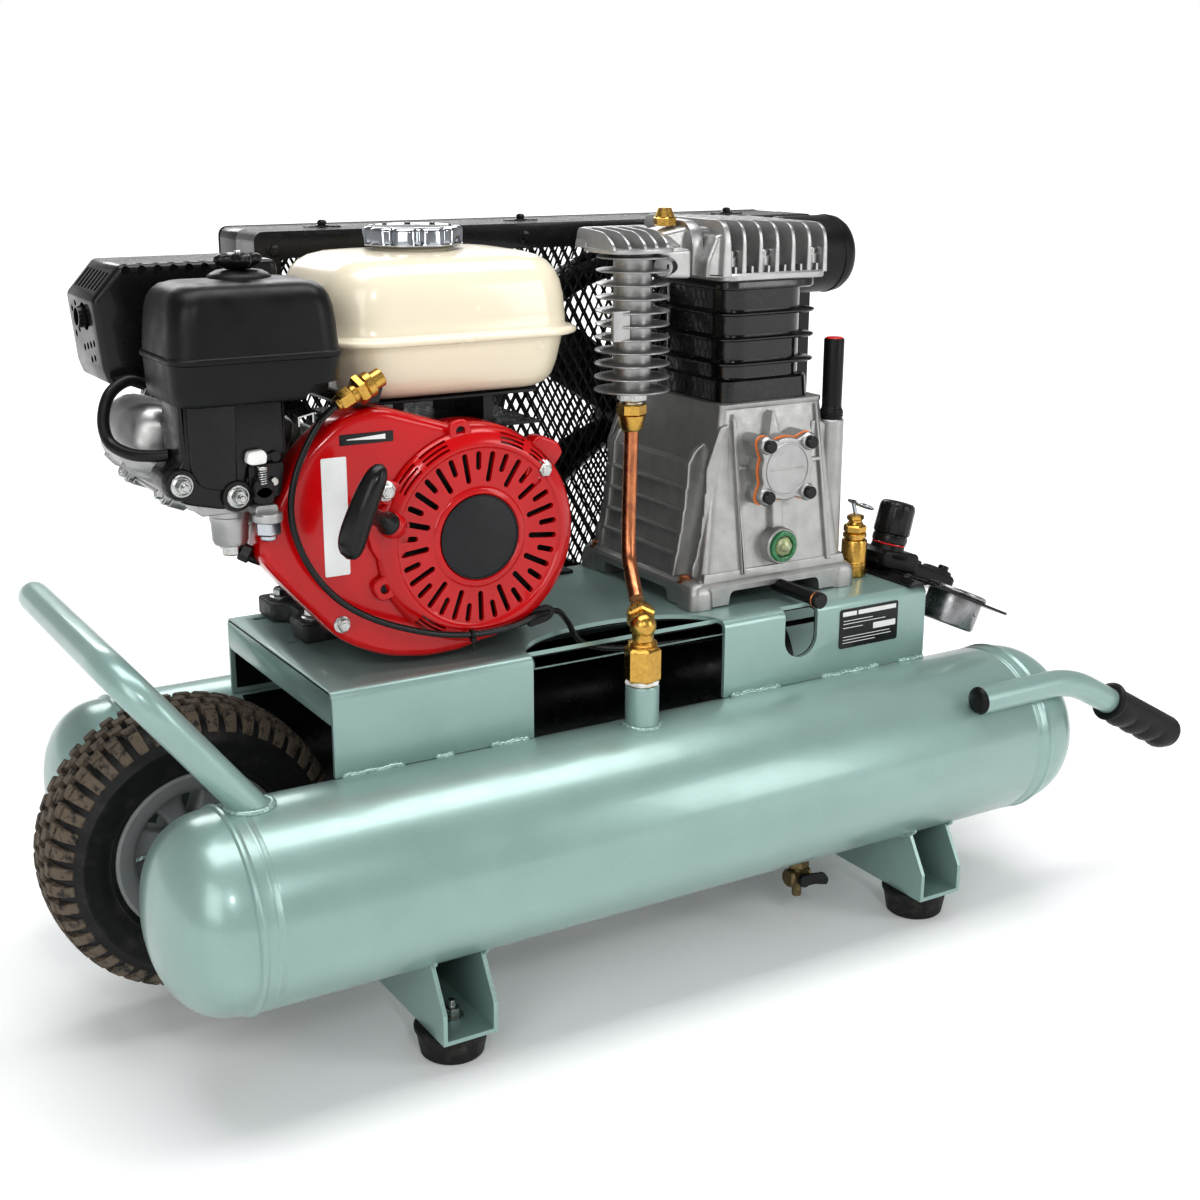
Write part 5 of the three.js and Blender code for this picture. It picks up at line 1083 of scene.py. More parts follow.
for x, z in ((4, 490), (47, 477)):
    elbow.append(lathe([(0, 0), (13, 0), (12.6, 6), (11.6, 8.6), (0, 9)], (x, -92.8, z), NEAR, 40))
add("intake_elbow", elbow, PLASTIC_GLOSS, node="air_cleaner_base", sharp=40)
nuts = []
for x, z in ((4, 490), (47, 477)):
    nuts += bolt((x, -101.7, z), NEAR, 5.6, 5.6, 2.2, 3.6)
    nuts.append(rod((x, -101.4, z), (x, -103, z), 8.8, 40, edge=0.4))
add("intake_nuts", nuts, ZINC)

hose = spline([(8, -9, 554), (-6, -12, 558), (-22, -17, 549), (-30, -24, 531), (-29, -34, 515), (-19, -50, 508),
    (-6, -62, 507), (6, -70, 508)], 10)
add("breather_hose_tube", [sweep(hose, 4.7, 24)], HOSE, node="breather_hose", sharp=60)

# Carburettor
bowl = lathe([(0, 433.2), (9, 433.2), (12.4, 434.6), (14, 438), (14.6, 452), (15.4, 454), (15.4, 457), (16.4, 458),
    (16.4, 462), (0, 462)], (48, -75, 0), seg=56)
carb = [bowl, plate([(20, 462), (64, 462), (66, 470), (60, 477.4), (24, 477.4), (18, 470)], 3, -92, -56, 1.4),
    prism(rrect(57, 75, 461, 470, 2.5), -112, -88, "xz", edge=1), lathe([(0, 458), (11.2, 458), (11.6, 459),
    (11.6, 463.4), (10.6, 464.6), (0, 464.6)], (66, -112, 0), seg=44)]
add("carburettor_body", carb, ALU_SMOOTH, node="carburettor", sharp=35)
cup = [hexagon((66, -112, 447), (66, -112, 458.4), 10.2, 0.3), lathe([(0, 443), (5.4, 443), (6.2, 444), (6.2, 447.4),
    (0, 447.4)], (66, -112, 0), seg=32)]
add("sediment_cup", cup, CHROME, slot="cast_aluminium", sharp=35)
add("bowl_bolt", [hexagon((48, -75, 425.4), (48, -75, 432), 7), rod((48, -75, 431.5), (48, -75, 434), 8.6, 32)], ZINC)
bits = [plate([(57, 470), (82, 474), (86, 500), (57, 500)], 4, -100.4, -97.4, 0.6)]
for z in (476, 482.5):
    bits.append(rod((66, -108.5, z), (66, -99, z), 8.4, 36, edge=1.2))
add("throttle_linkage", bits, PLASTIC_GLOSS, sharp=35)
spring = [(66 + 3.6 * math.cos(TAU * t * 6), -105.4 + 3.6 * math.sin(TAU * t * 6), 485 + 11 * t)
    for t in np.linspace(0, 1, 120)]
add("throttle_spring", [sweep(spring, 0.65, 8)], ZINC, sharp=60)
add("idle_screw", [rod((66, -105.4, 484), (66, -105.4, 499), 1.9, 16), rod((66, -105.4, 496.5), (66, -105.4, 499.4),
    4.2, 24, edge=0.4), rod((76, -101.5, 486), (76, -104.2, 486), 3.2, 20, edge=0.3)], ZINC)
add("choke_arm", [rod((79, -101, 505), (79, -94.6, 505), 4.4, 24, edge=0.5), plate([(60, 502), (82, 502), (82, 508),
    (60, 508)], 2, -100.6, -97.6, 0.6)], PLASTIC_GLOSS, "choke", sharp=40)
paddle = [plate([(54, 503), (58, 500.4), (70, 500.8), (71, 508), (68, 512), (56, 511)], 2.5, -105.4, -98, 1.2)]
add("choke_paddle", paddle, WHITE, "choke", node="choke_lever", sharp=40)
strip = [(0, 0), (13, 0), (13, 8), (11.6, 8), (11.6, 1.4), (1.4, 1.4), (1.4, 8), (0, 8)]
bracket = mapped(prism(strip, 0, 30, "xy"), lambda a, b, d: (92 + a + 0.1 * d, -80 - d, 545 - b - 0.32 * d + 0.2 * a))
add("governor_bracket", [bracket], ZINC, bevel=0.3)

# Muffler
mx0, mx1, my0, my1, mz0, mz1 = -24, 128, 4, 84, 553, 645
side_view = fillet([(mx0 + 9, mz0), (mx1 - 4, mz0), (mx1, mz0 + 5), (mx1, mz1 - 5), (mx1 - 4, mz1), (mx0 + 23, mz1),
    (mx0, mz1 - 26), (mx0 + 5, mz0 + 12)], 3)
shell = prism(side_view, my0, my1, "xz", edge=4.5, res=2)
shell_cut = []
for i in range(7):
    y = my0 + 13 + i * 9.2
    shell_cut.append(mapped(block(-9, 9, y - 2.2, y + 2.2, -3.4, 6), lambda x, yy, z: (-12.5 + x * 0.66 - z * 0.75,
        yy, 632 + x * 0.75 + z * 0.66)))
for i in range(9):
    x = 4 + i * 12.6
    shell_cut.append(prism(disc(x, 640.5, 3.6, 20), my0 - 2, my0 + 5, "xz"))
    shell_cut.append(rod((x, my0 + 7, mz1 - 3), (x, my0 + 7, mz1 + 3), 3.0, 20))
shell_cut.append(rod((mx0 - 6, 36, 604), (mx0 + 5, 36, 604), 11, 36))
for y, z in ((58, 612), (58, 602), (58, 592), (70, 607), (70, 597), (70, 587), (20, 584), (30, 582), (40, 580),
        (50, 578), (24, 572), (34, 570)):
    shell_cut.append(rod((mx0 - 6, y, z), (mx0 + 9, y, z), 2.9, 16))
add("muffler_shield", [shell], BLACK, node="muffler", sharp=40, cut=shell_cut)
details = [lathe([(7, -3), (8.4, -3), (8.8, -2), (8.8, 6), (7, 6)], (mx0 + 1, 36, 604), (-1, 0, 0), 40, loop=True)]
for x in (20, 62, 104):
    details.append(plate([(x - 5, 560), (x + 5, 560), (x + 3.6, 606), (x - 3.6, 606)], 3, my0 - 1.6, my0 + 2, 1.2))
pipe = spline([(96, 46, 556), (96, 46, 538), barrel(196, 40, 40)], 8)
details.append(sweep(pipe, 14, 28))
add("muffler_details", details, BLACK, sharp=45)

arm = spline([(52, -72, 437), (60, -74, 424), (74, -70, 415), (92, -62, 409)], 8)
add("fuel_tap_link", [sweep(arm, [4.4 - 0.05 * i for i in range(len(arm))], 16), hexagon((55, -76, 428),
    (62, -80, 424), 7.4)], PLASTIC_GLOSS, sharp=40)

# Throttle actuator and its air line
act_a, act_b = Vector((130, -101, 540.5)), Vector((171, -101, 561))
act = (act_b - act_a).normalized()
act_parts = [hexagon(act_a + act * 3, act_a + act * 15, 8.4), rod(act_a, act_a + act * 5, 5.6, 24, edge=0.6),
    hexagon(act_a + act * 19, act_a + act * 27, 12.4), rod(act_a + act * 14, act_b - act * 2, 7.6, 32, edge=0.8),
    rod(act_a + act * 27, act_a + act * 34, 10.4, 32, edge=0.8)]
add("throttle_actuator_body", act_parts, BRASS, node="throttle_actuator", sharp=30)
add("actuator_bracket", [plate([(150, 538), (170, 538), (174, 552), (156, 552)], 3, -93.4, -91.8, 0.4),
    block(152, 170, -93, -70, 538, 539.6)], BLACK)
line = spline([(130, -101, 540.4), (112, -105, 526), (93, -108, 494), (86, -109, 463), (91, -110, 434),
    (104, -112, 407), (124, -115, 384), (150, -117, 367), (181, -118, 354), (212, -118, 345), (244, -117, 340.5),
    (278, -114, 341), (305, -108, 345), (330, -96, 342), (348, -84, 326), (362, -80, 306), (384, -82, 296),
    (420, -84, 291), (480, -88, 289), (560, -92, 289), (640, -92, 289), (700, -86, 288)], 8)
add("throttle_air_line", [sweep(line, 2.7, 16)], PLASTIC_GLOSS, node="throttle_line", slot="rubber", sharp=60)
tie_at = Vector((236, -117.4, 341.4))
tie = [lathe([(2.6, -1.3), (4.0, -1.3), (4.0, 1.3), (2.6, 1.3)], tie_at, (1, 0.02, -0.12), 28, loop=True),
    block(234.2, 238.6, -121.4, -117, 335.4, 339), block(235.4, 237.2, -120, -118.4, 327, 336)]
add("cable_tie", tie, PLASTIC)
clip = prism(fillet([(296, 334), (318, 338), (324, 346), (318, 352), (300, 350)], 5), -106, -101.5, "xz",
    holes=[disc(315, 345.4, 2.4, 16)], edge=0.5)
add("line_clip", [clip], HOSE)


# ---- Guard -------------------------------------------------------------------------------------------------------
GX0, GX1, GY0, GY1, GZ0, GZ1 = 158.5, 785.0, 142.0, 238.0, 247.0, 657.0
LIP = 24


def guard_view(inset, r):
    """The guard seen from the side, moved in by inset: square but for the foot that slopes up at the engine end."""
    wall_z, floor_x = 345 + 0.734 * inset, 470 + 0.153 * inset
    return fillet([(floor_x, GZ0 + inset), (GX1 - inset, GZ0 + inset), (GX1 - inset, GZ1 - inset),
        (GX0 + inset, GZ1 - inset), (GX0 + inset, wall_z)], r, 6)


ring_in = guard_view(1.6, 8.6)
mouth = guard_view(LIP, 7)
guard = [prism(guard_view(0, 10), GY0 + 0.8, 189.4, "xz", holes=[ring_in], edge=0.3), prism(guard_view(0.5, 10),
    188.6, GY1 - 0.8, "xz", holes=[ring_in], edge=0.3), prism(guard_view(0, 10), GY0, GY0 + 1.6, "xz", holes=[mouth],
    edge=0.5), prism(guard_view(0, 10), GY1 - 1.6, GY1, "xz", holes=[mouth], edge=0.5)]
guard += [block(437, 457, 92, GY0 + 1, 314.6, 317.6), block(437, 457, GY0 - 3, GY0 + 1, GZ0 + 10, 317.6)]
for x in (240, 450, 700):
    guard += [block(x - 16, x + 16, 176, 189.4, GZ1 - 0.4, GZ1 + 1.0)]
add("guard_casing", guard, BLACK, node="guard_shell", bevel=0.35, segs=1)
guard_bolts = []
for x, z in ((432, 644), (176, 640), (768, 640), (768, 262), (172, 372), (500, 260), (300, 644), (600, 644),
        (600, 260)):
    guard_bolts += bolt((x, GY0 - 0.1, z), NEAR, 4.6, 3.4, 1.2)
    guard_bolts += bolt((x, GY1 + 0.1, z), ALONG_Y, 4.6, 1.4, 0.6)
guard_bolts += fasteners([(x, 183, GZ1 + 1.0) for x in (240, 450, 700)], UP, 4.6, 3.4, 1.2)
guard_bolts += bolt((447, 112, 317.7), UP, 5.6, 4.6, 1.6)
add("guard_bolts", guard_bolts, PLASTIC_GLOSS, slot="black_enamel")


def expanded(y, holes):
    """Expanded metal: zigzag strands that meet at the knuckles of tall diamonds."""
    wide, tall, half, thick = 12.0, 21.0, 1.05, 0.65
    x0, x1, z0, z1 = GX0 + 5, GX1 - 5, GZ0 + 5, GZ1 - 5
    strands = []
    columns = int((x1 - x0) / (wide / 2))
    rows_up = int((z1 - z0) / (tall / 2))
    for j in range(columns):
        xj = x0 + wide / 4 + half + j * wide / 2
        run = []
        for k in range(rows_up * 2 + 1):
            f = k / 2
            i, part = int(f), f - int(f)
            sign = 1 if (i + j) % 2 else -1
            swing = (wide / 4 - half * 0.35) * sign * (1 - 2 * part)
            x, z = xj + swing, z0 + f * tall / 2
            lift = (0.75 if part else 0.0) * (1 if (i + j) % 2 else -1)
            floor = GZ0 + 5 if x > 471 else 345 + 3.7 - (x - GX0) * 0.3146
            if x > x1 or z < floor or any(math.hypot(x - a, z - b) < r for a, b, r in holes):
                if len(run) > 1:
                    strands.append(loft(run))
                run = []
                continue
            t = thick + (0.35 if not part else 0)
            run.append([(x - half, y - t + lift, z), (x + half, y - t - lift * 0.6, z), (x + half, y + t - lift * 0.6,
                z), (x - half, y + t + lift, z)])
        if len(run) > 1:
            strands.append(loft(run))
    return strands


add("guard_mesh_front", expanded(GY0 + 3.6, [(250, 421, 36), (581, 441, 46)]), MESH_BLACK, node="guard_front_grille",
    sharp=60)
add("guard_mesh_rear", expanded(GY1 - 3.6, []), MESH_BLACK, node="guard_rear_grille", sharp=60)

# ---- Belt drive ----------------------------------------------------------------------------------------------------
PX, PZ, BY = 581.0, 441.0, 188.0


def belt_path(engine_r, pump_r):
    """Points (x, z, cos, sin) round both pulleys, each with the direction that leads out of the belt."""
    n = 120  # points round each pulley
    dx, dz = PX - SX, PZ - SZ
    lean, gap = math.atan2(dz, dx), math.hypot(dx, dz)
    open_at = math.acos((engine_r - pump_r) / gap)
    points = []
    for i in range(n + 1):
        a = lean + open_at + (TAU - 2 * open_at) * i / n
        points.append((SX + engine_r * math.cos(a), SZ + engine_r * math.sin(a), math.cos(a), math.sin(a)))
    for i in range(n + 1):
        a = lean - open_at + 2 * open_at * i / n
        points.append((PX + pump_r * math.cos(a), PZ + pump_r * math.sin(a), math.cos(a), math.sin(a)))
    return points


profile = [(3.5, -6.4), (3.5, 6.4), (2.6, 6.6), (-3.9, 4.2), (-3.9, -4.2), (2.6, -6.6)]
add("drive_belt_loop", [loft([[(x + c * h, BY + w, z + s * h) for h, w in profile] for x, z, c, s in belt_path(48,
    182)], loop=True)], HOSE, node="drive_belt", sharp=25)


def sheave(pitch, web, bore):
    """Profile of a pulley with one belt groove."""
    top, floor = pitch + 3.0, pitch - 5
    return mirrored([(bore, -web), (top - 1, -web), (top, -web + 1), (top, -7.6), (floor, -6.2)])


add("engine_pulley_wheel", [lathe(sheave(48, 12, 12.6), (SX, BY, SZ), ALONG_Y, 72, loop=True),
    lathe([(12.6, -30), (23, -30), (24, -29), (24, -11), (12.6, -11)], (SX, BY, SZ), ALONG_Y, 48, loop=True),
    hexagon((SX, BY - 20, 444), (SX, BY - 20, 449), 5)], IRON, "engine_drive", node="engine_pulley", sharp=35)
add("pulley_bolt", bolt((SX, 203, SZ), ALONG_Y, 9, 7, 2), ZINC, "engine_drive")

fly = [lathe([(160, -14), (183, -14), (185, -13), (185, -7.6), (177.4, -6.2), (177.4, 6.2), (185, 7.6), (185, 13),
    (183, 14), (160, 14), (158, 10), (157.4, 0), (158, -10)], (PX, BY, PZ), ALONG_Y, 144, loop=True),
    lathe([(14.4, -26), (31, -26), (34, -22), (34, 18), (31, 22), (14.4, 22)], (PX, BY, PZ), ALONG_Y, 64, loop=True)]
for i in range(5):
    a = TAU * i / 5 + 0.35
    rings = []
    for t in np.linspace(0, 1, 16):
        radius = 28 + (161 - 28) * t
        sweepback = -0.22 * math.sin(t * math.pi / 2)
        chord = 21 + 9 * math.sin(t * math.pi) + 3 * t
        pitch_angle = 0.55 - 0.1 * t
        ca, sa = math.cos(a + sweepback), -math.sin(a + sweepback)
        centre = Vector((PX + radius * ca, BY, PZ + radius * sa))
        side = Vector((-sa, 0, ca))
        ring = []
        for k in range(20):
            q = TAU * k / 20
            u, v = chord * math.cos(q), (4.6 - 1.2 * t) * math.sin(q) + 3.4 * (math.cos(q) ** 2 - 0.5)
            along_side = u * math.cos(pitch_angle) - v * math.sin(pitch_angle)
            off = u * math.sin(pitch_angle) * 0.82 + v * math.cos(pitch_angle)
            ring.append(centre + side * along_side + Vector((0, max(-13, min(13, off)), 0)))
        rings.append(ring)
    fly.append(loft(rings))
add("flywheel_casting", fly, BLACK_CAST, "pump_drive", node="flywheel", slot="cast_iron", sharp=35)
shaft = [rod((PX, -50, PZ), (PX, BY + 24, PZ), 14, 48, edge=1), hexagon((PX, BY + 22.4, PZ), (PX, BY + 32, PZ), 17),
    rod((PX, BY + 21.6, PZ), (PX, BY + 24, PZ), 22, 48, edge=0.5), rod((PX, BY + 31, PZ), (PX, BY + 34, PZ), 9, 32,
    edge=1)]
add("pump_shaft", shaft, STEEL, "pump_drive", node="pump_crankshaft", sharp=30)

# ---- Pump crankcase ------------------------------------------------------------------------------------------------


# The casting's faces lean in towards its top
def front_y(z):
    return -79 + (z - 345) / 155 * 21


def left_x(z):
    return 497 + (z - 345) / 155 * 31


def right_x(z):
    return 661 - (z - 345) / 155 * 16


def back_y(z):
    return 111 - (z - 345) / 155 * 5


# Parts drawn on a face: d is the distance out from it
def on_front(part):
    return mapped(part, lambda x, d, z: (x, front_y(z) - d, z))


def on_right(part):
    return mapped(part, lambda y, d, z: (right_x(z) + d, y, z))


def on_back(part):
    return mapped(part, lambda x, d, z: (x, back_y(z) + d, z))


BX0, BX1, BY0, BY1 = 481, 673, -85, 117
case_parts = [stack([(FOOT_Z, BX0 + 2.5, BX1 - 2.5, BY0 + 2.5, BY1 - 2.5, 9), (FOOT_Z + 1.4, BX0 + 1, BX1 - 1,
    BY0 + 1, BY1 - 1, 10), (334, BX0 + 1, BX1 - 1, BY0 + 1, BY1 - 1, 10), (336.6, BX0 + 2, BX1 - 2, BY0 + 2, BY1 - 2,
    10), (339, BX0 + 5.5, BX1 - 5.5, BY0 + 4.5, BY1 - 4.5, 10)]), stack([(337, 492, 666, -81, 113, 9),
    (345, left_x(345), right_x(345), front_y(345), back_y(345), 9), (495, left_x(495), right_x(495), front_y(495),
    back_y(495), 7), (497.2, 526.4, 646.6, -59.8, 107.6, 8), (500, 526.4, 646.6, -59.8, 107.6, 8)])]
case_cut = [plate([(522, 308), (632, 308), (629, 328.6), (525, 328.6)], 6, -110, 140),
    plate([(-42, 308), (74, 308), (72, 327.6), (-40, 327.6)], 6, 470, 690, 0.0, "yz"),
    rod((PX, 90, PZ), (PX, 130, PZ), 15.4, 40), rod((658, -58, 440), (658, -58, 480), 9.4, 32)]
for x0, x1 in ((BX0 - 1.5, BX0 + 26), (BX1 - 26, BX1 + 1.5)):
    for y0, y1 in ((BY0 - 1.5, BY0 + 28), (BY1 - 28, BY1 + 1.5)):
        case_parts.append(stack([(FOOT_Z, x0, x1, y0, y1, 8), (329, x0 + 0.4, x1 - 0.4, y0 + 0.4, y1 - 0.4, 8),
            (333.5, x0 + 1.4, x1 - 1.4, y0 + 1.4, y1 - 1.4, 8), (336.4, x0 + 4, x1 - 4, y0 + 4, y1 - 4, 7)]))
# Ridges, centre web and spike on the front face
case_parts += [on_front(plate([(539, 342), (544, 342), (541.6, 486), (539.4, 492), (537.6, 486)], 1, -3, 3.8, 1.1)),
    on_front(plate([(640, 344), (645, 344), (638.4, 494), (634.6, 494)], 1, -3, 3.6, 1.1)),
    on_front(prism([(575, 370), (588, 370), (587, 414), (576, 414)], -4, 6.5, "xz", edge=1.2)),
    on_front(plate([(574, 468), (588, 468), (582.4, 492), (579.6, 492)], 1.2, -4, 9, 1.2)),
    on_front(plate([(496, 338), (664, 338), (662, 347), (498, 347)], 2, -6, 1.0, 0.9))]
for a, b in ((541, 550), (612, 637)):
    case_parts.append(on_front(prism(rrect(a, b, 440, 443.6, 1.4), -3, 5, "xz", edge=1)))
# Main bearing boss: a disc with four lobes for its screws
lobed = []
for i in range(120):
    a = TAU * i / 120
    best = 30.0
    for k in range(4):
        at = math.radians(45 + 90 * k)
        dx, dy = 34.0 * math.cos(a - at), 34.0 * math.sin(a - at)
        if abs(dy) < 9.0 and dx > 0:
            best = max(best, dx + math.sqrt(81 - dy ** 2))
    lobed.append(best)
smooth = [sum(lobed[(i + k) % 120] for k in range(-2, 3)) / 5 for i in range(120)]


def lobe_ring(grow):
    """Outline of the bearing boss, made larger by grow."""
    return [(PX + (smooth[i] + grow) * math.cos(TAU * i / 120), PZ + (smooth[i] + grow) * math.sin(TAU * i / 120))
        for i in range(120)]


case_parts += [prism(lobe_ring(0.6), -83.6, -50, "xz", edge=0.8), rod((581, -89, 366), (581, -66, 366), 17.4, 56,
    18.4, 1.2), rod((658, -58, 330), (658, -58, 477), 12.6, 48, 12.2, 1.2), plate([(630, 338), (650, 338), (650, 472),
    (640, 478), (630, 478)], 3, -63, -53, 1.4)]
# Left and right sides: a ribbed panel that slopes out to the base and steps back at each rib
rib_steps = [(338.6, 486.2), (358, 489.4), (378.2, 493.6), (399.5, 497), (420.3, 499.5)]
panel_view = [(530, 338.6)]
for k, (z, x) in enumerate(rib_steps):
    panel_view += [(x, z), (x + 1.6, z + 3.2)] if k else [(x, z)]
panel_view += [(502.1, 444.8), (509, 456), (519.3, 463.1), (530, 463.1)]
for y0, y1 in ((-44, -36), (88, 96)):
    case_parts.append(prism(panel_view, y0, y1, "xz", edge=2.2, res=3))
sloped = [(530, 338.6), (490.6, 338.6), (494, 358), (498, 378), (501.4, 400), (504, 421), (507, 443), (530, 447)]
case_parts.append(prism(sloped, -40, 92, "xz", edge=0.8))
for z, x in rib_steps[1:]:
    case_parts.append(plate([(x, z), (x + 1.4, z + 2.6), (x + 12, z + 2.6), (x + 12, z)], 0.5, -38, 90, 0.4))
# Wings in the planes of the front and back faces, stepped at the same heights
wing = fillet([(532, 483), (521.6, 480.5), (507, 442.6), (507.2, 421), (505.6, 419), (505, 400), (503.2, 397.4),
    (502.2, 379), (500.6, 376.4), (497.4, 360), (493.2, 352), (493.2, 342), (532, 342)], [1, 3, 3, 1, 1, 1, 1, 1, 1,
    1, 2, 1, 1], 3)
for y0, y1 in ((-66.6, -60), (104, 110)):
    case_parts.append(prism(wing, y0, y1, "xz", edge=1.2))
for z in (358, 378, 399.5, 420):
    case_parts.append(on_right(block(-40, 90, -2, 2.6, z, z + 3.2)))
for x in (530, 560, 600, 632):
    case_parts.append(on_back(prism(rrect(x, x + 4, 345, 488, 1.6), -3, 3.4, "xz", edge=1)))
case_parts.append(rod((PX, 96, PZ), (PX, 118, PZ), 40, 64, 36, 1.5))
for x in (536, 556, 576, 596, 616):
    case_parts.append(block(x, x + 8, -81, -72, 322.4, 330))
add("pump_crankcase_casting", case_parts, ALU, node="pump_crankcase", sharp=34, cut=case_cut)
add("crankcase_bolts", fasteners([(490, -58, 336.6), (490, 100, 336.6), (666, 96, 336.6)], UP, 5.6, 4.4, 1.6), COPPER,
    slot="steel")

# Bearing cover
COVER_SCREWS = [(PX + a * 24, PZ + b * 24) for a in (-1, 1) for b in (-1, 1)]
add("bearing_gasket", [prism(lobe_ring(0.9), -85.1, -83.7, "xz", edge=0.2)], GASKET)
cover = [prism(lobe_ring(-0.4), -92.4, -85.2, "xz", edge=1.5), lathe([(22.8, -92.0), (23.4, -93.2), (24.8, -93.2),
    (25.4, -92.0)], (PX, 0, PZ), ALONG_Y, 96, loop=True), prism(rrect(PX - 19, PX + 19, PZ - 0.6, PZ + 0.6, 0.5),
    -93.0, -92, "xz", edge=0.3)]
cover += [rod((x, -94.6, z), (x, -91, z), 7.6, 40, 8.6, 0.8) for x, z in COVER_SCREWS]
add("bearing_cover_plate", cover, ALU_SMOOTH, node="bearing_cover", sharp=34)
add("bearing_cover_screws", fasteners([(x, -94.6, z) for x, z in COVER_SCREWS], NEAR, 5.8, 5.4, make=socket_screw),
    PLASTIC_GLOSS, slot="steel")

# Sight glass
glass = paint("sight_lens", (0.30, 0.33, 0.17), 0.08, coat=0.8, mottle=0.55, mottle_size=6)
add("sight_glass_ring", [lathe([(9.6, -2), (9.6, 0.2), (10.6, 2.6), (12.8, 3.4), (14.6, 2.8), (15.2, 1.4),
    (15.2, -2)], (581, -88.6, 366), NEAR, 72, loop=True)] + [rod((x, -92.2, z), (x, -90, z), 1.5, 12, edge=0.4)
    for x, z in disc(581, 366, 12.6, 8)], GREEN, node="sight_glass", sharp=40)
add("sight_glass_lens", [lathe([(0, 6.6), (2.4, 6.4), (5.2, 5.4), (7.6, 3.6), (9.2, 1.4), (9.9, -1.6), (0, -1.6)],
    (581, -89.4, 366), NEAR, 96, ripple=lambda a, r, t: r * (1 + 0.05 * math.cos(6 * a)) if 4 < r < 9.5 else r)],
    glass, slot="green_lens", sharp=60)

# Oil filler: dipstick tube with a red end
DIPSTICK_AXIS = (658, -58, 0)
dip = [lathe([(0, 477.6), (10.6, 477.6), (11, 478.4), (11, 485), (10.4, 486.4), (9.8, 487.2), (9.5, 490), (9.7, 520),
    (9.7, 552.6), (9.2, 554), (8.0, 554.2), (7.8, 553.0), (0, 553.0)], DIPSTICK_AXIS, seg=56), rod((658, -58, 380),
    (658, -58, 480), 3.8, 16)]
for z in (480.4, 483.0):
    dip.append(lathe([(10.8, -0.7), (11.5, -0.4), (11.5, 0.4), (10.8, 0.7)], (658, -58, z), seg=56, loop=True))
add("dipstick_tube", dip, PLASTIC, "oil_dipstick", node="dipstick", sharp=40)
add("dipstick_top", [lathe([(0, 552.6), (8.4, 552.6), (8.4, 554.4), (7.6, 555), (0, 555)], DIPSTICK_AXIS, seg=48)],
    RED_PLASTIC, "oil_dipstick", sharp=40)

# Oil drain tube
drain = [rod((583, -77, 326), (583, -139, 326), 6.6, 40, edge=0.6)]
add("oil_drain_hose", drain, PLASTIC, node="oil_drain_tube", slot="rubber", sharp=40)
add("oil_drain_washer", [rod((583, -138.6, 326), (583, -141, 326), 8.0, 48, edge=0.5)], COPPER)
add("oil_drain_plug", socket_screw((583, -141, 326), NEAR, 7.4, 6.4), PLASTIC_GLOSS, slot="steel")

# ---- Cylinder block ------------------------------------------------------------------------------------------------
block_parts = [inset_stack(534, 639, -51, 71, [(500.3, 0, 14), (519, 1, 14), (521.4, 3, 14)]), inset_stack(531, 642,
    -54, 74, [(603.4, 2, 16), (604.6, 0, 17), (611, 0, 17), (612.2, 0.6, 17)])]
block_parts.append(inset_stack(538, 635, -47, 67, [(518, 0, 24), (606, 0, 24)], 10))
for z in (533.4, 556.4, 579.6):
    block_parts.append(inset_stack(528.6, 644.4, -56.4, 76.4, [(z, 4.4, 20), (z + 0.5, 1, 21), (z + 1.5, 0, 21),
        (z + 2.9, 0, 21), (z + 3.6, 1, 21), (z + 5, 7.4, 22)], 10))
add("cylinder_block_casting", block_parts, BLACK_CAST, node="cylinder_block", sharp=34)

# ---- Cylinder head -------------------------------------------------------------------------------------------------
H0, H1 = 612.5, 667.0
HEAD_BOLTS = [(x, y) for x in (540.3, 577.5, 633.3) for y in (-46, 66)]
head_casting = [stack([(H0, 528, 647, -59, 79, 14), (H0 + 1, 527, 648, -60, 80, 15), (H0 + 5.2, 527, 648, -60, 80,
    15), (H0 + 7, 528.6, 646.4, -58.4, 78.4, 14)]), stack([(H0 + 6, 534, 642, -42, 68, 14), (640, 536, 640, -36, 64,
    12), (646, 538, 638, -30, 60, 10)])]
for i in range(7):
    x = 531 + i * 18.6
    top = H1 - i * 0.8
    fin_shape = fillet([(-58.6, H0 + 5), (-58.6, top - 8), (-46, top + 1), (-20, top + 1.6), (60, top + 1),
        (78.4, top - 2), (78.4, H0 + 5)], [0.01, 16, 12, 10, 10, 14, 0.01], 7)
    fin_shape = [(a, min(b, top)) for a, b in fin_shape]
    thick = 2.4 if i else 4.4
    wedge = prism(fin_shape, -1, 1, "yz", edge=0.45)
    head_casting.append(mapped(wedge, lambda d, y, z, x=x, thick=thick: (x + d * thick * (0.62 + 0.5 * (H1 - z) / 50),
        y, z)))
for i in range(6):
    x = 540.3 + i * 18.6
    head_casting.append(block(x - 1.2, x + 1.2, -58.4, -44, H0 + 5, H0 + 13))
    head_casting.append(block(x - 1.2, x + 1.2, 64, 78, H0 + 5, H0 + 13))
head_casting += [rod((x, y, H0 + 4), (x, y, 634), 7.2, 32, edge=0.8) for x, y in HEAD_BOLTS]
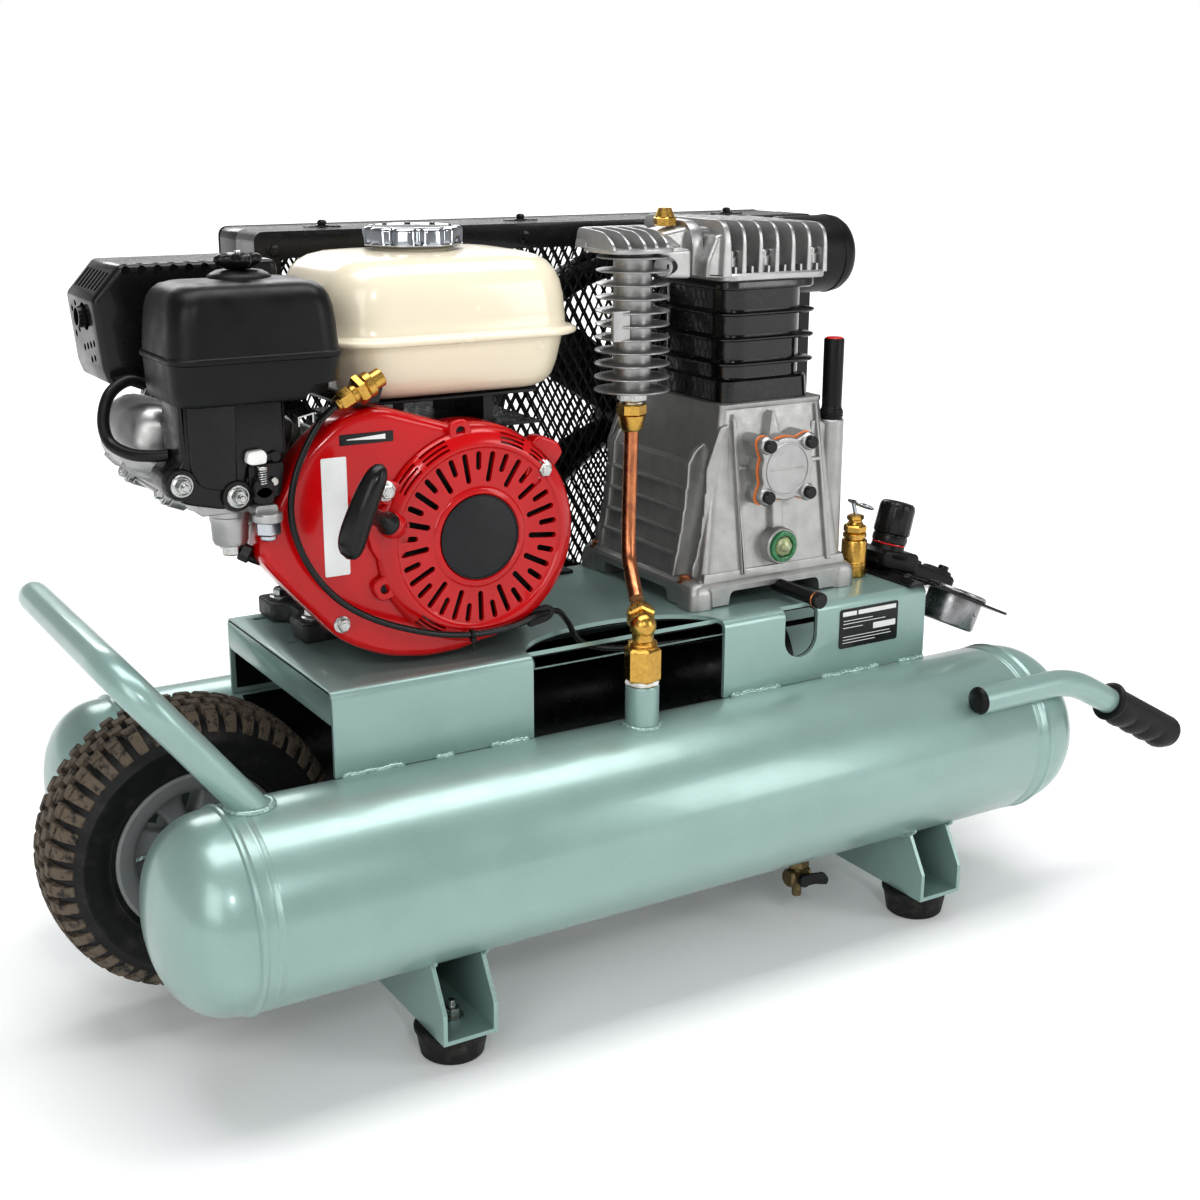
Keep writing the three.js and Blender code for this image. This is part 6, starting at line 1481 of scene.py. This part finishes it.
# Duct to the cooler: flange wall, duct, saddle and combs
head_casting.append(prism(fillet([(-40, 618), (-40, 650), (-30, 666), (12, 667), (22, 656), (22, 618)],
    [1, 10, 12, 12, 8, 1], 6), 505, 517, "yz", edge=1.2))
head_casting.append(prism(fillet([(462, 620), (534, 616), (534, 660), (512, 662), (470, 655), (460, 646)], 4), -30,
    12, "xz", edge=5, res=4))
head_casting.append(prism(fillet([(510, 616), (534, 614), (534, 656), (522, 654), (512, 632)], 3), -54, 60, "xz",
    edge=4, res=4))
head_casting.append(inset_stack(385.6, 458.4, -100.4, -25.6, [(644.6, 0.4, 30), (645.4, 0, 31), (648, 0.4, 30),
    (648.6, 1.4, 30)], 8))
head_casting.append(stack([(640, 440, 476, -64, 8, 10), (647, 436, 480, -66, 10, 12), (654, 440, 478, -50, 8, 10),
    (657, 446, 474, -40, 4, 8)]))
head_casting.append(rod((442, -86, 632), (462, -70, 632), 9, 32, edge=1))
head_casting.append(plate([(440, 622), (474, 620), (474, 646), (440, 646)], 4, -84, -40, 3))
for i in range(5):
    x = 391 + i * 13.6
    reach = -97 + abs(i - 2) * 3.4
    comb = fillet([(reach, 647), (reach + 1.5, 653), (reach + 16, 662), (-44, 664), (-30, 664), (-28, 647)],
        [1, 5, 9, 8, 6, 1], 5)
    head_casting.append(mapped(prism(comb, -1, 1, "yz", edge=0.4),
        lambda d, y, z, x=x: (x + d * (0.95 + 0.8 * (664 - z) / 17), y, z)))
head_casting.append(plate([(388, 647), (460, 647), (460, 664), (394, 664)], 3, -34, -28, 1))
head_casting.append(plate([(388, 647), (456, 647), (456, 656), (390, 656)], 2, -46, -28, 1))
head_casting.append(rod((646, 40, 626), (657, 40, 626), 14, 40, edge=1))
add("pump_head_casting", head_casting, ALU_SMOOTH, node="cylinder_head", sharp=32)
add("pump_head_bolts", fasteners([(x, y, 634) for x, y in HEAD_BOLTS], UP, 5.6, 5.4, make=socket_screw), ZINC)
add("duct_screw", socket_screw((450, -87, 632), (-0.1, -1, 0), 5.2, 4.2), PLASTIC_GLOSS, slot="steel")
safety = [hexagon((494, -10, 661), (494, -10, 669.4), 10.6, 0.26), lathe([(0, 669), (9.2, 669), (8.2, 671.6),
    (6.6, 675.4), (6, 677), (0, 677)], (494, -10, 0), seg=36)]
add("safety_plug", safety, BRASS, sharp=30)

# Intake filter
drum = [(0, 0), (29, 0), (33.5, 1.2), (36.6, 4.4), (37.8, 8.6), (38, 13), (38, 70), (37.2, 75), (34.4, 79.8),
    (30, 82.4), (25, 83), (0, 83)]
add("intake_filter_drum", [lathe(drum, (657.4, 46, 624), ALONG_X, 96), lathe([(38, -1.1), (38.7, -0.6), (38.7, 0.6),
    (38, 1.1)], (657.4 + 66, 46, 624), ALONG_X, 96, loop=True), lathe([(26.2, -0.6), (27.4, 1.1), (29.4, 1.1),
    (30.6, -0.6)], (657.4 + 82.4, 46, 624), ALONG_X, 96, loop=True)] + [rod((739, y, z), (741.2, y, z), 3, 16,
    edge=0.4) for y, z in disc(46, 624, 12, 6)], PLASTIC, node="intake_filter", sharp=45)

# ---- Aftercooler and discharge line --------------------------------------------------------------------------------
CX, CY = 422.0, -70.0
COOLER_AXIS = (CX, CY, 0)
cool = [lathe([(0, 524), (15, 524), (16.4, 530), (17, 545), (17, 640), (18.5, 644.5), (0, 644.5)], COOLER_AXIS,
    seg=64)]
for i in range(11):
    z = 524 + i * 11.5
    r = 33.6 - 0.15 * i
    cool.append(lathe([(14, z - 0.6), (17.6, z - 0.2), (r - 0.9, z + 0.7), (r - 0.2, z + 1.1), (r, z + 1.6),
        (r - 0.2, z + 2.1), (r - 0.9, z + 2.5), (17.6, z + 3.6), (14, z + 4)], COOLER_AXIS, seg=96, loop=True))
cool.append(prism(rrect(389.4, 406, 571, 597, 1), -92, -88.4, "xz", edge=0.4))
add("aftercooler_fins", cool, ALU_SMOOTH, node="aftercooler", sharp=34)
add("cooler_nut", [hexagon((CX, CY, 514.4), (CX, CY, 523.8), 13.6, 0.2), rod((CX, CY, 513.4), (CX, CY, 515), 10.4,
    36)], ZINC)
flare = [hexagon((CX, CY, 502), (CX, CY, 513.6), 13.2, 0.5), lathe([(7, 488.8), (8.6, 488.8), (10.2, 491),
    (12.4, 502.6), (7, 502.6)], COOLER_AXIS, seg=48, loop=True)]
add("cooler_flare_nut", flare, BRASS, sharp=30)
tube_path = spline([(CX, CY, 492), (421, -71, 470), (419, -73, 445), (415.6, -77, 402), (411.4, -85, 375),
    (404.5, -104, 356), (399.8, -115.8, 347.3)], 10)
add("discharge_pipe", [sweep(tube_path, 6.6, 32)], COPPER, node="discharge_tube", sharp=60)

NX, NY = 385.0, -149.5
arm_dir = Vector((394.5 - NX, -128 + 149.5, 342 - 334)).normalized()
knee = Vector((NX, NY, 334))
elbow_parts = [hexagon((NX, NY, 284.4), (NX, NY, 315.4), 16.4, 0.3), rod((NX, NY, 281.4), (NX, NY, 285), 13.5, 40),
    lathe([(0, 315), (13, 315), (13, 316), (12.2, 316.6), (13, 317.2), (12.2, 317.8), (13, 318.4), (12.2, 319),
    (12.6, 320), (9.6, 321.6), (9.4, 328), (10.8, 331), (0, 331)], (NX, NY, 0), seg=48)]
ball = [(11.8 * math.cos(t), 11.8 * math.sin(t)) for t in np.linspace(-math.pi / 2, math.pi / 2, 18)]
elbow_parts.append(lathe([(max(0.0, r), t) for r, t in ball], knee, UP, 40))
elbow_parts.append(rod(knee, knee + arm_dir * 14, 9.4, 36))
add("tank_elbow_body", elbow_parts, BRASS, node="tank_elbow", sharp=30)
nut_at = knee + arm_dir * 9
add("elbow_flare_nut", [hexagon(nut_at, nut_at + arm_dir * 9.5, 13.6, 0.1), lathe([(6.6, 9), (12, 9), (10.6, 14),
    (8.2, 17.4), (6.6, 17.8)], nut_at, arm_dir, 40, loop=True)], BRASS, sharp=30)
add("elbow_sealant", [lathe([(11, -2.4), (14.2, -1.6), (14.8, 0.4), (13.8, 2.2), (11, 2.8)], (NX, NY, 283.4), UP, 64,
    loop=True, ripple=lambda a, r, t: r + 0.7 * math.sin(5 * a) + 0.4 * math.sin(11 * a + 1))], SEALANT, sharp=60)


# ---- Controls ------------------------------------------------------------------------------------------------------
PC, PS = math.cos(math.radians(24)), math.sin(math.radians(24))


def on_panel(part):
    """Panel space: u down the slope, v along y, w off the top face."""
    return mapped(part, lambda u, v, w: (734 + PC * u + PS * w, v, 318 - PS * u + PC * w))


def panel_point(u, v, w):
    """A point of panel space."""
    return Vector((734 + PC * u + PS * w, v, 318 - PS * u + PC * w))


PANEL_UP = Vector((PS, 0, PC))
plate_outline = fillet([(0, -136), (115, -136), (115, 40), (0, 40)], [2, 12, 12, 2], 6)
panel_top = prism(plate_outline, -2.6, 0, "xy", holes=[disc(68, -100, 28.4, 72), disc(66, 4, 28.4, 72)], edge=0.5)
rim_fold = prism(rrect(2, 113, 34, 36.4, 0.6), -14, -1, "xy", edge=0.3)
panel = [on_panel(panel_top), on_panel(rim_fold), block(712, 734.8, -124, 40, 314.6, 317.2), block(732.6, 735.0, -124,
    40, 315, 318.4)]
add("control_panel_plate", panel, BLACK, node="control_panel", bevel=0.35, segs=1)
panel_bolts = fasteners([(722, -108, 317.3), (722, 24, 317.3)], UP, 5, 4, 1.4)
panel_bolts += fasteners([panel_point(98, -60, 0.1), panel_point(12, -124, 0.1)], PANEL_UP, 4.2, 3, 1.2)
add("panel_bolts", panel_bolts, PLASTIC_GLOSS, slot="steel")

slab_levels = [(0.9, -15, 97, -65, -27, 7), (2.2, -16, 98, -66, -26, 8), (13.4, -16, 98, -66, -26, 8),
    (16, -14.4, 96.4, -64.4, -27.6, 8), (17, -12, 94, -62, -30, 7)]
slab = [on_panel(stack(slab_levels)), on_panel(stack([(15, 2, 46, -63, -29, 6), (20, 4, 42, -61, -31, 6),
    (22, 7, 38, -58, -34, 5)]))]
slab.append(on_panel(stack([(14, 62, 96, -62, -40, 6), (19.4, 64, 94, -60, -42, 5), (20.6, 67, 91, -57, -45, 4)])))
LEAN = math.radians(15)
KNOB_UP = Vector((math.sin(LEAN), 0, math.cos(LEAN)))
KNOB = Vector((745, -50, 335))
slab.append(lathe([(12, -9), (24, -8), (25, -5), (22, -3), (17.4, -1), (16.6, 3.6), (0, 3.6)], KNOB, KNOB_UP, 64))
slab.append(plate([(722, 322), (766, 308), (770, 322), (768, 329), (728, 338), (722, 332)], 4, -72, -28, 2))
add("regulator_body", slab, PLASTIC, node="regulator", sharp=36)
add("manifold_plug", socket_screw(panel_point(86, -52, 20.4), PANEL_UP, 5.4, 4.4) + socket_screw(panel_point(54, -46,
    17), PANEL_UP, 4.2, 3), PLASTIC_GLOSS, slot="steel")


def facets(a, r, t):
    """Sixteen shallow flats round the regulator knob."""
    return r * (1 - 0.016 * (0.5 - 0.5 * math.cos(16 * a))) if 14 < t < 45 and r > 15 else r


knob_shape = [(0, 5.6), (16.6, 5.6), (17.6, 6.6), (17.9, 10), (17.6, 12.8), (16.9, 13.3), (16.9, 14.3), (17.7, 14.8),
    (18.7, 16.4), (18.3, 42), (17.2, 45.4), (14.6, 47.6), (11, 48), (10, 47.3), (0, 47.1)]
add("regulator_knob_cap", [lathe(knob_shape, KNOB, KNOB_UP, 128, ripple=facets)], PLASTIC_GLOSS, "pressure_knob",
    node="regulator_knob", sharp=34)
add("regulator_knob_ring", [lathe([(15.8, 3.9), (16.8, 3.9), (17.1, 4.6), (16.8, 5.4), (15.8, 5.4)], KNOB, KNOB_UP,
    96, loop=True)], RED_PLASTIC, "pressure_knob", sharp=40)


def gauge(prefix, u, v, node=None):
    """A dial gauge sunk through the panel: chrome can below with its bezel and a rubber vent, the dial with its marks
    and needle above.
    """
    centre = panel_point(u, v, 0)
    can = [lathe([(0, -31.8), (25.4, -31.8), (27.2, -30.6), (28, -28.4), (28, -4), (28, 0.4), (30.4, 0.6), (31, 1.6),
        (31, 3.4), (30.2, 4.8), (28.8, 5.4), (27.6, 5.2), (27.2, 4.2), (27.2, 2.8), (0, 2.8)], centre, PANEL_UP, 112)]
    hole = centre + Vector((0.35, -0.93, 0.1)).normalized() * 27.4 + PANEL_UP * -18
    add(prefix + "_can", can, CAN_STEEL, node=node, sharp=34)
    add(prefix + "_vent", [rod(hole - Vector((0.35, -0.93, 0)) * 1.5, hole + Vector((0.35, -0.93, 0)) * 0.9, 4.6, 32,
        edge=0.5)], RUBBER)
    add(prefix + "_dial", [lathe([(0, 3.0), (26.8, 3.0), (26.8, 3.3), (0, 3.3)], centre, PANEL_UP, 72)], WHITE)
    marks = []
    up, side = Vector((-PC, 0, PS)), Vector(NEAR)
    for i in range(31):
        a = math.radians(225 - 270 * i / 30)
        d = side * -math.cos(a) + up * math.sin(a)
        cross = PANEL_UP.cross(d)
        inner_r, w = (19.5, 0.5) if i % 5 == 0 else (22, 0.25)
        p, q = centre + d * inner_r + PANEL_UP * 3.3, centre + d * 25 + PANEL_UP * 3.3
        marks.append(loft([[p - cross * w, p + cross * w, p + cross * w + PANEL_UP * 0.25, p - cross * w
            + PANEL_UP * 0.25], [q - cross * w, q + cross * w, q + cross * w + PANEL_UP * 0.25, q - cross * w
            + PANEL_UP * 0.25]]))
    d = (side * 0.72 - up * 0.7).normalized()
    cross = PANEL_UP.cross(d)
    marks.append(loft([[centre + d * -6 + cross * w + PANEL_UP * h for w, h in ((-1.2, 3.7), (1.2, 3.7), (1.2, 4.1),
        (-1.2, 4.1))], [centre + d * 21 + cross * w + PANEL_UP * h for w, h in ((-0.3, 3.7), (0.3, 3.7), (0.3, 4.1),
        (-0.3, 4.1))]]))
    marks.append(rod(centre + PANEL_UP * 3.3, centre + PANEL_UP * 4.6, 2.4, 24))
    add(prefix + "_marks", marks, BLACK, slot="black_plastic")


gauge("tank_gauge", 68, -100, "tank_gauge")
gauge("outlet_gauge", 66, 4)
hub = panel_point(12, -27, 9.5)
along_y = Vector(ALONG_Y)
add("outlet_coupler", [rod(hub, hub + along_y * 14, 8.6, 48, edge=0.8), hexagon(hub + along_y * 13,
    hub + along_y * 22, 9.2), lathe([(5, 21), (8, 21), (8.4, 23), (8.4, 36), (7.4, 38), (7.4, 42), (5, 42)], hub,
    along_y, 56, loop=True), rod(hub + along_y * 20, hub + along_y * 34, 4.9, 24)], BRASS, sharp=30)

# Relief valve
RX, RY = 696.0, -56.0
RELIEF_AXIS = (RX, RY, 0)
relief = [lathe([(0, 314.6), (12, 314.6), (12.6, 315.6), (12.6, 350), (12, 351.4), (10.4, 352.2), (0, 352.2)],
    RELIEF_AXIS, seg=64), lathe([(0, 352), (9.6, 352), (9.6, 354), (11.6, 354.6), (11.6, 357.6), (10.2, 358.4),
    (8.4, 358.8), (0, 358.8)], RELIEF_AXIS, seg=56), hexagon((RX, RY, 358.4), (RX, RY, 366.6), 11.4, 0.2),
    lathe([(0, 366), (7.4, 366), (7.8, 368), (6.6, 369.4), (6.6, 371.6), (0, 371.6)], RELIEF_AXIS, seg=40),
    hexagon((RX, RY, 371.2), (RX, RY, 376.2), 8.6, 0.5)]
for z in (321, 325, 329):
    relief.append(lathe([(12.4, -0.8), (13, -0.4), (13, 0.4), (12.4, 0.8)], (RX, RY, z), seg=64, loop=True))
add("relief_valve_body", relief, BRASS, node="relief_valve", sharp=30)
turn = Matrix.Rotation(0.42, 3, "Y")
loop_path = [Vector((702, -56, 386)) + turn @ Vector((12 * math.cos(TAU * i / 60), 12 * math.sin(TAU * i / 60), 0))
    for i in range(60)]
pin = sweep([(RX, RY, 376.4), (694.8, RY, 381), (693, RY, 387), (692.6, RY, 391)], 1.9, 16)
add("relief_pull_ring", [sweep(loop_path, 1.7, 16, loop=True), pin], CHROME, "relief_pull", node="relief_ring",
    slot="steel", sharp=60)

# Tank drain
DX, DY = 565.0, -149.5
drain_parts = [lathe([(0, 79.2), (9, 79.2), (9, 76), (7.4, 75), (7, 72), (0, 72)], (DX, DY, 0), seg=40),
    hexagon((DX, DY, 63.6), (DX, DY, 73), 11, 0.3), rod((DX, DY, 60), (DX, DY, 66), 7.2, 32), rod((DX - 12.4, DY, 54),
    (DX + 12.4, DY, 54), 9, 40, edge=1.6), rod((DX - 8, DY, 54), (DX + 8, DY, 54), 10, 6),
    lathe([(0, 48), (5.4, 48), (4.8, 40), (4.4, 34.6), (3.8, 34), (0, 34)], (DX, DY, 0), seg=32),
    rod((DX, DY, 54), (DX, DY - 9, 54), 6, 32)]
dull_brass = paint("dull_brass", (0.16, 0.12, 0.06), 0.42, metal=0.9, mottle=0.3, mottle_size=5, grain=0.3)
add("drain_valve_body", drain_parts, dull_brass, node="drain_valve", slot="brass", sharp=30)
lever = [rod((DX, DY - 9.2, 54), (DX, DY - 15.4, 54), 6.6, 36, edge=1.2),
    plate([(DX - 7, 49), (DX + 12, 48), (DX + 26, 44), (DX + 28, 50), (DX + 22, 58), (DX + 6, 60), (DX - 6, 60)], 3,
    DY - 15, DY - 11.2, 1.4)]
add("drain_lever_arm", lever, PLASTIC, "drain_handle", node="drain_lever", sharp=40)


# ---- Camera, light, floor ------------------------------------------------------------------------------------------
# The camera solved from the photograph: its place in millimetres, its line of sight and its right hand
CAMERA_AT = (-368.9, -1315.6, 758.6)
look = Vector((0.49979, 0.82033, -0.27796)).normalized()
right = Vector((0.85386, -0.52050, 0.00373))
right = (right - look * right.dot(look)).normalized()
up = right.cross(look)
camera = bpy.data.objects.new("camera", bpy.data.cameras.new("camera"))
camera.matrix_world = Matrix.Translation(row(CAMERA_AT)) @ Matrix((right, up, -look)).transposed().to_4x4()
camera.data.sensor_width = 36
camera.data.lens = 50.4
camera.data.clip_start, camera.data.clip_end = 0.05, 60
bpy.context.scene.collection.objects.link(camera)
bpy.context.scene.camera = camera

floor_mat = paint("pale_floor", (0.93, 0.93, 0.93), 0.7, mottle=0.006, mottle_size=300)
floor_mesh = bpy.data.meshes.new("floor")
FLOOR_Z = -0.0005  # metres; just clear of the feet
rings = []
for r in (0.0, 1.2, 3.0, 8.0, 30.0):
    rings.append([(x, y, FLOOR_Z) for x, y in disc(0, 0, r, 64)] if r else [(0, 0, FLOOR_Z)])
v, f = loft(rings, caps=False)
floor_mesh.from_pydata(v, [], f)
floor_mesh.materials.append(floor_mat)
floor = bpy.data.objects.new("floor", floor_mesh)
bpy.context.scene.collection.objects.link(floor)
floor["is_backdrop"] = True

bpy.context.scene.view_settings.view_transform = "Standard"
bpy.context.scene.view_settings.gamma = 0.88
world = bpy.data.worlds.new("studio")
bpy.context.scene.world = world
world.use_nodes = True
sky, wires = world.node_tree.nodes, world.node_tree.links
direction = sky.new("ShaderNodeTexCoord")
split = sky.new("ShaderNodeSeparateXYZ")
fade = sky.new("ShaderNodeValToRGB")
seen = sky.new("ShaderNodeLightPath")
choice = sky.new("ShaderNodeMix")
choice.data_type = "RGBA"
wires.new(direction.outputs["Generated"], split.inputs[0])
wires.new(split.outputs["Z"], fade.inputs[0])
wires.new(seen.outputs["Is Camera Ray"], choice.inputs["Factor"])
wires.new(fade.outputs["Color"], choice.inputs[6])
choice.inputs[7].default_value = (1, 1, 1, 1)
wires.new(choice.outputs[2], sky["Background"].inputs["Color"])
fade.color_ramp.elements[0].position, fade.color_ramp.elements[0].color = 0.05, (0.55, 0.55, 0.55, 1)
fade.color_ramp.elements[1].position, fade.color_ramp.elements[1].color = 0.6, (0.24, 0.24, 0.25, 1)
sky["Background"].inputs["Strength"].default_value = 1.0

ground, wires = floor_mat.node_tree.nodes, floor_mat.node_tree.links
place = ground.new("ShaderNodeTexCoord")
reach = ground.new("ShaderNodeVectorMath")
reach.operation = "LENGTH"
rise = ground.new("ShaderNodeMapRange")
rise.inputs["From Min"].default_value, rise.inputs["From Max"].default_value = 0.9, 3.2
rise.inputs["To Min"].default_value, rise.inputs["To Max"].default_value = 0.10, 1.0
wires.new(place.outputs["Object"], reach.inputs[0])
wires.new(reach.outputs["Value"], rise.inputs["Value"])
wires.new(rise.outputs["Result"], ground["Principled BSDF"].inputs["Emission Strength"])
ground["Principled BSDF"].inputs["Emission Color"].default_value = (1, 1, 1, 1)


def softbox(name, at, aim, size, power):
    """A rectangular studio lamp; places in the row frame's metres."""
    data = bpy.data.lights.new(name, "AREA")
    data.shape = "RECTANGLE"
    data.size, data.size_y = size
    data.energy = power
    data.spread = math.radians(160)
    o = bpy.data.objects.new(name, data)
    o.location = at
    o.rotation_mode = "QUATERNION"
    o.rotation_quaternion = (Vector(aim) - Vector(at)).to_track_quat("-Z", "Y")
    bpy.context.scene.collection.objects.link(o)


softbox("overhead", (0.0, -0.1, 2.3), (0, 0, 0.3), (2.4, 1.1), 35)
softbox("left_front", (-2.1, -1.7, 1.5), (0, 0, 0.35), (1.2, 1.6), 15)
softbox("right_front", (1.7, -2.3, 1.3), (0.1, 0, 0.3), (0.9, 1.5), 15)
softbox("key", (-0.9, -2.5, 1.9), (0, 0, 0.45), (0.35, 0.35), 9)
softbox("back_strip", (0.4, 2.0, 1.6), (0, 0, 0.4), (2.0, 0.8), 18)

low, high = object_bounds()
